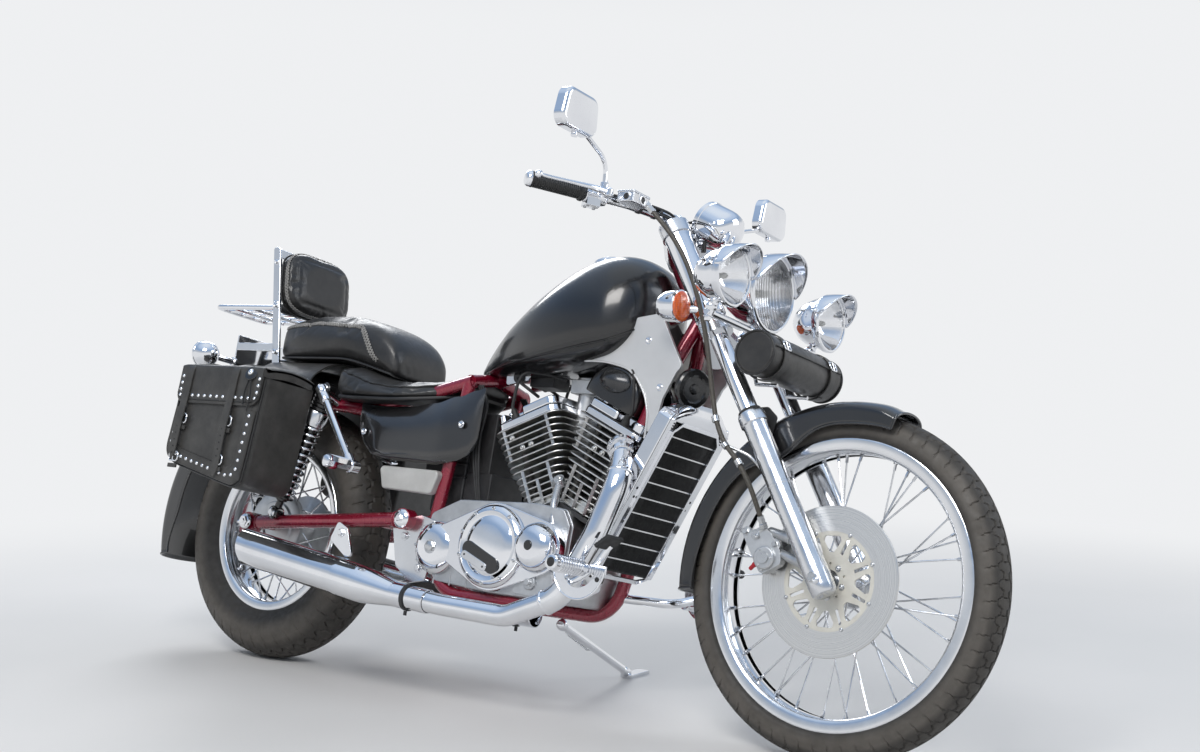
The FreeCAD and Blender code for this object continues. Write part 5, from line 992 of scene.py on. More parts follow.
# Lamps
def glass_mat(name, flute=0.0):
    """Clear glass, with upright flutes where a number sets their closeness."""
    mat, nt, bsdf, co = nodes_of(name)
    set_inputs(nt, bsdf, {"Transmission Weight": 1.0, "IOR": 1.45,
                          "Base Color": ramp(nt, noise_node(nt, co, 20, 2.0), 0.96, 1),
                          "Roughness": ramp(nt, noise_node(nt, co, 40, 2.0), 0.0, 0.03)})
    heights = [(noise_node(nt, co, 60, 2.0), 0.06, 0.0005)]
    if flute:
        inputs = {"Scale": flute, "Distortion": 0.0, "Vector": co}
        wave = add_node(nt, "TexWave", inputs, bands_direction="Y").outputs["Fac"]
        heights.append((wave, 0.35, 0.0015))
    bump(nt, bsdf, heights)
    return mat


def lens_mat(name, lo, hi, cells):
    """Moulded coloured lens: deep colour, clear coat and a prism pattern."""
    mat, nt, bsdf, co = nodes_of(name)
    prisms = voronoi_node(nt, co, cells, "F1", 0.25)
    set_inputs(nt, bsdf, {"Base Color": ramp(nt, prisms, hi, lo, 0.1, 0.8),
                          "Roughness": ramp(nt, noise_node(nt, co, 60, 2.0), 0.08, 0.16),
                          "Coat Weight": 1.0, "Coat Roughness": 0.03, "Subsurface Weight": 0.25,
                          "Subsurface Scale": 0.01})
    bump(nt, bsdf, [(prisms, 0.35, 0.0008)])
    return mat


GLASS = glass_mat("lamp_glass")
GLASS_FLUTED = glass_mat("lamp_glass_fluted", flute=55.0)
AMBER = lens_mat("amber_lens", (0.50, 0.055, 0.004), (0.85, 0.16, 0.012), 260)
RED_LENS = lens_mat("red_lens", (0.26, 0.004, 0.006), (0.55, 0.012, 0.016), 240)
BULB = surface("bulb", (0.55, 0.55, 0.52), (0.7, 0.7, 0.66), 60, (0.1, 0.2), 60, 0.0, 1.0)


def visor(face, r, reach, spread=84.0, droop=4.0):
    """A peaked hood over the top of a lamp, longest in the middle."""
    n, m = 36, 8
    verts, faces = [], []
    for i in range(n + 1):
        a = radians(-spread + 2 * spread * i / n)
        long = reach * (0.10 + 0.90 * cos(a * 90.0 / spread) ** 0.75)
        for k in range(m + 1):
            t = k / m
            rr = r + 2.5 * sin(t * pi / 2) - droop * t * t
            verts.append(face + V(-8.0 + (long + 8.0) * t, rr * sin(a), rr * cos(a)))
    for i in range(n):
        for k in range(m):
            q = m + 1
            faces.append((i * q + k, (i + 1) * q + k, (i + 1) * q + k + 1, i * q + k + 1))
    rim = sweep([verts[i * (m + 1) + m] for i in range(n + 1)], ring(1.3, 8))
    return (verts, faces), rim


def lamp(tag, face, r, depth, reach, glass, node, mount):
    """A bullet lamp: chrome shell, bezel, hood, reflector, bulb and lens."""
    f = Vector(face)
    shell = [lathe([(0, -depth), (r * 0.20, -depth + 1), (r * 0.42, -depth * 0.93),
                    (r * 0.63, -depth * 0.80), (r * 0.80, -depth * 0.60), (r * 0.91, -depth * 0.38),
                    (r * 0.97, -depth * 0.2), (r, -14), (r, -10), (r + 3.0, -9), (r + 4.0, -5),
                    (r + 3.6, 0), (r + 1.2, 2.6), (r - 2.5, 2.8), (r - 4.0, 1.0), (r - 4.2, -4)], f, X, 64)]
    shell += mount
    piece(tag + "_shell", shell, CHROME, "fork", node, angle=32)
    hood, rim = visor(f, r + 3.4, reach)
    piece(tag + "_hood", [hood], CHROME, "fork", solid=1.4, angle=60)
    piece(tag + "_hood_edge", [rim], CHROME, "fork", angle=60)
    prof = []
    for i in range(15):
        t = i / 14
        rr = r * (0.12 + 0.82 * t)
        prof.append((rr, -3.0 - (r * 0.62) * (1 - t * t)))
    piece(tag + "_reflector", [lathe(prof, f, X, 56)], CHROME, "fork", angle=60)
    piece(tag + "_bulb", [ball(f + V(-r * 0.42, 0, 0), r * 0.11, 16, (1.7, 1, 1)),
                          rod(f + V(-r * 0.66, 0, 0), f + V(-r * 0.45, 0, 0), r * 0.10, segs=14)], BULB,
          "fork", angle=60)
    dome = [(0, 9.0)]
    for i in range(1, 11):
        t = i / 10
        dome.append(((r - 3.8) * t, -2.0 + 11.0 * sqrt(max(0.0, 1 - 0.92 * t * t))))
    back = [(rr, h - 2.2) for rr, h in reversed(dome)]
    piece(tag + "_lens", [lathe(dome + back, f, X, 64)], glass, "fork", slot="chrome", angle=50)


bar_at = on_fork(-270.0, 0.0, 494.65)
lamp("headlamp", on_fork(-252, 0, 584.65), 80.0, 112.0, 52.0, GLASS_FLUTED, "headlamp",
     [rod(bar_at, on_fork(-270, 0, 530), 12, 14, segs=24),
      rod(on_fork(-270, 0, 528), on_fork(-275, 0, 545), 20, 14, segs=24, bevel=2)])
for side, tag in ((-1.0, "right"), (1.0, "left")):
    root = on_fork(-270.0, side * 202.0, 494.65)
    lamp("spot_" + tag, on_fork(-223, side * 202, 569.65), 60.0, 86.0, 44.0, GLASS, "spot_lamps",
         [rod(root - Z * 8, root + V(14, 0, 34), 9, 9, segs=20, bevel=1), ball(root + V(4, 0, 12), 13, 20),
          hexbolt(root - Z * 8, -Z, 8, 8)])

signal_bits, amber = [], []
for side in SIDES:
    f = on_fork(-370.0, side * 160.0, 516.65)
    signal_bits.append(lathe([(0, -56), (12, -54.5), (20, -50), (27, -42), (31.5, -30), (33, -16), (33, -4),
                              (34.5, -3), (34.5, 2), (31, 3)], f, X, 40))
    leg_x = FRONT_AXLE.x - (f.z - FRONT_AXLE.z) * tan(RAKE)
    signal_bits += [rod(V(leg_x, side * 128, f.z), f + V(-24, -side * 16, 0), 7.5, 9, segs=20),
                    lathe([(28.6, -13), (33, -12), (33, 12), (28.6, 13)],
                          on_leg((f.z - FRONT_AXLE.z) / cos(RAKE), side * 104), STEER_UP, 40)]
    dome = [(0, 14)] + [(31.5 * t / 8, 2 + 12 * sqrt(max(0.0, 1 - (t / 8.0) ** 2 * 0.95)))
                        for t in range(1, 9)]
    amber.append(lathe(dome + [(31, 0), (0, 0)], f, X, 40))
piece("front_signal_shells", signal_bits, CHROME, "fork", "front_signals", angle=35)
piece("front_signal_lenses", amber, AMBER, "fork", angle=50)

# Instrument pod
pod_at = on_fork(-360.0, 0.0, 728.65)
axis = V(-cos(radians(24)), 0, sin(radians(24)))
mid = pod_at + V(-46, 0, 0)
front = mid - axis * 46
pod = [lathe([(0, 0), (18, 1.5), (32, 7), (41, 16), (45, 28), (46, 40), (46, 78), (47.5, 79), (47.5, 82),
              (46, 83), (46, 90), (43, 92), (41, 91)], front, axis, 56)]
foot = on_steer(841) + STEER_AHEAD * 41
pod.append(rod(foot, mid - axis * 8 - Z * 36, 10, 12, segs=20))
piece("speedometer_pod", pod, CHROME, "fork", "speedometer", angle=32)
DIAL = surface("dial", (0.55, 0.55, 0.52), (0.62, 0.62, 0.60), 60, (0.4, 0.5), 60)
piece("dial_face", [lathe([(0, 86), (41.5, 86), (41.5, 84)], front, axis, 48)], DIAL, "fork")
u, v, w = frame_of(axis, Y)
ticks = []
for k in range(25):
    a = radians(-40 + 260 * k / 24)
    long = 7 if k % 4 == 0 else 3.5
    d = u * cos(a) + v * sin(a)
    side = (d.cross(w)).normalized()
    ticks.append(sweep([front + w * 86.4 + d * (38 - long), front + w * 86.4 + d * 38], oblong(0.5, 0.3)))
d = u * cos(radians(-30)) + v * sin(radians(-30))
ticks += [sweep([front + w * 87.5 - d * 6, front + w * 87.5 + d * 30], oblong(0.9, 0.3)),
          rod(front + w * 86, front + w * 89, 4, segs=16)]
piece("dial_marks", ticks, BLACK_CAST, "fork")
piece("dial_glass", [lathe([(0, 90.5), (42, 89.5), (42, 88), (0, 89)], front, axis, 48)], GLASS, "fork")

# Lamp bar trim
extra = [rod(bar_at - Y * 212, bar_at + Y * 212, 8.4, segs=24, bevel=2)]
for side in SIDES:
    extra.append(rod(bar_at + Y * side * 30, bar_at + Y * side * 44, 12, segs=20, bevel=1.5))
piece("lamp_bar_trim", extra, CHROME, "fork")


# Cylinders
CRANK = V(892.0, 0.0, 336.0)
HALF_VEE = radians(22.5)
FIRST_FIN, FIN_PITCH, FIN_COUNT = 104.0, 14.5, 14
HEAD_TOP = FIRST_FIN + FIN_PITCH * (FIN_COUNT - 1) + 4.0


def bank_axes(bank):
    a = HALF_VEE * bank
    up = V(sin(a), 0, cos(a))
    return up, V(up.z, 0, -up.x)


def bank_at(bank, d, a=0.0, y=0.0):
    up, across = bank_axes(bank)
    return CRANK + up * d + across * a + Y * y


def in_vee(outline, bank, d):
    """Keeps a fin's outline on its own side of the plane between the cylinders."""
    s, c = sin(HALF_VEE), cos(HALF_VEE)
    limit = (2.4 - d * s) / c
    return [(max(a * bank, limit) * bank, y) for a, y in outline]


def fin_outline(i):
    t = i / (FIN_COUNT - 1.0)
    hx = 62.0 + 32.0 * t - (4.0 if i < 6 else 0.0)
    hy = 84.0 + 20.0 * t - (3.0 if i < 6 else 0.0)
    return rounded(corners(hx, hy), 30.0, 5)


FIN_ALLOY = surface("fin_alloy", (0.50, 0.495, 0.48), (0.66, 0.655, 0.64), 30, (0.30, 0.46), 60, 1.0,
                    grain=(("noise", 420, 0.2, 0.0003), ("pits", 900, 0.1, 0.0002)))
BARREL = surface("barrel", (0.05, 0.048, 0.045), (0.12, 0.115, 0.11), 30, (0.45, 0.6), 60, 0.6,
                 grain=(("noise", 420, 0.3, 0.0004),))
for bank, tag in ((-1.0, "rear"), (1.0, "front")):
    up, across = bank_axes(bank)
    fins, core, bosses = [], [], []
    for i in range(FIN_COUNT):
        d = FIRST_FIN + FIN_PITCH * i
        fins.append(prism(in_vee(fin_outline(i), bank, d), up * 3.6, bank_at(bank, d), across, Y))
    piece(tag + "_cylinder_fins", fins, FIN_ALLOY, node=tag + "_cylinder", bevel=1.3, bevel_angle=50)
    core.append(lathe([(46, -6), (46, 92), (56, 94), (56, 196), (0, 196)], bank_at(bank, FIRST_FIN), up,
                      40))
    for y in (-1.0, 1.0):
        for a in (-30.0, 30.0):
            low = bank_at(bank, FIRST_FIN + 4, a, y * 62)
            high = bank_at(bank, FIRST_FIN + 186, a * 1.15, y * 74)
            core.append(rod(low, high, 9, segs=16))
    piece(tag + "_barrel", core, BARREL, angle=35)
    for y in (-1.0, 1.0):
        for a, start, end in ((-36.0, 0, 6), (34.0, 0, 6), (0.0, 0, 4), (-58.0, 8, 13), (60.0, 8, 13)):
            a *= bank
            lo = bank_at(bank, FIRST_FIN + FIN_PITCH * start, a, y * (78 + start * 1.2))
            hi = bank_at(bank, FIRST_FIN + FIN_PITCH * end, a, y * (84 + end * 1.2))
            bosses.append(sweep([lo, hi], ring(4.2, 4, 6), hint=across))
        for a, i in ((18, 9), (-6, 9), (40, 11)):
            at = bank_at(bank, FIRST_FIN + FIN_PITCH * i + 7, a * bank, y * (84 + 1.4 * i))
            bosses.append(hexbolt(at, Y * y, 5, 5, True))
    for y in (-1.0, 1.0):
        bosses.append(rod(bank_at(bank, FIRST_FIN - 14, 0, y * 60), bank_at(bank, FIRST_FIN - 2, 0, y * 60),
                          16, segs=24))
    piece(tag + "_cylinder_ribs", bosses, FIN_ALLOY, bevel=1.0)

    base = rounded(corners(70, 90), 26, 5)
    piece(tag + "_base_gasket", [prism(in_vee(base, bank, 92), up * 9, bank_at(bank, FIRST_FIN - 11),
                                       across, Y)], BLACK_CAST, bevel=1.0)

# Head covers: a chrome cap with a plug pocket on each side
for bank, tag in ((-1.0, "rear"), (1.0, "front")):
    up, across = bank_axes(bank)
    hx, hy = 87.0, 97.0
    pocket = 30.0 * bank
    low = rounded(corners(hx, hy), 26, 6)
    layers = [prism(low, up * 15, bank_at(bank, HEAD_TOP + 2.5), across, Y)]
    top = []
    x, y = hx - 3, hy - 3
    corner = 22
    p0, p1 = sorted((pocket - 24 * bank, pocket + 26 * bank))
    arc = []
    for cx, cy, s in ((x - corner, -y + corner, -90), (x - corner, y - corner, 0),
                      (-x + corner, y - corner, 90), (-x + corner, -y + corner, 180)):
        for k in range(6):
            a = radians(s + 90 * k / 5)
            arc.append((cx + corner * cos(a), cy + corner * sin(a)))
        if s == 0:
            arc += [(p1, y), (p1 - 4, y - 26), (p0 + 4, y - 26), (p0, y)]
    arc += [(p0, -y), (p0 + 4, -y + 26), (p1 - 4, -y + 26), (p1, -y)]
    top.append(prism(arc, up * 22.5, bank_at(bank, HEAD_TOP + 18), across, Y))
    piece(tag + "_head_cover_base", layers, CHROME, bevel=2.5, segs=3)
    piece(tag + "_head_cover_cap", top, CHROME, node="engine_covers" if bank > 0 else None, bevel=6.0,
          segs=5, bevel_angle=60)
    seam = rounded([(-hx + 2, -hy + 2), (hx - 2, -hy + 2), (hx - 2, hy - 2), (-hx + 2, hy - 2)], 24, 6)
    piece(tag + "_head_gasket", [prism(seam, up * 3, bank_at(bank, HEAD_TOP), across, Y),
                                 prism(seam, up * 3, bank_at(bank, HEAD_TOP + 16.5), across, Y)],
          BLACK_CAST, slot=None)
    studs, plugs = [], []
    for sx in (-1, 1):
        for sy in (-1, 1):
            studs.append(hexbolt(bank_at(bank, HEAD_TOP + 40.5, sx * 56, sy * 64), up, 7, 6, True))
    for sy in (-1.0, 1.0):
        studs.append(hexbolt(bank_at(bank, HEAD_TOP + 18, pocket, sy * 82), up, 6, 5))
        at = bank_at(bank, HEAD_TOP + 14, pocket, sy * 84)
        plugs.append(lathe([(0, -6), (9, -6), (10, 0), (9, 14), (7, 20), (7.5, 24), (5, 30), (0, 30)], at,
                           (up + Y * sy * 0.25), 20))
    piece(tag + "_head_bolts", studs, CHROME, angle=35)
    piece(tag + "_plug_caps", plugs, RUBBER, angle=40)

# Intake
AIR_AT = V(995.0, 0.0, 676.0)
up_f, up_r = bank_axes(1.0)[0], bank_axes(-1.0)[0]
cover_top = HEAD_TOP + 42.5


def above_cover(points, lift):
    """Keeps the part of a round outline that stands clear of the front head cover."""
    out = []
    for p in points:
        d = (p - CRANK).dot(up_f)
        if d < cover_top + lift:
            p = p + up_f * (cover_top + lift - d)
        out.append(p)
    return out


air, caps_ = [], []
for side in SIDES:
    rings_ = []
    for r, y in ((70, 40), (74, 44), (74, 80), (71, 88), (64, 92), (40, 94)):
        rings_.append(above_cover([AIR_AT + V(a, side * y, b) for a, b in circle(r, 56)], 1.5))
    air.append(loft(rings_))
    dish = []
    for i in range(9):
        t = i / 8
        dish.append([V(1004 + 42 * t * cos(tau * k / 40), side * (111.5 - 17 * t * t),
                       710 + 26 * t * sin(tau * k / 40) - 5 * t * cos(tau * k / 40)) for k in range(40)])
    caps_.append(loft(dish + [[V(p[0], side * 90, p[2]) for p in dish[-1]]]))
piece("air_housing", air, BLACK_PAINT, angle=40)
SATIN = surface("satin_grey", (0.045, 0.046, 0.048), (0.075, 0.076, 0.08), 14, (0.22, 0.3), 30, 0.7, 0.3,
                0.1, grain=(("noise", 300, 0.1, 0.0002),))
piece("air_cap", caps_, SATIN, angle=60)
leads = []
for side in SIDES:
    f = bank_at(1.0, HEAD_TOP + 44, 30, side * 90)
    leads.append(tube([f - up_f * 6, f + up_f * 10 + V(4, 0, 0), V(1050, side * 94, 726),
                       V(1010, side * 70, 752), V(960, side * 40, 742)], 3.6, 10, 8))
    f = bank_at(-1.0, HEAD_TOP + 44, -30, side * 90)
    leads.append(tube([f - up_r * 6, f + up_r * 12, V(740, side * 86, 716), V(780, side * 60, 726),
                       V(830, side * 40, 716)], 3.6, 10, 8))
piece("spark_leads", leads, RUBBER)
runner = []
for bank in (-1.0, 1.0):
    p = bank_at(bank, HEAD_TOP - 40, -66 * bank, 0)
    runner.append(tube([p, V(892 + bank * 26, 0, 652), V(892 + bank * 22, 0, 700)], 24, 24, 8))
piece("intake_runners", runner, ALLOY_CAST)
piece("carburettors", [rod(V(892 + s * 24, 0, 690), V(892 + s * 24, 0, 730), 30, segs=28, bevel=3)
                       for s in (-1, 1)] + [block(V(892, 0, 706), (52, 34, 16))], ALLOY_CAST, bevel=3)

# Crankcase and covers
case = [(542, 300), (600, 238), (760, 228), (928, 228), (956, 290), (960, 392), (938, 426), (850, 434),
        (640, 426), (562, 390)]
parts = [prism(rounded(case, 16, 4), Y * 206, V(0, -103, 0))]
for side in SIDES:
    lip = [(x * 0.985 + 11, z * 0.985 + 5) for x, z in case]
    parts.append(prism(rounded(lip, 14, 4), Y * side * 8.5, V(0, side * 103, 0)))
    for k in range(7):
        parts.append(sweep([V(600 + 48 * k, side * 111, 232 + 0.3 * k), V(600 + 48 * k, side * 111, 262)],
                           ring(3, 4)))
piece("crankcase_body", parts, ALLOY_CAST, node="crankcase", bevel=3.0, segs=3)
DECK = surface("deck_alloy", (0.58, 0.58, 0.56), (0.70, 0.70, 0.68), 20, (0.34, 0.48), 50, 1.0,
               grain=(("noise", 320, 0.2, 0.0003),))
deck = [prism(rounded([(792, 426), (992, 426), (968, 446), (950, 452), (834, 452), (816, 446)], 6), Y * 150,
              V(0, -75, 0))]
piece("cylinder_deck", deck, DECK, bevel=2)
pipe_ = [tube([V(900, -96, 484), V(897, -100, 440), V(905, -104, 400), V(918, -106, 372)], 9, 16, 8),
         hexbolt(V(900, -104, 486), -Y, 8, 6),
         rod(V(900, -90, 478), V(900, -104, 492), 13, segs=20, bevel=1)]
piece("oil_pipe", both(pipe_), STEEL, angle=40)


def hull_outline(circles, n=72):
    """The outline round a set of circles, as the furthest point in each direction."""
    pts = []
    for k in range(n):
        a = tau * k / n
        d = (cos(a), sin(a))
        x, z, r = max(circles, key=lambda c: c[0] * d[0] + c[1] * d[1] + c[2])
        pts.append((x + r * d[0], z + r * d[1]))
    out = []
    for p in pts:
        if not out or abs(p[0] - out[-1][0]) + abs(p[1] - out[-1][1]) > 0.5:
            out.append(p)
    return out


for side, tag in ((-1.0, "right"), (1.0, "left")):
    covers_, dark = [], []
    covers_.append(prism(hull_outline([(772, 328, 96), (895, 336, 60), (640, 330, 40)]), Y * side * 22,
                         V(0, side * 111, 0)))
    y0 = side * 112
    covers_ += [lathe([(0, 43), (44, 42), (58, 38), (66, 34), (70, 35), (76, 38), (84, 36), (90, 28),
                       (92, 16), (92, 0)], V(772, y0, 328), Y * side, 72),
                lathe([(0, 53), (28, 52), (42, 46), (50, 36), (55, 22), (56, 0)], V(895, y0, 336), Y * side,
                      56),
                lathe([(0, 29), (30, 28), (46, 24), (56, 15), (60, 4), (60, 0)], V(600, y0, 312), Y * side,
                      56)]
    piece("covers_" + tag, covers_, CHROME, bevel=2.5, segs=3, bevel_angle=45)
    screws = bolt_ring(V(772, side * 148, 328), 81, 10, 18, Y * side, 3.6, 3.4, True)
    for k in range(5):
        a = radians(-80 + 40 * k)
        screws.append(hexbolt(V(600 - 52 * cos(a), side * 130, 312 + 52 * sin(a)), Y * side, 3.4, 3.2,
                              True))
    screws.append(hexbolt(V(600, side * 140.5, 312), Y * side, 12, 5))
    piece("cover_screws_" + tag, screws, STEEL, angle=35)
    # Painted shade: the dark capsule behind the silver link is a painted shadow that stands in for the
    # shaded pocket the link sits in; the link's pins and the small cap on the round cover are dark too.
    dark += [prism(hull_outline([(724, 318, 16), (796, 286, 18)]), Y * side * 4.5, V(0, side * 152, 0)),
             lathe([(0, 3), (9, 3), (11, 1.5), (11, -6)], V(895, side * 164, 338), Y * side, 32)]
    bars_ = [prism(hull_outline([(718, 303, 9), (776, 281, 9)]), Y * side * 5, V(0, side * 154, 0))]
    for x, z in ((719, 303), (775, 281)):
        dark.append(rod(V(x, side * 158, z), V(x, side * 160, z), 2.6, segs=12))
    piece("cover_links_" + tag, bars_, ALLOY, bevel=1.5)
    piece("cover_pocket_shade_and_caps_" + tag, dark, BLACK_PAINT, bevel=1.2)
    drop = [prism(rounded([(836, 236), (930, 232), (948, 262), (930, 300), (880, 286), (850, 268)], 6),
                  Y * side * 14, V(0, side * 110, 0)),
            rod(V(884, side * 112, 262), V(884, side * 130, 262), 16, segs=24, bevel=2),
            hexbolt(V(884, side * 130, 262), Y * side, 8, 6)]
    piece("lower_case_" + tag, drop, ALLOY_CAST, bevel=2)

# Radiator
low = V(1028, 0, 306)
high = V(1176, 0, 632)
rad_up = (high - low).normalized()
rad_out = V(rad_up.z, 0, -rad_up.x)
length = (high - low).length


def rad(b, y, o=0.0):
    """A place by the radiator: b up its slope, o out ahead of its face."""
    return low + rad_up * b + V(0, y, 0) + rad_out * o


def core_mat():
    """The dark, close fins of a radiator's core."""
    mat, nt, bsdf, co = nodes_of("radiator_core")
    tone = ramp(nt, noise_node(nt, co, 60, 3.0), (0.004, 0.004, 0.004), (0.012, 0.012, 0.012))
    set_inputs(nt, bsdf, {"Base Color": tone,
                          "Roughness": ramp(nt, noise_node(nt, co, 200, 3.0), 0.5, 0.7)})
    bump(nt, bsdf, [(voronoi_node(nt, co, 520, "DISTANCE_TO_EDGE"), 0.7, 0.001)])
    return mat


CORE = core_mat()
core_ = [prism(rounded([(4, -86), (length - 18, -86), (length - 4, -62), (length - 4, 62),
                        (length - 18, 86), (4, 86)], 4), rad_out * -34, rad(0, 0, -3), rad_up, Y)]
piece("radiator_core", core_, CORE, node="radiator")
lines = []
for k in range(9):
    bb = 34 + (length - 70) * k / 8.0
    lines.append(sweep([rad(bb, -82, -2.6), rad(bb, 82, -2.6)], oblong(1.0, 1.4)))
slats = []
for k in range(60):
    y = -84 + 168 * k / 59.0
    slats.append(sweep([rad(8, y, -3.4), rad(length - 8, y, -3.4)], oblong(0.4, 1.2), hint=rad_out))
piece("radiator_lines", lines, STEEL)
piece("radiator_slats", slats, CORE, smooth=False)
frame_path = [rad(*p) for p in ((2, -86, 0), (length - 26, -86, 0), (length - 6, -66, 0),
                                (length - 6, 66, 0), (length - 26, 86, 0), (2, 86, 0), (-6, 60, 0),
                                (-6, -60, 0))]
rim_ = sweep(frame_path, [(3.5, 2.5), (-3.5, 2.5), (-3.5, -6), (3.5, -6)], closed=True, hint=rad_out)
piece("radiator_rim", [rim_], CHROME, bevel=0.8)
trim_ = []
for side in SIDES:
    strip = [(0, 88), (length - 4, 88), (length + 10, 92), (length + 16, 104), (length - 2, 114), (2, 114)]
    trim_.append(prism([(p, q * side) for p, q in rounded(strip, 5, 3)], rad_out * -36, rad(0, 0, -1),
                       rad_up, Y))
cap_ring = []
for i in range(25):
    t = i / 24
    y = -108 + 216 * t
    lift = 44 * (1 - abs(2 * t - 1) ** 3.4)
    cap_ring.append([rad(length - 2 + v * (lift + 4) / 46.0, y, o)
                     for v, o in ((0, 1), (14, 2.5), (32, 0), (44, -12), (46, -26), (38, -37), (0, -38))])
piece("radiator_cover_shell", trim_, CHROME, node="radiator_cover", bevel=3.0, segs=3)
piece("radiator_cap_cover", [loft(cap_ring)], CHROME, angle=50)
beads = []
for side in SIDES:
    for k in range(60):
        beads.append(block(rad(6 + (length - 14) * k / 59.0, side * 89.5, 1.0), (2.1, 1.5, 1.4),
                           Matrix.Rotation(atan2(rad_up.x, rad_up.z), 4, "Y")))
piece("radiator_ribbed_seam", beads, BLACK_CAST)
holes = []
for side in SIDES:
    for b, y in ((196, 101), (176, 97)):
        holes.append(rod(rad(b, side * y, -1.6), rad(b, side * y, -0.4), 3, segs=14))
piece("radiator_holes", holes, BLACK_CAST)


# Leather and pads
LEATHER = surface("black_leather", (0.011, 0.011, 0.011), (0.024, 0.023, 0.023), 22, (0.30, 0.45), 70, 0.0,
                  0.12, 0.25, grain=(("noise", 22, 0.22, 0.003), ("cells", 460, 0.22, 0.0004),
                                     ("noise", 1500, 0.1, 0.00008)), sheen=0.05)
PIPING = surface("piping", (0.012, 0.012, 0.012), (0.022, 0.022, 0.022), 60, (0.35, 0.5), 80,
                 grain=(("noise", 700, 0.2, 0.0001),))
THREAD = surface("thread", (0.05, 0.05, 0.05), (0.09, 0.09, 0.085), 300, (0.5, 0.7), 200,
                 grain=(("noise", 2500, 0.3, 0.00008),))


def station_rings(stations, per=6, n=64, up=0.85, low=0.55, waist=0.4):
    """Rings across the bike through (x, low z, high z, half width) stations."""
    rings = []
    for x, z0, z1, w in spline([Vector(s) for s in stations], per):
        zc = z0 + (z1 - z0) * waist
        line = []
        for k in range(n):
            a = tau * k / n
            c, s = cos(a), sin(a)
            e = up if s >= 0 else low
            line.append(V(x, w * signed(c, e), zc + (z1 - zc if s >= 0 else zc - z0) * signed(s, e)))
        rings.append(line)
    return rings


def puff(ob, voxel, cap, press=4.0, still=None, frames=20):
    """Blows a pad's cover up as pressed cloth, and keeps each point within cap (mm) of where it began."""
    me = ob.data
    grow = ob.modifiers.new("voxels", "REMESH")
    grow.mode = "VOXEL"
    grow.voxel_size = voxel * 0.001
    dg = bpy.context.evaluated_depsgraph_get()
    fine = bpy.data.meshes.new_from_object(ob.evaluated_get(dg))
    ob.modifiers.remove(grow)
    fine.materials.clear()
    for mat in me.materials:
        fine.materials.append(mat)
    ob.data = fine
    fine.shade_smooth()
    start = [v.co.copy() for v in fine.vertices]
    back = TO.inverted()
    if still:
        group = ob.vertex_groups.new(name="still")
        for v in fine.vertices:
            w = still(back @ v.co)
            if w > 0:
                group.add([v.index], w, "REPLACE")
    cloth = ob.modifiers.new("cloth", "CLOTH")
    st = cloth.settings
    st.quality = 6
    st.mass = 0.25
    st.tension_stiffness = 12.0
    st.compression_stiffness = 12.0
    st.shear_stiffness = 6.0
    st.bending_stiffness = 0.6
    st.use_pressure = True
    st.uniform_pressure_force = press
    st.effector_weights.gravity = 0.0
    if still:
        st.vertex_group_mass = "still"
    cloth.point_cache.frame_start = 1
    cloth.point_cache.frame_end = frames
    scene = bpy.context.scene
    for f in range(1, frames + 1):
        scene.frame_set(f)
    shaped = ob.evaluated_get(bpy.context.evaluated_depsgraph_get()).data
    end = [v.co.copy() for v in shaped.vertices]
    ob.modifiers.remove(cloth)
    scene.frame_set(1)
    limit = cap * 0.001
    for v, a, b in zip(fine.vertices, start, end):
        move = b - a
        far = move.length
        if far > limit:
            move *= limit / far
        v.co = a + move
    if still:
        ob.vertex_groups.clear()


def press(ob, lines, width, depth):
    """Draws sewn channels into a pad along lines of points."""
    back = TO.inverted()
    paths = [spline(l, 12) for l in lines]
    for v in ob.data.vertices:
        p = back @ v.co
        best = min(min((p - q).length_squared for q in path) for path in paths)
        d = sqrt(best)
        if d < width * 2.2:
            n = (back.to_3x3() @ v.normal).normalized()
            p = p - n * depth * exp(-(d / width) ** 2)
            v.co = TO @ p


def soften(ob, levels=1):
    m = ob.modifiers.new("sub", "SUBSURF")
    m.levels = levels
    m.render_levels = levels


# Fuel tank
tank_at = ((560, 724, 746, 12), (590, 720, 784, 34), (640, 718, 828, 70), (690, 719, 870, 98),
           (775, 723, 934, 130), (860, 732, 984, 146), (930, 747, 1003, 147), (985, 764, 998, 137),
           (1028, 797, 976, 106), (1054, 836, 944, 62), (1064, 862, 918, 30))
piece("tank_shell", [loft(station_rings(tank_at, 7, 96, 0.88, 0.62, 0.34))], BLACK_PAINT, node="fuel_tank",
      angle=60)
lip_l, lip_r = [], []
for x, z0, z1, w in spline([Vector(s) for s in tank_at[1:-1]], 6):
    zc = z0 + (z1 - z0) * 0.12
    a = asin(min(1.0, ((z1 - z0) * 0.22 / ((z1 - z0) * 0.34)) ** (1 / 0.62)))
    lip_r.append(V(x, -w * cos(a) ** 0.62 - 0.6, zc))
    lip_l.append(V(x, w * cos(a) ** 0.62 + 0.6, zc))
piece("tank_seam", [sweep(l, ring(2.2, 8, 3.4), hint=Z) for l in (lip_l, lip_r)], BLACK_PAINT, angle=60)
cap_at = V(868, 0, 984)
cap_up = V(-0.30, 0, 0.954)
piece("tank_cap", [lathe([(42, -3), (42, 3), (40, 5), (34, 6), (34, 12), (33, 15), (30, 17), (0, 18.5)],
                         cap_at, cap_up, 64),
                   lathe([(0, 18), (9, 18), (9.5, 20), (8, 21.5), (0, 22)], cap_at, cap_up, 32)], CHROME,
      angle=35)
notches = []
u, v, w = frame_of(cap_up)
for k in range(24):
    a = radians(15 * k)
    d = u * cos(a) + v * sin(a)
    notches.append(sweep([cap_at + w * 7.5 + d * 34, cap_at + w * 11 + d * 34], ring(1.6, 6)))
piece("tank_cap_grips", notches, CHROME)

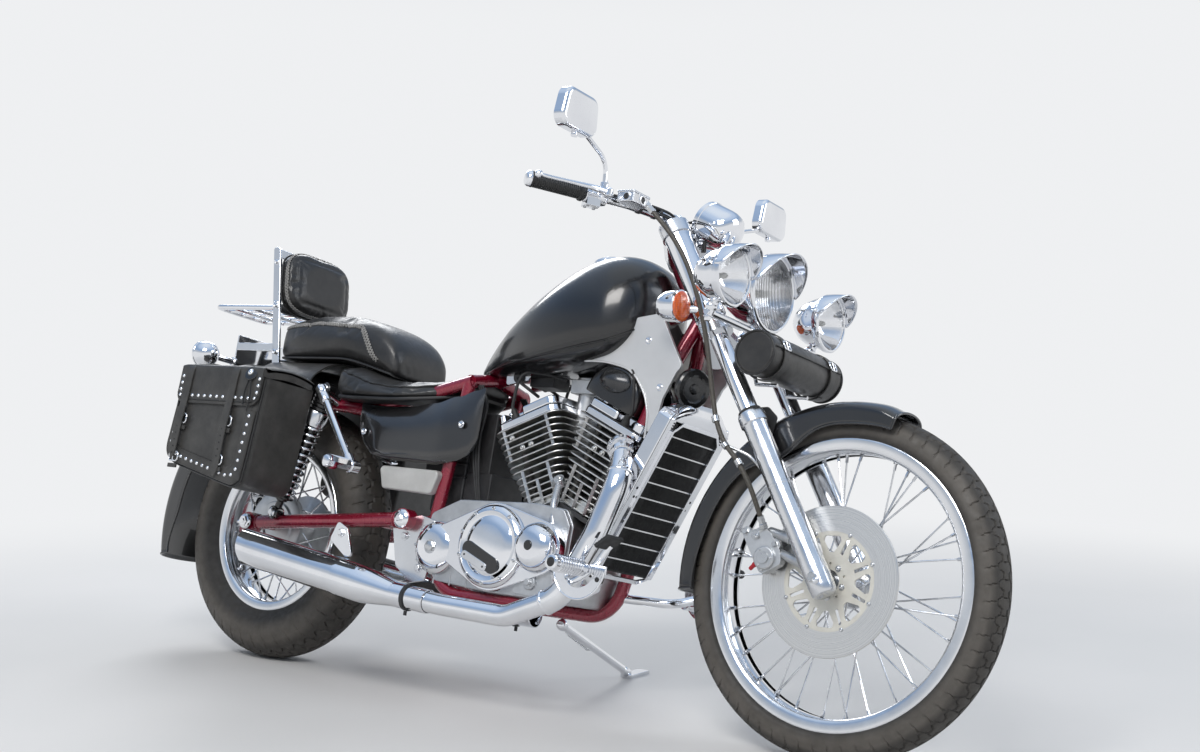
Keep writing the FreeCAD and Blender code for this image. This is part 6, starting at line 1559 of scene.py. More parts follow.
# Neck cover
neck = [(915, 752), (950, 752), (983, 749), (1027, 739), (1050, 726), (1065, 712), (1086, 683), (1097, 656),
        (1102, 633), (1103, 590), (1126, 634), (1132, 676), (1158, 734), (1170, 748), (1098, 860),
        (1040, 850), (930, 790)]
panels, rimmed = [], []
for side in SIDES:
    panels.append(prism(rounded(neck, 12, 4), Y * side * 8.0, V(0, side * 86.0, 0)))
    line = [V(x, side * 94.6, z) for x, z in neck[0:10]]
    rimmed.append(sweep(spline(line, 5), ring(2.6, 8)))
piece("neck_cover_panels", panels, SILVER_PAINT, node="neck_cover", bevel=3.2, segs=4)
piece("neck_cover_rim", rimmed, SILVER_PAINT, angle=60)
pins = []
for side in SIDES:
    for x, z in ((1122, 700), (1076, 800)):
        pins.append(hexbolt(V(x, side * 93.5, z), Y * side, 6, 5, True))
piece("neck_cover_bolts", pins, CHROME, angle=35)
horn_at, horn_out = V(1180, -58, 706), V(0.94, -0.30, -0.16)
piece("horn_body", [lathe([(0, -26), (20, -25), (24, -14), (40, -10), (43, -4), (43, 4), (40, 8), (30, 9),
                           (26, 6), (12, 6), (10, 10), (0, 11)], horn_at, horn_out, 48),
                    rod(horn_at - horn_out * 18, V(1148, -40, 712), 9, segs=16)], BLACK_PAINT, angle=35)

# Side covers
covers_s, grey, pins = [], [], []
PALE_SATIN = surface("pale_satin", (0.44, 0.44, 0.43), (0.54, 0.54, 0.53), 18, (0.36, 0.5), 40, 0.1, 0.15,
                     0.2, grain=(("noise", 600, 0.08, 0.0001),))
COVER_GLOSS = surface("cover_gloss", (0.012, 0.012, 0.013), (0.020, 0.020, 0.021), 6, (0.20, 0.28), 14, 0.0,
                      0.9, 0.10, grain=(("noise", 120, 0.02, 0.0003),))


def cover_top(x):
    """The side cover's upper edge, which follows the seat's lower edge."""
    line = ((286, 630), (330, 626), (390, 624), (450, 627), (520, 638), (590, 656), (640, 672), (662, 680))
    for (x0, z0), (x1, z1) in zip(line, line[1:]):
        if x <= x1:
            return z0 + (z1 - z0) * smooth_step(x, x0, x1)
    return line[-1][1]


def cover_low(x):
    line = ((286, 596), (300, 560), (330, 524), (356, 506), (400, 499), (560, 496), (620, 510), (648, 526),
            (662, 560))
    for (x0, z0), (x1, z1) in zip(line, line[1:]):
        if x <= x1:
            return z0 + (z1 - z0) * (x - x0) / (x1 - x0)
    return line[-1][1]


rings_c = []
for k in range(45):
    x = 286.0 + 376.0 * k / 44.0
    z0, z1 = cover_low(x), cover_top(x)
    e = min(1.0, 4.2 * k / 44.0, 4.2 * (1 - k / 44.0)) ** 0.5
    row = []
    for q in range(21):
        t = q / 20.0
        z = z0 + (z1 - z0) * t
        crown = 1 - max(0.0, (t - 0.45) / 0.55) ** 2.2 * 0.85 - max(0.0, (0.14 - t) / 0.14) ** 2 * 0.5
        row.append(V(x, 111.0 + 26.0 * e * crown, z))
    row += [V(x, 110.0, z1 - 1.0), V(x, 110.0, z0 + 1.0)]
    rings_c.append(row)
for side in SIDES:
    part = loft(rings_c)
    covers_s.append(part if side > 0 else mirror_y(part))
    grey.append(prism(rounded([(390, 485), (409, 432), (560, 428), (579, 483)], 10, 4), Y * side * 22,
                      V(0, side * 106, 0)))
    for x, z in ((330, 560), (628, 590)):
        pins.append(hexbolt(V(x, side * 135.0, z), Y * side, 6, 5, True))
piece("side_panels", covers_s, COVER_GLOSS, node="side_covers", angle=50)
piece("lower_panels", grey, PALE_SATIN, bevel=5.0, segs=4)
piece("side_panel_bolts", pins, CHROME, angle=35)

# Seats
def seat_pad(name, stations, node, cap, inset, channels, still, up=0.5, low=0.42, waist=0.45):
    """A padded seat: a slightly small shape, blown up as cloth, then sewn."""
    small = [(x, z0, z1 - inset, w - inset) for x, z0, z1, w in stations]
    ob = piece(name, [loft(station_rings(small, 7, 72, up, low, waist))], LEATHER, node=node)
    puff(ob, 6.0, cap, 4.0, still)
    press(ob, channels, 4.5, 5.0)
    soften(ob)
    return ob


rider = ((216, 646, 712, 140), (232, 640, 722, 152), (280, 637, 710, 162), (330, 636, 696, 167),
         (390, 637, 688, 165), (440, 640, 688, 158), (500, 650, 698, 126), (548, 661, 714, 94),
         (580, 672, 718, 72), (594, 680, 712, 58))
rider_pad = seat_pad("rider_seat_pad", rider, "rider_seat", 9.0, 6.0,
                     [[V(238, y, 730) for y in (-110, -60, 0, 60, 110)],
                      [V(300, y, 712) for y in (-112, -60, 0, 60, 112)],
                      [V(370, y, 696) for y in (-112, -60, 0, 60, 112)],
                      [V(440, y, 696) for y in (-100, -50, 0, 50, 100)]],
                     lambda p: 1.0 if p.z < 648 + max(0.0, (p.x - 440) * 0.22) else 0.0)
pillion = ((-56, 740, 826, 84), (-46, 735, 838, 98), (0, 734, 848, 108), (60, 733, 854, 116),
           (130, 733, 854, 120), (200, 732, 850, 121), (260, 722, 840, 118), (310, 710, 818, 111),
           (342, 702, 786, 102), (356, 704, 752, 90))
pillion_pad = seat_pad("passenger_seat_pad", pillion, "passenger_seat", 9.0, 6.0,
                       [[V(-20, y, 846) for y in (-84, -40, 0, 40, 84)],
                        [V(90, y, 858) for y in (-90, -40, 0, 40, 90)],
                        [V(190, y, 856) for y in (-90, -40, 0, 40, 90)],
                        [V(270, y, 842) for y in (-86, -40, 0, 40, 86)]],
                       lambda p: 1.0 if p.z < 744 - max(0.0, (p.x - 200) * 0.26) else 0.0)


def edge_line(stations, side, drop, out, up=0.5, waist=0.45, per=6):
    """A line along a seat's shoulder, drop below its top edge."""
    line = []
    for x, z0, z1, w in spline([Vector(s) for s in stations], per):
        zc = z0 + (z1 - z0) * waist
        t = 1.0 - drop
        s = t ** (1.0 / up)
        c = sqrt(max(0.0, 1.0 - s * s)) ** up
        line.append(V(x, side * (w * c + out), zc + (z1 - zc) * t))
    return line


def skin_of(ob):
    """The surface of a pad as it now stands."""
    me = ob.data
    return BVHTree.FromPolygons([v.co for v in me.vertices], [f.vertices for f in me.polygons])


def on_skin(skin, p, out):
    """The point of a pad's surface nearest p, moved out by out mm, and the way out there."""
    back = TO.inverted()
    at, n = skin.find_nearest(TO @ p)[:2]
    n = (back.to_3x3() @ n).normalized()
    return back @ at + n * out, n


def braid(skin, line, half=6.5, step=8.0):
    """Crossed laces over a pad's edge, along a line."""
    laces = []
    run = 0.0
    for a, b in zip(line, line[1:]):
        seg = (b - a).length
        d = (b - a).normalized()
        while run < seg:
            m, n = on_skin(skin, a + d * run, 2.6)
            over = d.cross(n).normalized()
            for w in (-1.0, 1.0):
                ends = [on_skin(skin, a + d * run + d * 4 * e - over * half * w * e, 0.6)[0]
                        for e in (-1.0, 1.0)]
                laces.append(sweep([ends[0], m, ends[1]], ring(1.9, 6)))
            run += step
        run -= seg
    return laces


# Painted highlight: the lacing is given a light grey colour that stands in for the glints along black
# leather laces.
LACE_PAINTED_HIGHLIGHT = surface("lace", (0.20, 0.196, 0.19), (0.30, 0.295, 0.285), 60, (0.30, 0.42), 80,
               grain=(("noise", 900, 0.15, 0.0001),))
cords, laces = [], []
rider_skin, pillion_skin = skin_of(rider_pad), skin_of(pillion_pad)
for side in SIDES:
    cords.append(sweep([on_skin(rider_skin, p, 0.8)[0] for p in edge_line(rider[1:-1], side, 0.32, 1.0)],
                       ring(2.6, 8)))
    high = edge_line(pillion[1:-1], side, 0.34, 1.5)
    low = [p - Z * 34 for p in edge_line(pillion[1:-1], side, 0.90, 1.5)]
    line = [p.lerp(q, smooth_step(k / (len(high) - 1.0), 0.62, 0.84))
            for k, (p, q) in enumerate(zip(high, low))]
    laces += braid(pillion_skin, line[:int(len(line) * 0.86)])
piece("seat_piping", cords, PIPING, angle=60)
piece("passenger_seat_lacing", laces, LACE_PAINTED_HIGHLIGHT, angle=60)
base = [loft(station_rings([(x, z0 - 7, z0 + 6, w - 9) for x, z0, z1, w in rider[1:-1]], 5, 48, 0.4, 0.4,
                           0.5)),
        loft(station_rings([(x, z0 - 1, z0 + 8, w - 9) for x, z0, z1, w in pillion[1:-1]], 5, 48, 0.4, 0.4,
                           0.5))]
piece("seat_pans", base, PLASTIC, angle=40)

# Backrest pad
pad_c = V(-62, 0, 938)
lean_b = Matrix.Rotation(radians(-10), 4, "Y")


def on_pad(x, y, z):
    return pad_c + lean_b.to_3x3() @ V(x, y, z)


rings_ = []
for t, s in ((-1.0, 0.90), (-0.86, 0.965), (-0.5, 1.0), (0.0, 1.0), (0.5, 1.0), (0.86, 0.965), (1.0, 0.90)):
    x = 19 * t
    rings_.append([on_pad(x, y, z) for y, z in squarish(107 * s, 79 * s, 0.55, 64)])
pad = piece("backrest_cushion", [loft(rings_)], LEATHER, node="backrest_pad")
puff(pad, 5.0, 8.0, 4.0, lambda p: 1.0 if (lean_b.to_3x3().inverted() @ (p - pad_c)).x < -14 else 0.0)
press(pad, [[on_pad(24, y, 58) for y in (-84, -40, 0, 40, 84)],
            [on_pad(24, y, -58) for y in (-84, -40, 0, 40, 84)], [on_pad(24, -84, z) for z in (-58, 0, 58)],
            [on_pad(24, 84, z) for z in (-58, 0, 58)]], 4.0, 4.0)
soften(pad)
welt = [on_pad(-16, y, z) for y, z in squarish(109, 81, 0.55, 72)]
edge = [on_pad(2, y, z) for y, z in squarish(106, 79, 0.55, 96)]
piece("backrest_lacing", braid(skin_of(pad), edge, 4.5), LACE_PAINTED_HIGHLIGHT, angle=60)
piece("backrest_piping", [sweep(welt, ring(2.6, 8), closed=True)], PIPING, angle=60)
board = [[on_pad(x, y, z) for y, z in squarish(103 * s, 76 * s, 0.55, 64)]
         for x, s in ((-22, 0.96), (-21, 1.0), (-17, 1.0))]
piece("backrest_board", [loft(board)], PLASTIC, angle=40)


# Rear fender, sissy bar and lamps
def rear_depth(deg):
    return 46.0 - 26.0 * smooth_step(deg, 176, 196) - 14.0 * (1.0 - smooth_step(deg, 58.5, 74))


shell, edges = guard(REAR_AXLE, 404.0, 91.0, 32.0, 58.5, 196.0, rear_depth)
piece("rear_fender_shell", [shell], FENDER_PAINT, node="rear_fender", solid=3.2, angle=60)
piece("rear_fender_bead", [sweep(line, ring(2.8, 8)) for line in edges], FENDER_PAINT, angle=60)

foot, top = V(-40, 0, 690), V(-118, 0, 1022)
bar_up = (top - foot).normalized()
bar_fwd = V(bar_up.z, 0, -bar_up.x)
height = (top - foot).length
bars = []
for side in SIDES:
    y = side * 104.0
    shape = rounded([(-12, 0), (12, 0), (12, height - 10), (2, height), (-12, height)], 6, 4)
    bars.append(prism(shape, Y * 8, foot + V(0, y - 4, 0), bar_fwd, bar_up))
bars.append(prism(rounded([(-104, height - 24), (104, height - 24), (104, height), (-104, height)], 5, 4),
                  bar_fwd * 8, foot - bar_fwd * 12, Y, bar_up))
back_d = (868 - 690) / bar_up.z
bars.append(prism(rounded([(-104, back_d - 12), (104, back_d - 12), (104, back_d + 12),
                           (-104, back_d + 12)], 3, 3), bar_fwd * 8, foot - bar_fwd * 12, Y, bar_up))
for side in SIDES:
    at = foot + bar_up * (70 / bar_up.z)
    bars.append(block(V((at.x - 198) / 2, side * 104, 760), ((at.x + 198) / 2, 4, 10)))
bars.append(block(V(-200, 0, 746), (2, 108, 44)))
piece("sissy_bar_frame", bars, CHROME, node="sissy_bar", bevel=1.8, segs=3)
rack = []
x0 = (foot + bar_up * back_d).x
path = [V(x0 - 8, -86, 868), V(-300, -86, 868), V(-324, -76, 868), V(-330, -52, 868), V(-330, 52, 868),
        V(-324, 76, 868), V(-300, 86, 868), V(x0 - 8, 86, 868)]
rack.append(tube(path, 7, 16, 6))
for y in (-43, 0, 43):
    rack.append(rod(V(x0 - 8, y, 868), V(-330, y, 868), 4.5, segs=12))
for x in (-190, -260):
    rack.append(rod(V(x, -86, 864), V(x, 86, 864), 4.5, segs=12))
piece("rack_rods", rack, CHROME, angle=50)
nuts = []
for side in SIDES:
    for d in (14, 60, back_d):
        nuts.append(hexbolt(foot + bar_up * d + V(0, side * 108, 0), Y * side, 7, 6, True))
    for d in (190, 300):
        nuts.append(hexbolt(foot + bar_up * d + V(0, side * 108, 0), Y * side, 6, 5, True))
piece("sissy_bar_bolts", nuts, CHROME, angle=35)

lamp_c = V(-202, 0, 760)
lens = []
for t, s in ((0, 1.0), (10, 1.0), (30, 0.99), (44, 0.95), (52, 0.86), (56, 0.66)):
    lens.append([lamp_c + V(-t, y, z) for y, z in squarish(50 * s, 26 * s, 0.5, 48)])
piece("tail_lens", [loft(lens)], RED_LENS, node="tail_lamp", angle=50)
ribs = []
for k in range(5):
    z = -16 + 8 * k
    ribs.append(tube([lamp_c + V(-14, -49.5, z), lamp_c + V(-40, -46, z), lamp_c + V(-54, -28, z),
                      lamp_c + V(-56.5, 0, z), lamp_c + V(-54, 28, z), lamp_c + V(-40, 46, z),
                      lamp_c + V(-14, 49.5, z)], 1.3, 6, 6))
piece("tail_lens_ribs", ribs, RED_LENS, angle=60)
base = [[lamp_c + V(t, y, z) for y, z in squarish(54, 30, 0.5, 48)] for t in (1, -8)]
piece("tail_lamp_base", [loft(base)], CHROME, bevel=1.5)

balls, amber_r = [], []
for side in SIDES:
    c = V(-200, side * 200, 718)
    prof = [(0, 33), (12, 30.7), (20, 26.2), (26, 20.3), (30, 13.7), (32.6, 5), (33, -2), (32.6, -10),
            (33.6, -11), (33.6, -15), (31, -16)]
    balls += [lathe(prof, c, X, 44), rod(V(-200, side * 106, 718), c - Y * side * 29, 8, segs=20),
              lathe([(12, 0), (12, 6), (9, 9)], V(-200, side * 108, 718), Y * side, 24)]
    dome = [(30.5 * t / 8, -16 - 12 * sqrt(max(0.0, 1 - (t / 8.0) ** 2 * 0.95))) for t in range(9)]
    amber_r.append(lathe(dome + [(30.5, -13), (0, -13)], c, X, 40))
piece("rear_signal_shells", balls, CHROME, node="rear_signals", angle=35)
piece("rear_signal_lenses", amber_r, AMBER, angle=50)

# Swingarm details and shocks
def bent(points, r, n=8):
    """A path of straight runs joined by arcs."""
    P = [Vector(p) for p in points]
    out = [P[0]]
    for i in range(1, len(P) - 1):
        a, b = (P[i - 1] - P[i]).normalized(), (P[i + 1] - P[i]).normalized()
        half = a.angle(b) / 2.0
        reach = min(r / tan(half), 0.48 * (P[i - 1] - P[i]).length, 0.48 * (P[i + 1] - P[i]).length)
        rad_ = reach * tan(half)
        mid = P[i] + (a + b).normalized() * (rad_ / sin(half))
        s, e = P[i] + a * reach - mid, P[i] + b * reach - mid
        for k in range(n + 1):
            t = k / n
            th = s.angle(e)
            d = (s * sin((1 - t) * th) + e * sin(t * th)) / sin(th) if th > 1e-4 else s.lerp(e, t)
            out.append(mid + d)
    out.append(P[-1])
    return out


caps_s = []
for side in SIDES:
    for c, r in ((V(502, side * 142, 366), 22), (V(0, side * 150, REAR_Z), 19)):
        caps_s += [lathe([(0, 9), (r * 0.5, 8.5), (r * 0.86, 6), (r, 2), (r, 0)], c - Y * side * 0.5,
                         Y * side, 36),
                   hexbolt(c + Y * side * 7, Y * side, r * 0.36, 5)]
    adj = V(-26, side * 128, 318)
    caps_s += [rod(adj, adj + V(-24, 0, -2), 5, segs=14, bevel=1), hexbolt(adj - V(6, 0, 0), -X, 8, 6)]
piece("swingarm_caps", caps_s, CHROME, angle=35)
springs, bodies, sleeves = [], [], []
for side in SIDES:
    t0, b0 = V(196, side * 143, 652), V(92, side * 143, 347)
    ax = (t0 - b0).normalized()
    length_s = (t0 - b0).length
    u, v, w = frame_of(ax, Y)
    turns, lo_d, hi_d = 11, 44, length_s - 92
    path = []
    for k in range(turns * 20 + 1):
        a = tau * k / 20
        d = lo_d + (hi_d - lo_d) * k / (turns * 20.0)
        path.append(b0 + w * d + (u * cos(a) + v * sin(a)) * 23.5)
    springs.append(sweep(path, ring(3.8, 8), hint=w))
    bodies.append(lathe([(0, 4), (9, 6), (9, 30), (15, 34), (15, 40), (26, 41), (27.5, 43), (27.5, 47),
                         (17, 48), (17, hi_d - 10), (17, hi_d)], b0, ax, 40))
    sleeves.append(lathe([(17, hi_d - 2), (27.5, hi_d), (28, hi_d + 3), (28, hi_d + 34), (26, hi_d + 37),
                          (20, hi_d + 38)], b0, ax, 40))
    for k in range(4):
        d = hi_d + 42 + k * 9
        bodies.append(lathe([(16, d - 2), (24, d - 2), (25, d), (25, d + 4), (16, d + 5)], b0, ax, 36))
    bodies.append(lathe([(16, hi_d + 36), (16, length_s - 12), (10, length_s - 8), (0, length_s - 8)], b0,
                        ax, 32))
    for c in (t0, b0):
        bodies.append(rod(c - Y * 12, c + Y * 12, 16, segs=32, bevel=2))
        sleeves += [lathe([(0, 18), (8, 17.5), (11, 15), (11, 12)], c, Y * side, 28),
                    hexbolt(c + Y * side * 12, Y * side, 8, 6)]
piece("shock_springs", springs, CHROME, node="shocks", angle=70)
piece("shock_bodies", bodies, BLACK_PAINT, angle=35)
piece("shock_sleeves", sleeves, ALLOY, angle=35)

# Exhaust
DARK = surface("exhaust_bore", (0.008, 0.007, 0.006), (0.03, 0.026, 0.022), 30, (0.6, 0.8), 50,
               grain=(("noise", 300, 0.3, 0.0004),))
systems, clamps, bores = [], [], []
front_pipe = [V(568, -190, 196), V(700, -186, 188), V(880, -182, 184), V(1012, -180, 238),
              V(1074, -174, 372), V(1102, -156, 500), V(1056, -102, 568)]
rear_pipe = [V(568, 190, 196), V(646, 190, 196), V(658, 186, 270), V(668, 184, 420), V(690, 162, 530),
             V(726, 104, 562)]
for side, stops in ((-1.0, front_pipe), (1.0, rear_pipe)):
    back, neck_p = V(62, side * 190, 256), V(568, side * 190, 196)
    ax = (neck_p - back).normalized()
    long_ = (neck_p - back).length
    u, v, w = frame_of(ax, Y)
    rings_ = []
    for r, d, slash in ((36, 30, 0.30), (38.5, 4, 0.30), (41, 0, 0.30), (43, 3, 0.30), (43, 60, 0.0),
                        (43, 140, 0.0), (43, long_ - 190, 0.0), (43.6, long_ - 184, 0.0),
                        (43.6, long_ - 176, 0.0), (43, long_ - 170, 0.0), (43, long_ - 124, 0.0),
                        (41.5, long_ - 104, 0.0), (37, long_ - 70, 0.0), (31.5, long_ - 36, 0.0),
                        (27.5, long_ - 10, 0.0), (26, long_, 0.0)):
        line = []
        for k in range(64):
            a = tau * k / 64
            p = u * (r * cos(a)) + v * (r * sin(a))
            line.append(back + w * (d + 8 - slash * p.z) + p)
        rings_.append(line)
    systems.append(loft(rings_, caps=False))
    bores.append(loft([[back + w * 30 + (p - back - w * (p - back).dot(w)) * s for p in rings_[0]]
                       for s in (1.0, 0.1)]))
    systems.append(sweep(bent(stops, 90), ring(23, 28)))
    into = (stops[1] - neck_p).normalized()
    clamps.append(lathe([(24, -6), (27.6, -5), (27.6, 34), (24, 35)], neck_p, into, 40))
    systems.append(lathe([(24, 44), (26.4, 45), (26.4, 96), (24, 97)], neck_p, into, 40))
    last = (stops[-1] - stops[-2]).normalized()
    clamps.append(lathe([(23, -30), (27, -29), (27, -10), (33, -9), (33, 0), (0, 0)], stops[-1], last, 40))
    for sgn in (-1, 1):
        n_ = frame_of(last, Z)[0]
        clamps.append(hexbolt(stops[-1] - last * 9 + n_ * 27 * sgn, -last, 4.5, 6))
piece("exhaust_pipes", systems, CHROME, node="exhaust", angle=35)
piece("exhaust_bores", bores, DARK)
piece("exhaust_clamps", clamps, CHROME, angle=35)
bands, shield = [], []
for side, stops in ((-1.0, front_pipe), (1.0, rear_pipe)):
    into = (stops[1] - stops[0]).normalized()
    bands += [lathe([(26, 36), (30, 36.5), (30, 44), (26, 44.5)], stops[0], into, 36),
              rod(stops[0] + into * 40 + V(0, side * 4, -30), stops[0] + into * 40 + V(0, side * 4, -40), 4,
                  segs=12)]
piece("exhaust_bands", bands, BLACK_CAST, angle=35)
path = bent(front_pipe, 90)
n_p = len(path)
part_path = path[int(n_p * 0.42):int(n_p * 0.93)]
half_ring = ring(26.2, 30)
shield.append(sweep(part_path, half_ring))
for q in (0, -1):
    p = part_path[q]
    d = (part_path[1] - part_path[0]) if q == 0 else (part_path[-1] - part_path[-2])
    shield.append(lathe([(23, -4), (26.2, -3.6), (27.4, -2), (27.4, 2), (26.2, 3.6), (23, 4)], p, d, 36))
piece("header_shield", shield, CHROME, angle=40)
hanger = []
for side in SIDES:
    hanger += [prism(rounded([(300, 300), (360, 262), (378, 268), (350, 330), (318, 344)], 8), Y * side * 6,
                     V(0, side * 148, 0)),
               rod(V(334, side * 130, 318), V(334, side * 156, 318), 8, segs=18, bevel=1),
               hexbolt(V(334, side * 154, 318), Y * side, 8, 6)]
piece("exhaust_hangers", hanger, CHROME, bevel=1.2)


# Saddlebags
BAG_LEATHER = surface("bag_leather", (0.022, 0.021, 0.020), (0.060, 0.058, 0.054), 16, (0.38, 0.56), 60,
                      0.0, 0.12, 0.35, grain=(("noise", 14, 0.35, 0.004), ("cells", 380, 0.25, 0.0004),
                                              ("noise", 1300, 0.12, 0.0001)), sheen=0.08)

STUD = [(4.6, 0), (4.3, 1.2), (3.2, 2.4), (1.6, 3.1), (0, 3.3)]
BAG_TOP = 640.0
BAG_FACE = 338.0
BAG_SLANT = 0.07


def bag_low(x):
    """The height of the bag's lower edge, which climbs to the rear."""
    return 430.0 + (372.0 - 430.0) * (x + 116.0) / 282.0


def bag_x(t):
    """The bag's rear and front ends at a share of its height."""
    return -116.0 + 20.0 * t, 166.0 + 20.0 * t


def bag_ring(t, inset, scale=1.0, swell=0.0, n=12):
    """A closed outline round the bag at a share of its height, upright on the left."""
    xr, xf = bag_x(t)
    corner = 36.0 * (1 - sqrt(1 - max(0.0, (0.17 - t) / 0.17) ** 2))
    xr, xf = xr + inset + corner, xf - inset - corner
    y0, y1 = 176.0 + inset, BAG_FACE - inset
    ry = max(4.0, 24.0 - inset)
    cx, cy = (xr + xf) / 2.0, (y0 + y1) / 2.0
    pts = []
    for ox, oy, r, start in ((xf, y1, ry, 0), (xr, y1, ry, 90), (xr, y0, 8, 180), (xf, y0, 8, 270)):
        ccx = ox - r if ox > cx else ox + r
        ccy = oy - r if oy > cy else oy + r
        for k in range(n + 1):
            a = radians(start + 90.0 * k / n)
            pts.append((ccx + r * cos(a), ccy + r * sin(a)))
    ring_ = []
    for x, y in pts:
        out_x, out_y = (x - cx) / (xf - xr) * 2, (y - cy) / (y1 - y0) * 2
        x += swell * out_x * max(0.0, 1 - abs(out_y)) * 0.6
        y = cy + (y - cy) * scale + swell * max(0.0, out_y) * max(0.0, 1 - out_x * out_x)
        low = bag_low(x)
        ring_.append(V(x, y, low + (BAG_TOP - low) * t))
    return ring_


for side, tag in ((1.0, "left"), (-1.0, "right")):
    flip = (lambda part: part) if side > 0 else mirror_y

    def bag_piece(name, parts, mat, *where, **options):
        """A piece of this side's bag, made on the left."""
        piece(name + "_" + tag, [flip(part) for part in parts], mat, *where, **options)

    rings_ = []
    for t, s in ((0.0, 0.88), (0.008, 0.93), (0.02, 0.96), (0.04, 0.985), (0.07, 1.0), (0.11, 1.0)):
        rings_.append(bag_ring(t, 0.0, s))
    for t in (0.15, 0.25, 0.35, 0.45, 0.55, 0.65, 0.75, 0.9, 1.0):
        rings_.append(bag_ring(t, 0.0, 1.0, 5.0 * sin(pi * min(1.0, t / 0.7))))
    rings_ += [bag_ring(1.0, 2.0), bag_ring(0.995, 5.0)]
    for t in (0.75, 0.5, 0.25, 0.07):
        rings_.append(bag_ring(t, 5.0))
    rings_.append(bag_ring(0.03, 5.0, 0.95))
    bag_piece("bag_shell", [loft(rings_)], BAG_LEATHER, node="saddlebag_" + tag, angle=55)

    def face_y(x, z):
        """How far out the swollen outer face stands at a place."""
        low = bag_low(x)
        t = (z - low) / (BAG_TOP - low)
        xr, xf = bag_x(t)
        u_ = (x - (xr + xf) / 2) / (xf - xr) * 2
        return BAG_FACE + 5.0 * sin(pi * min(1.0, max(0.0, t) / 0.7)) * max(0.0, 1 - u_ * u_)

    # A stitched border down the rear edge, along the bottom and up the front edge
    walk = [V(-102, 0, 560), V(-108, 0, 500), V(-111, 0, 468), V(-106, 0, 449), V(-92, 0, 437),
            V(-60, 0, 425), V(40, 0, 404), V(118, 0, 388), V(142, 0, 386), V(159, 0, 396), V(166, 0, 414),
            V(178, 0, 560)]
    inner = [V(-68, 0, 560), V(-74, 0, 505), V(-76, 0, 484), V(-73, 0, 472), V(-64, 0, 464), V(-44, 0, 458),
             V(44, 0, 440), V(104, 0, 428), V(118, 0, 427), V(128, 0, 433), V(133, 0, 446), V(145, 0, 560)]
    w1, w2 = spline(walk, 6), spline(inner, 6)
    skin = []
    for p, q in zip(w1, w2):
        row = []
        for f, lift in ((0.0, -1.0), (0.03, 1.7), (0.5, 2.0), (0.97, 1.7), (1.0, -1.0)):
            m = p.lerp(q, f)
            row.append(V(m.x, face_y(m.x, m.z) + lift, m.z))
        skin.append(row)
    verts = [p for row in skin for p in row]
    faces = [(i * 5 + k, i * 5 + k + 1, (i + 1) * 5 + k + 1, (i + 1) * 5 + k) for i in range(len(skin) - 1)
             for k in range(4)]
    bag_piece("bag_border", [(verts, faces)], BAG_LEATHER, angle=60)
    studs, stitches = [], []
    mids = [p.lerp(q, 0.5) for p, q in zip(w1, w2)]
    run = 0.0
    for a, b in zip(mids, mids[1:]):
        seg = (b - a).length
        while run < seg:
            m = a.lerp(b, run / seg)
            at = V(m.x, face_y(m.x, m.z) + 1.6, m.z)
            studs.append(lathe(STUD, at, Y, 16))
            run += 21.0
        run -= seg
    for share in (0.12, 0.88):
        line = [p.lerp(q, share) for p, q in zip(w1, w2)]
        run = 0.0
        for a, b in zip(line, line[1:]):
            seg = (b - a).length
            d = (b - a).normalized()
            while run < seg:
                m = a + d * run
                at = V(m.x, face_y(m.x, m.z) + 2.0, m.z)
                stitches.append(sweep([at, at + d * 3.4], oblong(0.5, 0.35)))
                run += 5.6
            run -= seg
    bag_piece("bag_studs", studs, CHROME, angle=70)
    bag_piece("bag_stitches", stitches, THREAD, smooth=False)

    # Welts where the outer face meets the gusset
    welt = [V(p.x + (2.5 if p.x > 35 else -2.5) * (1 if p.z > 440 else 0.4), 333.0,
              p.z - (2.5 if p.z < 440 else 0.0)) for p in [V(-98, 0, 634)] + w1 + [V(184, 0, 634)]]
    bag_piece("bag_welt", [sweep(welt, ring(3.0, 8))], PIPING, angle=60)

    # Buckles and keepers on the bag
    buckles, keepers = [], []
    strap_x = (-62.0, 98.0)
    for sx in strap_x:
        for z in (532.0, 440.0):
            x = sx - (560 - z) * BAG_SLANT
            at = V(x, face_y(x, z) + 6.5, z)
            loop_ = [at + V(-15, 0, -11), at + V(15, 0, -11), at + V(15, 0, 11), at + V(-15, 0, 11)]
            buckles += [sweep([loop_[0].lerp(loop_[1], 0.15), loop_[1].lerp(loop_[0], 0.15),
                               loop_[1].lerp(loop_[2], 0.2), loop_[2].lerp(loop_[1], 0.2),
                               loop_[2].lerp(loop_[3], 0.15), loop_[3].lerp(loop_[2], 0.15),
                               loop_[3].lerp(loop_[0], 0.2), loop_[0].lerp(loop_[3], 0.2)], ring(2.0, 8),
                              closed=True),
                        rod(at + V(0, 1.5, -11), at + V(0, 2.0, 12), 1.6, segs=10)]
            keepers.append(block(at + V(-1, -1.5, -22), (15, 2.4, 5)))
    bag_piece("bag_buckles", buckles, CHROME, angle=60)
    bag_piece("bag_keepers", keepers, BAG_LEATHER, bevel=1.2)

    # Lid: a domed skin with a flap, turned down at both ends
    body = "lid_" + tag
    low, shoulder, rise = 640.5, 640.5 + 34 * 0.7, 34 * 0.3
    y_in, y_out, mid_y = 183.0, 344.5, 260.5
    half = mid_y - y_in

    def lid_line(drop, thin, end):
        """The lid's section: back edge, dome and flap, with a soft shoulder."""
        pts = [(y_in + thin, low + 1)]
        for k in range(9):
            t = 2.0 * k / 8.0 - 1.0
            y = mid_y + (half - thin) * t
            z = shoulder - thin + rise * (1 - t * t) - end
            pts.append((y, z))
        for k in range(1, 6):
            a = radians(90 - 18 * k)
            r = 7.5 - thin
            pts.append((y_out - 7.5 + r * cos(a), low + 16 + (8 - end * 0.3) * sin(a)))
        pts += [(y_out - thin, low - drop * 0.4), (y_out - thin, low - drop)]
        return pts

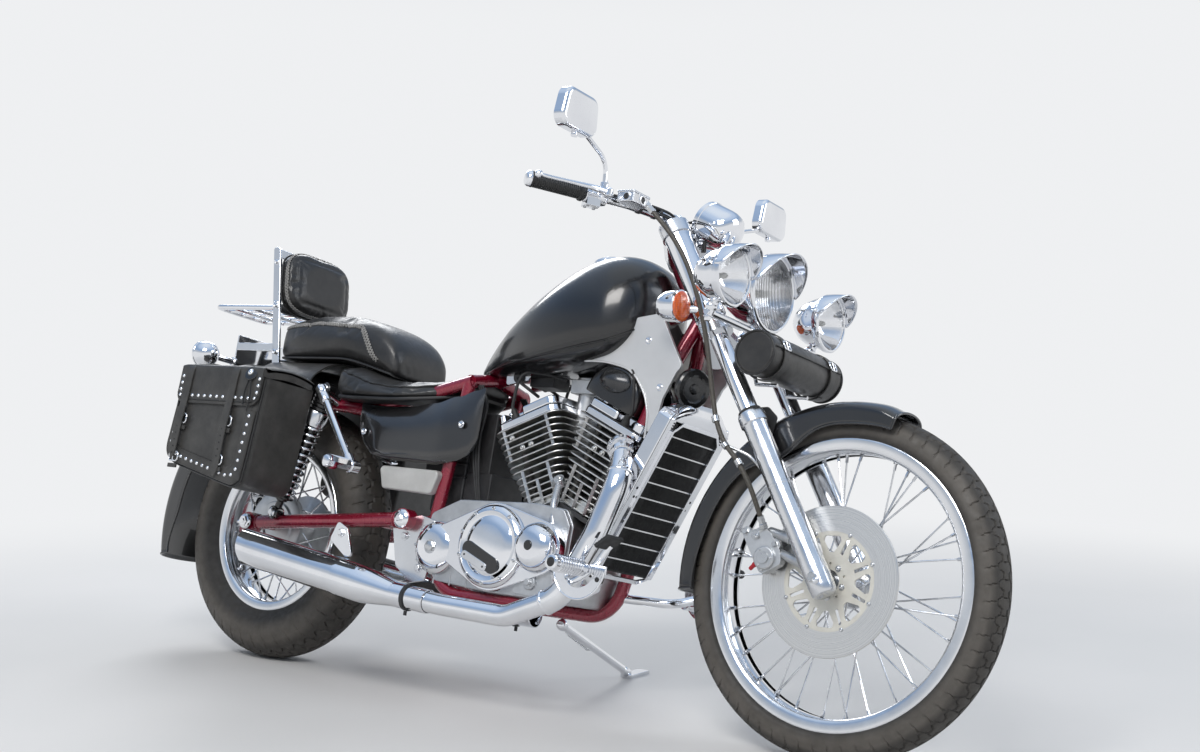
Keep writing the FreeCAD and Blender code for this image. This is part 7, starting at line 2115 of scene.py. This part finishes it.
    stations_l = []
    for t in (0.0, 0.006, 0.018, 0.035, 0.06, 0.09, 0.16, 0.25, 0.35, 0.45, 0.55, 0.65, 0.75, 0.84, 0.91,
              0.94, 0.965, 0.982, 0.994, 1.0):
        x = -98.0 + 286.0 * t
        near = max(0.0, 1.0 - min(t, 1.0 - t) / 0.09)
        end = 8.0 * near ** 3
        drop = 70.0 - 26.0 * (1 - sqrt(1 - near * near))
        stations_l.append((x, drop, end))
    rings_ = []
    for x, drop, end in stations_l:
        section = lid_line(drop, 0.0, end) + lid_line(drop, 5.0, end)[::-1]
        rings_.append([V(x - max(0.0, low - z) * BAG_SLANT, y, z) for y, z in section])
    bag_piece("lid_skin", [loft(rings_)], BAG_LEATHER, body, "lid_" + tag, angle=50)
    ends_l = []
    for idx in (0, -1):
        x, drop, end = stations_l[idx]
        o = lid_line(drop, 0.5, end)[0:14]
        inn = [(y, max(low, z - 20.0)) for y, z in o]
        x2 = x + (3.0 if idx == 0 else -3.0)
        ring_a = [V(x, y, z) for y, z in o]
        ring_b = [V(x, y, z) for y, z in inn]
        verts = ring_a + ring_b + [V(x2, p.y, p.z) for p in ring_a] + [V(x2, p.y, p.z) for p in ring_b]
        m_ = len(ring_a)
        faces = [(k, k + 1, m_ + k + 1, m_ + k) for k in range(m_ - 1)]
        faces += [(2 * m_ + k, 3 * m_ + k, 3 * m_ + k + 1, 2 * m_ + k + 1) for k in range(m_ - 1)]
        faces += [(m_ + k, m_ + k + 1, 3 * m_ + k + 1, 3 * m_ + k) for k in range(m_ - 1)]
        ends_l.append((verts, faces))
    bag_piece("lid_ends", ends_l, BAG_LEATHER, body, angle=60)
    studs_l = []
    for k in range(13):
        x = -86.0 + 262.0 * k / 12.0
        studs_l.append(lathe(STUD, V(x - 3.5, y_out - 0.4, low - 52), Y, 16))
    for k in range(3):
        z = low - 38 + k * 16
        for x in (-88, 179):
            studs_l.append(lathe(STUD, V(x - (low - z) * BAG_SLANT, y_out - 0.4, z), Y, 16))
    bag_piece("lid_studs", studs_l, CHROME, body, angle=70)
    seam_l = [V(x - (drop - 8) * BAG_SLANT, y_out + 0.4, low - drop + 8)
              for x, drop, end in stations_l[1:-1]]
    bag_piece("lid_seam", [sweep(seam_l, ring(1.3, 6))], PIPING, body)

    # Straps over the lid, down past the buckles
    straps = []
    for sx in strap_x:
        last = 442.0 + (372.0 - 430.0) * (sx + 104.0) / 282.0
        line = [V(sx, 196, shoulder + 3), V(sx, 226, shoulder + rise * 0.82 + 2),
                V(sx, mid_y, shoulder + rise + 2.2), V(sx, 296, shoulder + rise * 0.82 + 2),
                V(sx - 0.3, 330, shoulder + 1.5), V(sx - 0.8, 343, low + 18), V(sx - 1.5, 347.2, low + 2),
                V(sx - 4, 347.4, low - 40), V(sx - 6, 348.5, low - 74), V(sx - 8, 350.5, 530),
                V(sx - 10, 350.5, 490), V(sx - 12, 349.8, last + 26), V(sx - 13, 348.0, last)]
        path = spline(line, 6)
        widths = [1.0] * len(path)
        for k in range(6):
            widths[-1 - k] = (k / 6.0) ** 0.5 if k else 0.25
        sections = []
        for k, p in enumerate(path):
            d = (path[min(k + 1, len(path) - 1)] - path[max(k - 1, 0)]).normalized()
            nrm = X.cross(d).normalized()
            if nrm.y < 0:
                nrm = -nrm
            hw = 12.0 * widths[k]
            sections.append([p + X * a + nrm * b
                             for a, b in ((-hw, -1.2), (-hw + 1, 1.4), (hw - 1, 1.4), (hw, -1.2))])
        straps.append(loft(sections))
    bag_piece("lid_straps", straps, BAG_LEATHER, body, bevel=0.5, angle=45)
    holes_l = []
    for sx in strap_x:
        for k in range(5):
            z = 512 - 16 * k
            holes_l.append(rod(V(sx - 8.5 - (520 - z) * 0.045, 351.2, z),
                               V(sx - 8.5 - (520 - z) * 0.045, 352.6, z), 1.8, segs=10))
    bag_piece("strap_holes", holes_l, BLACK_CAST, body, slot="black_leather")

    # Concho with laces at the lid's front shoulder
    c = V(150, y_out - 1.0, low + 6)
    n_ = V(0.12, 0.92, 0.36).normalized()
    bag_piece("concho", [lathe([(0, 8.5), (6, 8), (8, 6.5), (9, 5), (17, 4), (18.5, 2), (18.5, 0)], c, n_,
                               40)], BLACK_PAINT, body, slot="black_leather", angle=40)
    bag_piece("concho_stud", [lathe([(7, 7.6), (6, 9.6), (3, 11), (0, 11.4)], c, n_, 24)], CHROME, body,
              angle=60)
    laces_ = []
    for s_, ln in ((-4, 74), (4, 88)):
        laces_.append(tube([c + n_ * 4 + V(s_, 0, -8), c + V(s_ * 1.4, 5, -24),
                            c + V(s_ * 2.6, 5.5, -ln * 0.6), c + V(s_ * 2.0, 6.0, -ln)], 1.9, 8, 6))
    bag_piece("concho_laces", laces_, PIPING, body)

# Yoke: one leather sheet over the fender, hanging to each bag
yoke_line = [(175.2, 606), (175.4, 634), (174.0, 662), (165, 682), (142, 702), (116, 718), (88, 727),
             (56, 731.0), (28, 731.6), (0, 731.8)]
full = yoke_line + [(-y, z) for y, z in reversed(yoke_line[:-1])]
full = [(p.x, p.y) for p in spline([V(y, z, 0) for y, z in full], 4)]
nx = 15
verts, faces = [], []
for layer in (0, 1):
    for i in range(nx):
        t = i / (nx - 1.0)
        x = -50 + 210 * t
        for k, (y, z) in enumerate(full):
            a = full[max(k - 1, 0)]
            b = full[min(k + 1, len(full) - 1)]
            d = Vector((b[0] - a[0], b[1] - a[1])).normalized()
            nrm = Vector((-d.y, d.x))
            if nrm.y < 0 or (abs(nrm.y) < 0.05 and nrm.x * y < 0):
                nrm = -nrm
            sag = 1.6 * sin(pi * t) * (1 if abs(y) > 90 else 0)
            off = (0.0 if layer else -3.6) - sag
            verts.append(V(x, y + nrm.x * off, z + nrm.y * off))
q = len(full)
lay = nx * q
for i in range(nx - 1):
    for k in range(q - 1):
        a = i * q + k
        faces += [(a, a + 1, a + q + 1, a + q), (lay + a, lay + a + q, lay + a + q + 1, lay + a + 1)]
for k in range(q - 1):
    faces.append((k, lay + k, lay + k + 1, k + 1))
    e = (nx - 1) * q + k
    faces.append((e, e + 1, lay + e + 1, lay + e))
for i in range(nx - 1):
    a = i * q
    faces.append((a, a + q, lay + a + q, lay + a))
    a = i * q + q - 1
    faces.append((a, lay + a, lay + a + q, a + q))
YOKE_LEATHER = surface("yoke_leather", (0.030, 0.029, 0.028), (0.055, 0.053, 0.050), 14, (0.34, 0.5), 50,
                       0.0, 0.15, 0.3, grain=(("noise", 12, 0.3, 0.004), ("cells", 380, 0.2, 0.0004)),
                       sheen=0.06)
yoke = piece("bag_yoke_sheet", [(verts, faces)], YOKE_LEATHER, node="bag_yoke", angle=50)
studs_y = []
for side in SIDES:
    for k in range(9):
        studs_y.append(lathe(STUD, V(-38 + 186 * k / 8.0, side * 172.5, 668), V(0, side * 0.9, 0.42), 16))
piece("yoke_studs", studs_y, CHROME, angle=70)


# Bars, levers, mirrors, pegs and stand
BAR_Z = 724.6
BAR_END = on_fork(-622, 402, BAR_Z)
ELBOW = on_fork(-508, 212, BAR_Z)
INWARD = (ELBOW - BAR_END).normalized()
AHEAD = V(-INWARD.y, INWARD.x, 0)
if AHEAD.x < 0:
    AHEAD = -AHEAD
ON_BAR = Matrix((INWARD, AHEAD, Z)).transposed()
GREY_GRIP = surface("grip_rubber", (0.010, 0.010, 0.010), (0.018, 0.018, 0.018), 40, (0.38, 0.52), 60, 0.0,
                    grain=(("noise", 1100, 0.15, 0.0001),))


def along_bar(d, ahead=0.0, up=0.0):
    """A place near the left bar: how far in from its end, how far ahead of it and how far above."""
    return BAR_END + INWARD * d + AHEAD * ahead + Z * up


ribbed = [(11.2, 4), (16, 4), (17, 5.5), (17, 9), (15.9, 10)]
for k in range(22):
    h = 12.0 + 4.5 * k
    ribbed += [(15.6, h), (16.3, h + 0.8), (16.3, h + 2.9), (15.6, h + 3.7)]
ribbed += [(15.9, 112), (19, 114), (19.6, 116), (19.6, 120), (18.6, 121.5), (11.2, 121.5)]
piece("grip_sleeves", both([lathe(ribbed, BAR_END, INWARD, 44)]), GREY_GRIP, "fork", "grips", angle=35)
piece("grip_caps", both([lathe([(0, -6.6), (9, -6.6), (13.5, -5.2), (16.2, -2), (17.2, 1.5), (17.2, 4.2),
                                (15, 4.6), (0, 4.6)], BAR_END, INWARD, 44)]), CHROME, "fork", angle=60)

# Switch drums with the throttle housing below and a split line round each
drums, screws, knobs = [], [], []
drum = lathe([(11.3, 124), (17, 124), (19, 125.5), (19.4, 129), (19.4, 147.6), (18.6, 148.2), (18.6, 149.2),
              (19.4, 149.8), (19.4, 168), (18.6, 172), (16, 174), (11.3, 174)], BAR_END, INWARD, 44)
drums += [drum, block(along_bar(142, 4, -15), (15, 16, 12), ON_BAR),
          lathe([(0, -24), (7, -24), (9, -22), (9, -10), (0, -10)], along_bar(140, 18, -14),
                AHEAD * 0.4 - Z, 20)]
piece("switch_drums", both(drums), CHROME, "fork", "hand_controls", bevel=3.0, segs=3, angle=35,
      bevel_angle=50)
for d, a in ((133, 11), (133, -7), (153, 11), (153, -7)):
    screws.append(lathe([(3.6, 0), (3.6, 1.2), (2.8, 2.0), (1.6, 2.1), (1.6, 1.0), (0, 1.0)],
                        along_bar(d, a, -27), -Z, 12))
knobs += [block(along_bar(137, -18.6, 4), (5, 3, 4), ON_BAR),
          block(along_bar(149, -18.8, 2), (3.4, 3, 6), ON_BAR),
          rod(along_bar(142, -18, -9), along_bar(142, -22.5, -9), 4.2, segs=18, bevel=1.0)]
piece("switch_screws", both(screws), STEEL, "fork", angle=35)
piece("switch_buttons", both(knobs), PLASTIC, "fork", bevel=1.0)

# Lever perches and flat, curved lever blades with ball ends
perch = [lathe([(11.3, 156), (17.5, 156), (18.5, 157.5), (18.5, 172), (17.5, 173.5), (11.3, 173.5)],
               BAR_END, INWARD, 36),
         sweep([along_bar(165, 12, 2), along_bar(165, 22, 2.5), along_bar(163, 34, 3)], ring(9, 12, 7.5),
               hint=Z),
         lathe([(0, -8.5), (9, -8.5), (10.5, -7), (10.5, 7), (9, 8.5), (0, 8.5)], along_bar(165, 34, 3), Z,
               28)]
piece("lever_perches", both(perch), CHROME, "fork", bevel=0.8, angle=40)
blade = spline([along_bar(165, 34, 3), along_bar(140, 42, 3), along_bar(110, 48.5, 2),
                along_bar(70, 50.5, 1), along_bar(30, 49, 0.5), along_bar(8, 51.5, 0)], 8)
section = ring(5.4, 15, 4.2)
sizes = [1.5 - 0.75 * smooth_step(k / (len(blade) - 1.0), 0.0, 0.67) for k in range(len(blade))]
levers = [sweep(blade, section, hint=Z, scale=sizes), ball(along_bar(4, 52, 0), 8.4, 24)]
levers.append(hexbolt(along_bar(165, 34, 11.0), Z, 5.2, 3.6, True))
piece("levers", both(levers), CHROME, "fork", angle=50)

# Brake reservoir with its lid and sight glass, on the right
r_mid = on_fork(-472, -238, 723.6)
tank = [block(r_mid - Z * 1.5, (21, 29, 10.5)), block(r_mid + Z * 10.6, (22, 30, 2.4))]
piece("brake_reservoir", tank, ALLOY, "fork", bevel=2.2, segs=3)
lid_bits = [lathe([(3.4, 0), (3.2, 1.2), (1.8, 1.6), (1.5, 0.9), (0, 0.9)], r_mid + V(sx * 16, sy * 23, 13),
                  Z, 14) for sx in (-1, 1) for sy in (-1, 1)]
piece("reservoir_screws", lid_bits, STEEL, "fork")
eye = r_mid + V(21, 4, -1)
eye2 = r_mid + V(4, -29, -1)
ringed, dark = [], []
for at, out in ((eye, X), (eye2, -Y)):
    ringed.append(lathe([(10, 0), (10, 1.4), (8.6, 2.0), (7, 1.6), (7, 0.4)], at, out, 32))
    dark.append(lathe([(7, 0.4), (6, 1.2), (3, 1.8), (0, 2.0)], at, out, 32))
piece("sight_glass_ring", ringed, CHROME, "fork")
piece("sight_glass", dark, PLASTIC, "fork")

# Cables that lie along the bar in their clips
bar_path = [V(p.x, -p.y, p.z) for p in (BAR_END + INWARD * 176, ELBOW, on_fork(-482, 120, BAR_Z),
                                        on_fork(-496, 40, BAR_Z))]
cables, clips = [], []
for side in SIDES:
    for k, (dx, dz) in enumerate(((13.5, 8.0), (15.5, -4.0))):
        pts = []
        for p in bar_path:
            pts.append(V(p.x + dx, abs(p.y) * side, p.z + dz))
        pts[0] = pts[0] + V(4, 0, -2)
        pts += [on_steer(800) + V(46, side * 22, 86 + dz), on_steer(800) + V(50 + 6 * k, side * 20, 30)]
        cables.append(tube(pts, 3.0, 12, 8))
    for q in (0.35, 0.8):
        p = bar_path[1].lerp(bar_path[2], q)
        at = V(p.x, abs(p.y) * side, p.z)
        d = (bar_path[2] - bar_path[1]).normalized()
        d = V(d.x, d.y * -side, d.z)
        clips.append(lathe([(12.6, -3.5), (12.6, 3.5), (11.4, 3.5), (11.4, -3.5), (12.6, -3.5)], at, d, 30))
        u_ = V(at.x + 12, at.y, at.z + 2)
        clips.append(lathe([(6.6, -3.5), (6.6, 3.5), (5.4, 3.5), (5.4, -3.5), (6.6, -3.5)],
                           at + V(14.5, 0, 2), d, 20))
piece("bar_cables", cables, RUBBER, "fork", angle=60)
piece("bar_clips", clips, BLACK_CAST, "fork")

# Bar clamps on the risers
caps_ = []
for side in SIDES:
    head = on_fork(-493, side * 48, BAR_Z)
    caps_.append(lathe([(11.4, -16), (19, -16), (20.6, -14), (20.6, 14), (19, 16), (11.4, 16)], head, Y,
                       40))
    for dx in (-14, 14):
        for dy in (-8, 8):
            caps_.append(lathe([(4.6, 0), (4.6, 4), (3.8, 5), (2.3, 5), (2.3, 2.5), (0, 2.5)],
                               head + V(dx, dy, 14.5), Z, 18))
piece("riser_caps", caps_, CHROME, "fork", angle=40)

# Mirror glasses and stem nuts
MIRROR_GLASS = surface("mirror_glass", (0.80, 0.83, 0.86), (0.84, 0.87, 0.90), 4, (0.012, 0.03), 12, 1.0,
                       1.0, 0.01)
glasses, rims_, nuts = [], [], []
m_c = on_fork(-532, 388, 865.6)


def mirror_outline(inset):
    w0, w1, h = 62.0 - inset, 52.0 - inset, 42.0 - inset
    return rounded([(-w0, -h), (w0, -h), (w1, h), (-w1, h)], max(6.0, 24.0 - inset), 8)


for side in SIDES:
    c = V(m_c.x - 13.0, m_c.y * side, m_c.z)
    glasses.append(prism(mirror_outline(9), X * -1.4, c, Y, Z))
    out_ = [c + Y * a + Z * b for a, b in mirror_outline(6)]
    rims_.append(sweep(out_, ring(2.2, 10), closed=True))
foot_m = BAR_END + INWARD * (122 + 52 - 7) + Z * 16
nuts += [lathe([(0, 0), (9.4, 0), (9.4, 9), (8.4, 10), (6, 10), (6, 14), (0, 14)], foot_m + Z * 6, Z, 6),
         lathe([(0, 0), (6.6, 0), (7.4, 2), (6.8, 9), (5.4, 12), (0, 12)], V(m_c.x, m_c.y, m_c.z - 52), Z,
               24)]
piece("mirror_glasses", glasses, MIRROR_GLASS, "fork", bevel=0.4)
piece("mirror_rims", rims_, CHROME, "fork", angle=60)
piece("mirror_nuts", both(nuts), CHROME, "fork", angle=30)

# Tool roll: a leather tube with a lapped flap, welted ends and two buckled straps
r_c = on_fork(-188, 0, 428.6)
ROLL_LEATHER = surface("roll_leather", (0.012, 0.011, 0.010), (0.028, 0.026, 0.024), 22, (0.30, 0.46), 70,
                       0.0, 0.2, 0.3, grain=(("noise", 20, 0.4, 0.003), ("cells", 420, 0.22, 0.0004),
                                             ("noise", 1300, 0.1, 0.0001)), sheen=0.06)


def roll_ring(y, r, n=64):
    """The roll's section: round, with the flap's step a little above the front."""
    pts = []
    for k in range(n):
        a = tau * k / n
        lap = 2.6 * max(0.0, 1 - ((a - radians(20)) % tau) / radians(230))
        wave = 0.7 * sin(3 * a + y * 0.05) + 0.5 * sin(y * 0.11 + a)
        rr = r + (lap - 1.4) * (1 if r > 40 else 0) + wave * (1 if r > 40 else 0)
        pts.append(V(r_c.x + rr * cos(a), y, r_c.z + rr * sin(a)))
    return pts


ys = [(-142, 10), (-142, 40), (-141.5, 43), (-139, 44.8), (-134, 45.2), (-110, 45.8), (-84, 44.6),
      (-50, 46), (0, 46.3), (50, 46), (84, 44.6), (110, 45.8), (134, 45.2), (139, 44.8), (141.5, 43),
      (142, 40), (142, 10)]
roll = piece("tool_roll_leather", [loft([roll_ring(y, r) for y, r in ys])], ROLL_LEATHER, "fork",
             "tool_roll", angle=60, sub=1)
welts = []
for y in (-141.0, 141.0):
    welts.append(sweep([V(r_c.x + 44.5 * cos(a * pi / 24), y, r_c.z + 44.5 * sin(a * pi / 24))
                        for a in range(48)], ring(2.6, 8), closed=True))
piece("tool_roll_welts", welts, PIPING, "fork", angle=60)
straps_r, buckles_r = [], []
for y in (-96.0, 96.0):
    sections = []
    for k in range(60):
        a = radians(-100 + 400.0 * k / 59)
        r = 47.8 + 2.4 * smooth_step(k / 59.0, 0.9, 1.0)
        sections.append([V(r_c.x + (r + up) * cos(a), y + out, r_c.z + (r + up) * sin(a))
                         for out, up in ((-9, -0.8), (-8.4, 1.3), (8.4, 1.3), (9, -0.8))])
    straps_r.append(loft(sections))
    a = radians(28)
    at = V(r_c.x + 50.5 * cos(a), y, r_c.z + 50.5 * sin(a))
    t_ = V(-sin(a), 0, cos(a))
    loop_ = [at - t_ * 9 - Y * 9, at - t_ * 9 + Y * 9, at - t_ * 7 + Y * 12, at + t_ * 7 + Y * 12,
             at + t_ * 9 + Y * 9, at + t_ * 9 - Y * 9, at + t_ * 7 - Y * 12, at - t_ * 7 - Y * 12]
    buckles_r += [sweep(loop_, ring(1.9, 8), closed=True),
                  rod(at - t_ * 9 + V(1, 0, 0), at + t_ * 9.5 + V(1.5, 0, 0), 1.5, segs=10)]
piece("tool_roll_straps", straps_r, BAG_LEATHER, "fork", bevel=0.4, angle=45)
piece("tool_roll_buckles", buckles_r, CHROME, "fork", angle=60)
edge_pts = []
for y in range(-136, 137, 8):
    a = radians(20)
    edge_pts.append(V(r_c.x + 47.6 * cos(a), y, r_c.z + 47.6 * sin(a)))
piece("tool_roll_edge", [sweep(edge_pts, ring(1.5, 8))], PIPING, "fork")

# Forward pegs with their ribs, and the holes and rims of their guards
pegs, rubbers = [], []
p0 = V(1100, 250, 300)
pegs.append(lathe([(0, 89.5), (11, 89.5), (15.4, 87), (16.4, 83), (16.4, 76), (15, 76)], p0, Y, 36))
sleeve = [(14.8, 8)]
for k in range(8):
    h = 9 + 8.2 * k
    sleeve += [(17.4, h), (17.9, h + 1), (17.9, h + 4.6), (17.4, h + 5.6), (15.9, h + 6.0), (15.9, h + 7.8)]
sleeve += [(14.8, 75.5)]
pegs += [lathe(sleeve, p0, Y, 40), lathe([(10.2, -9), (15.5, -9), (17, -7), (17, 5), (15.5, 7), (10.2, 7)],
                                         p0, Y, 36)]
rubbers.append(lathe([(0, 89.9), (9, 89.9), (10.5, 88.8), (0, 88.8)], p0, Y, 24))
piece("front_pegs", both(pegs), CHROME, angle=40)
piece("front_peg_ends", both(rubbers), RUBBER)
a = radians(-22)
hole = lathe([(0, -0.4), (5.2, -0.4), (5.2, 0.4), (0, 0.4)],
             V(1100, 246.2, 300) + V(cos(a), 0, sin(a)) * 52, Y, 20)
piece("guard_holes", both([hole]), BLACK_PAINT)
rim_g = [V(1100 + 63 * cos(radians(a)), 246, 300 + 63 * sin(radians(a))) for a in range(-180, 1, 8)]
piece("guard_rims", both([sweep(rim_g, ring(2.2, 8))]), CHROME, angle=60)

# Side stand: the foot's collar and pad, and the spring
s_p = V(812, 104, 186)
s_out, s_up = V(0, cos(LEAN), sin(LEAN)), V(0, -sin(LEAN), cos(LEAN))
s_f = V(832, 372 * cos(LEAN), 372 * sin(LEAN))
bits = []
d_s = (s_f + s_up * 9 - s_p).normalized()
bits.append(lathe([(8.8, -26), (10.4, -22), (10.8, -8), (9.6, -2), (8.8, 0)], s_f + s_up * 9, d_s, 28))
pad_o = rounded([(-16.4, -10.4), (16.4, -10.4), (16.4, 62.4), (-16.4, 62.4)], 9, 6)
bits.append(prism(pad_o, s_up * 4.6, s_f + s_up * 3.7, X, s_out))
piece("stand_trim", bits, CHROME, "side_stand", bevel=0.8, angle=40)
coil, p_a = [], s_p.lerp(s_f, 0.16)
p_b = s_p.lerp(s_f, 0.46)
d_c = (p_b - p_a).normalized()
u_c, v_c = frame_of(d_c, X)[:2]
off_c = -u_c * 15.0
for k in range(15 * 12 + 1):
    a = tau * k / 12.0
    coil.append(p_a.lerp(p_b, k / (15 * 12.0)) + off_c + u_c * 5.2 * cos(a) + v_c * 5.2 * sin(a))
piece("stand_spring", [sweep(coil, ring(1.1, 6)),
                       rod(p_a - d_c * 3 - u_c * 8, p_a - d_c * 3 - u_c * 20, 2.4),
                       rod(p_b + d_c * 3 - u_c * 8, p_b + d_c * 3 - u_c * 20, 2.4)], STEEL, "side_stand")

# Passenger pegs: clamps and eight-sided sleeves
rear_bits = []
low_p = V(352, 176, 470)
corner_p = V(208, 176, 646)
d_p = (low_p - corner_p).normalized()
rear_bits += [lathe([(9.2, 14), (12.4, 14), (13.2, 16), (13.2, 34), (12.4, 36), (9.2, 36)], corner_p, d_p,
                    32),
              lathe([(0, -13), (8, -12), (12.2, -7), (13.4, 0), (12.2, 8), (9, 14), (0, 14)], corner_p, d_p,
                    28)]
l_p = (low_p - corner_p).length
rear_bits += [lathe([(9.2, l_p - 32), (12.2, l_p - 30), (12.8, l_p - 26), (12.8, l_p - 8), (9.2, l_p - 6)],
                    corner_p, d_p, 32),
              lathe([(10, -15.5), (14.5, -15), (16, -13), (16, 10), (14.6, 12), (12.8, 12)], low_p, Y, 32),
              lathe([(12.8, 16), (15.6, 17), (16.2, 19), (16.2, 76), (15.2, 80), (12.8, 81)], low_p, Y, 8),
              lathe([(0, 88.6), (10, 88.4), (13.2, 86.5), (14.2, 84), (14.2, 81.5), (0, 81.5)], low_p, Y,
                    30)]
piece("rear_pegs", both(rear_bits), CHROME, angle=30)

# The key switch on the top clamp
key = [lathe([(0, 10), (9, 10), (12, 8.5), (12.5, 6), (12.5, 0)], on_steer(841) + STEER_AHEAD * 34 + Y * 34,
             STEER_UP, 28)]
piece("key_switch", key, BLACK_CAST, "fork", angle=40)
piece("key_slot", [block(on_steer(851.6) + STEER_AHEAD * 34 + Y * 34, (1.0, 4.2, 0.5),
                         Matrix((STEER_AHEAD, Y, STEER_UP)).transposed())], CHROME, "fork")

# Brake pedal on the right and gear lever on the left, each on its plate's arm
pedal, pad_r, linkage = [], [], []
TIP = Matrix.Rotation(radians(-38), 3, "Y")
for side in SIDES:
    y = 231.5 * side
    line = spline([V(1050, y, 272), V(1076, y, 270), V(1122, y, 302), V(1148, y, 338), V(1158, y, 352)], 6)
    pedal += [sweep(line, ring(5, 12, 8), hint=Y),
              lathe([(0, -8), (12, -8), (13.5, -6.5), (13.5, 6.5), (12, 8), (0, 8)], V(1050, y, 272), Y,
                    30),
              hexbolt(V(1050, y - side * 8, 272), -Y * side, 6, 4)]
    if side < 0:
        pad_r.append(block(V(1162, y - 12, 356), (19, 26, 4), TIP))
        for k in range(5):
            pad_r.append(block(V(1162, y - 12, 356) + TIP @ V(-14 + 7 * k, 0, 4.6), (1.7, 24, 1.3), TIP))
    else:
        pad_r += [rod(V(1160, y, 354), V(1160, y + 36, 354), 9.5, segs=24, bevel=2),
                  lathe([(9.5, 10), (10.6, 11), (10.6, 14), (9.5, 15)], V(1160, y, 354), Y, 24),
                  lathe([(9.5, 20), (10.6, 21), (10.6, 24), (9.5, 25)], V(1160, y, 354), Y, 24)]
linkage += [rod(V(1048, 226, 272), V(940, 148, 268), 4.0, segs=14), ball(V(1048, 226, 272), 7.0, 18),
            ball(V(944, 151, 268), 7.0, 18)]
piece("foot_levers", pedal, CHROME, angle=40)
piece("foot_lever_pads", pad_r, RUBBER, bevel=1.2)
piece("foot_rods", linkage, STEEL)

# Final drive cover on the left and axle nuts
drive_ = [lathe([(0, 13), (16, 13), (20, 11), (24, 6), (46, 5), (56, 3), (61, -1), (62.6, -6), (62.6, -14)],
                V(0, 142, REAR_Z), Y, 64)]
drive_ += bolt_ring(V(0, 145.5, REAR_Z), 52, 6, 20, Y, 4.6, 4, True)
for k in range(12):
    a = radians(30 * k)
    d = V(cos(a), 0, sin(a))
    drive_.append(sweep([V(0, 147, REAR_Z) + d * 25, V(0, 145.5, REAR_Z) + d * 44], oblong(1.6, 1.4),
                        hint=Y))
piece("final_drive_cover", drive_, ALLOY, bevel=0.4, angle=40)
nuts_r = [hexbolt(V(0, y, REAR_Z), Y * y, 14, 9) for y in (-150, 154)]
piece("rear_axle_nuts", nuts_r, CHROME, angle=30)

# Weld beads round the frame's joints
welds = []


def weld_ring(at, axis, r, bead=1.9):
    u, v, w = frame_of(axis)
    pts = []
    for k in range(72):
        a = tau * k / 72
        out = u * cos(a) + v * sin(a)
        pts.append(Vector(at) + out * (r + 0.5 * sin(k * 2.6)) + w * 0.5 * sin(k * 1.7))
    return sweep(pts, ring(bead, 6), closed=True)


for side in SIDES:
    welds += [weld_ring(V(562, side * 96, 366) - V(14, 0, 0), X, 15.2),
              weld_ring(V(630, side * 81, 214), Y, 12.4)]
    at = V(0, side * 128, REAR_Z).lerp(V(502, side * 128, 366), 0.052)
    welds.append(weld_ring(at, V(502, 0, 47.9), 17.4))
    at = V(0, side * 128, REAR_Z).lerp(V(502, side * 128, 366), 0.945)
    welds.append(weld_ring(at, V(502, 0, 47.9), 17.4))
piece("frame_welds", welds, RED_PAINT, angle=80)

# What fills the frame behind the engine: a battery box, pivot plates and wiring
core = [block(V(540, 0, 545), (62, 66, 88)), block(V(556, 0, 430), (46, 66, 34)),
        block(V(636, 0, 450), (40, 60, 44)), block(V(630, 0, 560), (36, 58, 70))]
for k in range(5):
    core.append(block(V(540, 0, 480 + 30 * k), (64, 68, 4)))
piece("battery_box", core, BLACK_CAST, bevel=4.0)
plate_r = [(456, 352), (474, 366), (540, 380), (580, 372), (596, 318), (578, 236), (532, 226), (484, 262)]
brackets = []
for side in SIDES:
    brackets.append(prism(rounded(plate_r, 8, 3), Y * side * 6, V(0, side * 112, 0)))
    for x, z in ((500, 330), (560, 350), (556, 262)):
        brackets.append(hexbolt(V(x, side * 118, z), Y * side, 8, 6))
piece("pivot_plates", brackets, ALLOY, bevel=1.6)
looms = []
for side in SIDES:
    for k in range(3):
        looms.append(tube([V(610 + 6 * k, side * 78, 690), V(640 + 5 * k, side * 84, 640),
                           V(632 + 8 * k, side * 88, 560), V(650 + 6 * k, side * 84, 470),
                           V(668 + 4 * k, side * 80, 410)], 3.2, 10, 8))
piece("wire_looms", looms, RUBBER, angle=60)

# Coil box and leads under the tank, above the rear cylinder
coils = [block(V(742, 0, 742), (78, 40, 16)), block(V(752, 0, 716), (34, 30, 14))]
for side in SIDES:
    coils += [rod(V(700, side * 24, 722), V(700, side * 56, 716), 12, segs=24, bevel=2),
              tube([V(700, side * 52, 716), V(716, side * 66, 706), V(744, side * 62, 690),
                    V(760, side * 40, 676)], 3.6, 12, 8),
              tube([V(668, side * 40, 744), V(700, side * 58, 748), V(760, side * 60, 752),
                    V(840, side * 54, 758)], 3.0, 10, 8),
              tube([V(650, side * 46, 730), V(690, side * 62, 738), V(770, side * 64, 742),
                    V(850, side * 58, 748)], 2.4, 10, 8)]
piece("coil_box", coils, BLACK_CAST, bevel=2.4, bevel_angle=60)
coil_plate = []
for side in SIDES:
    coil_plate += [prism(rounded([(664, 700), (724, 712), (742, 734), (712, 748), (660, 738)], 5, 3),
                         Y * side * 3, V(0, side * 44, 0)),
                   hexbolt(V(690, side * 47, 722), Y * side, 5.5, 4),
                   hexbolt(V(720, side * 47, 732), Y * side, 4.5, 4, True)]
piece("coil_plates", coil_plate, ALLOY, bevel=0.6)
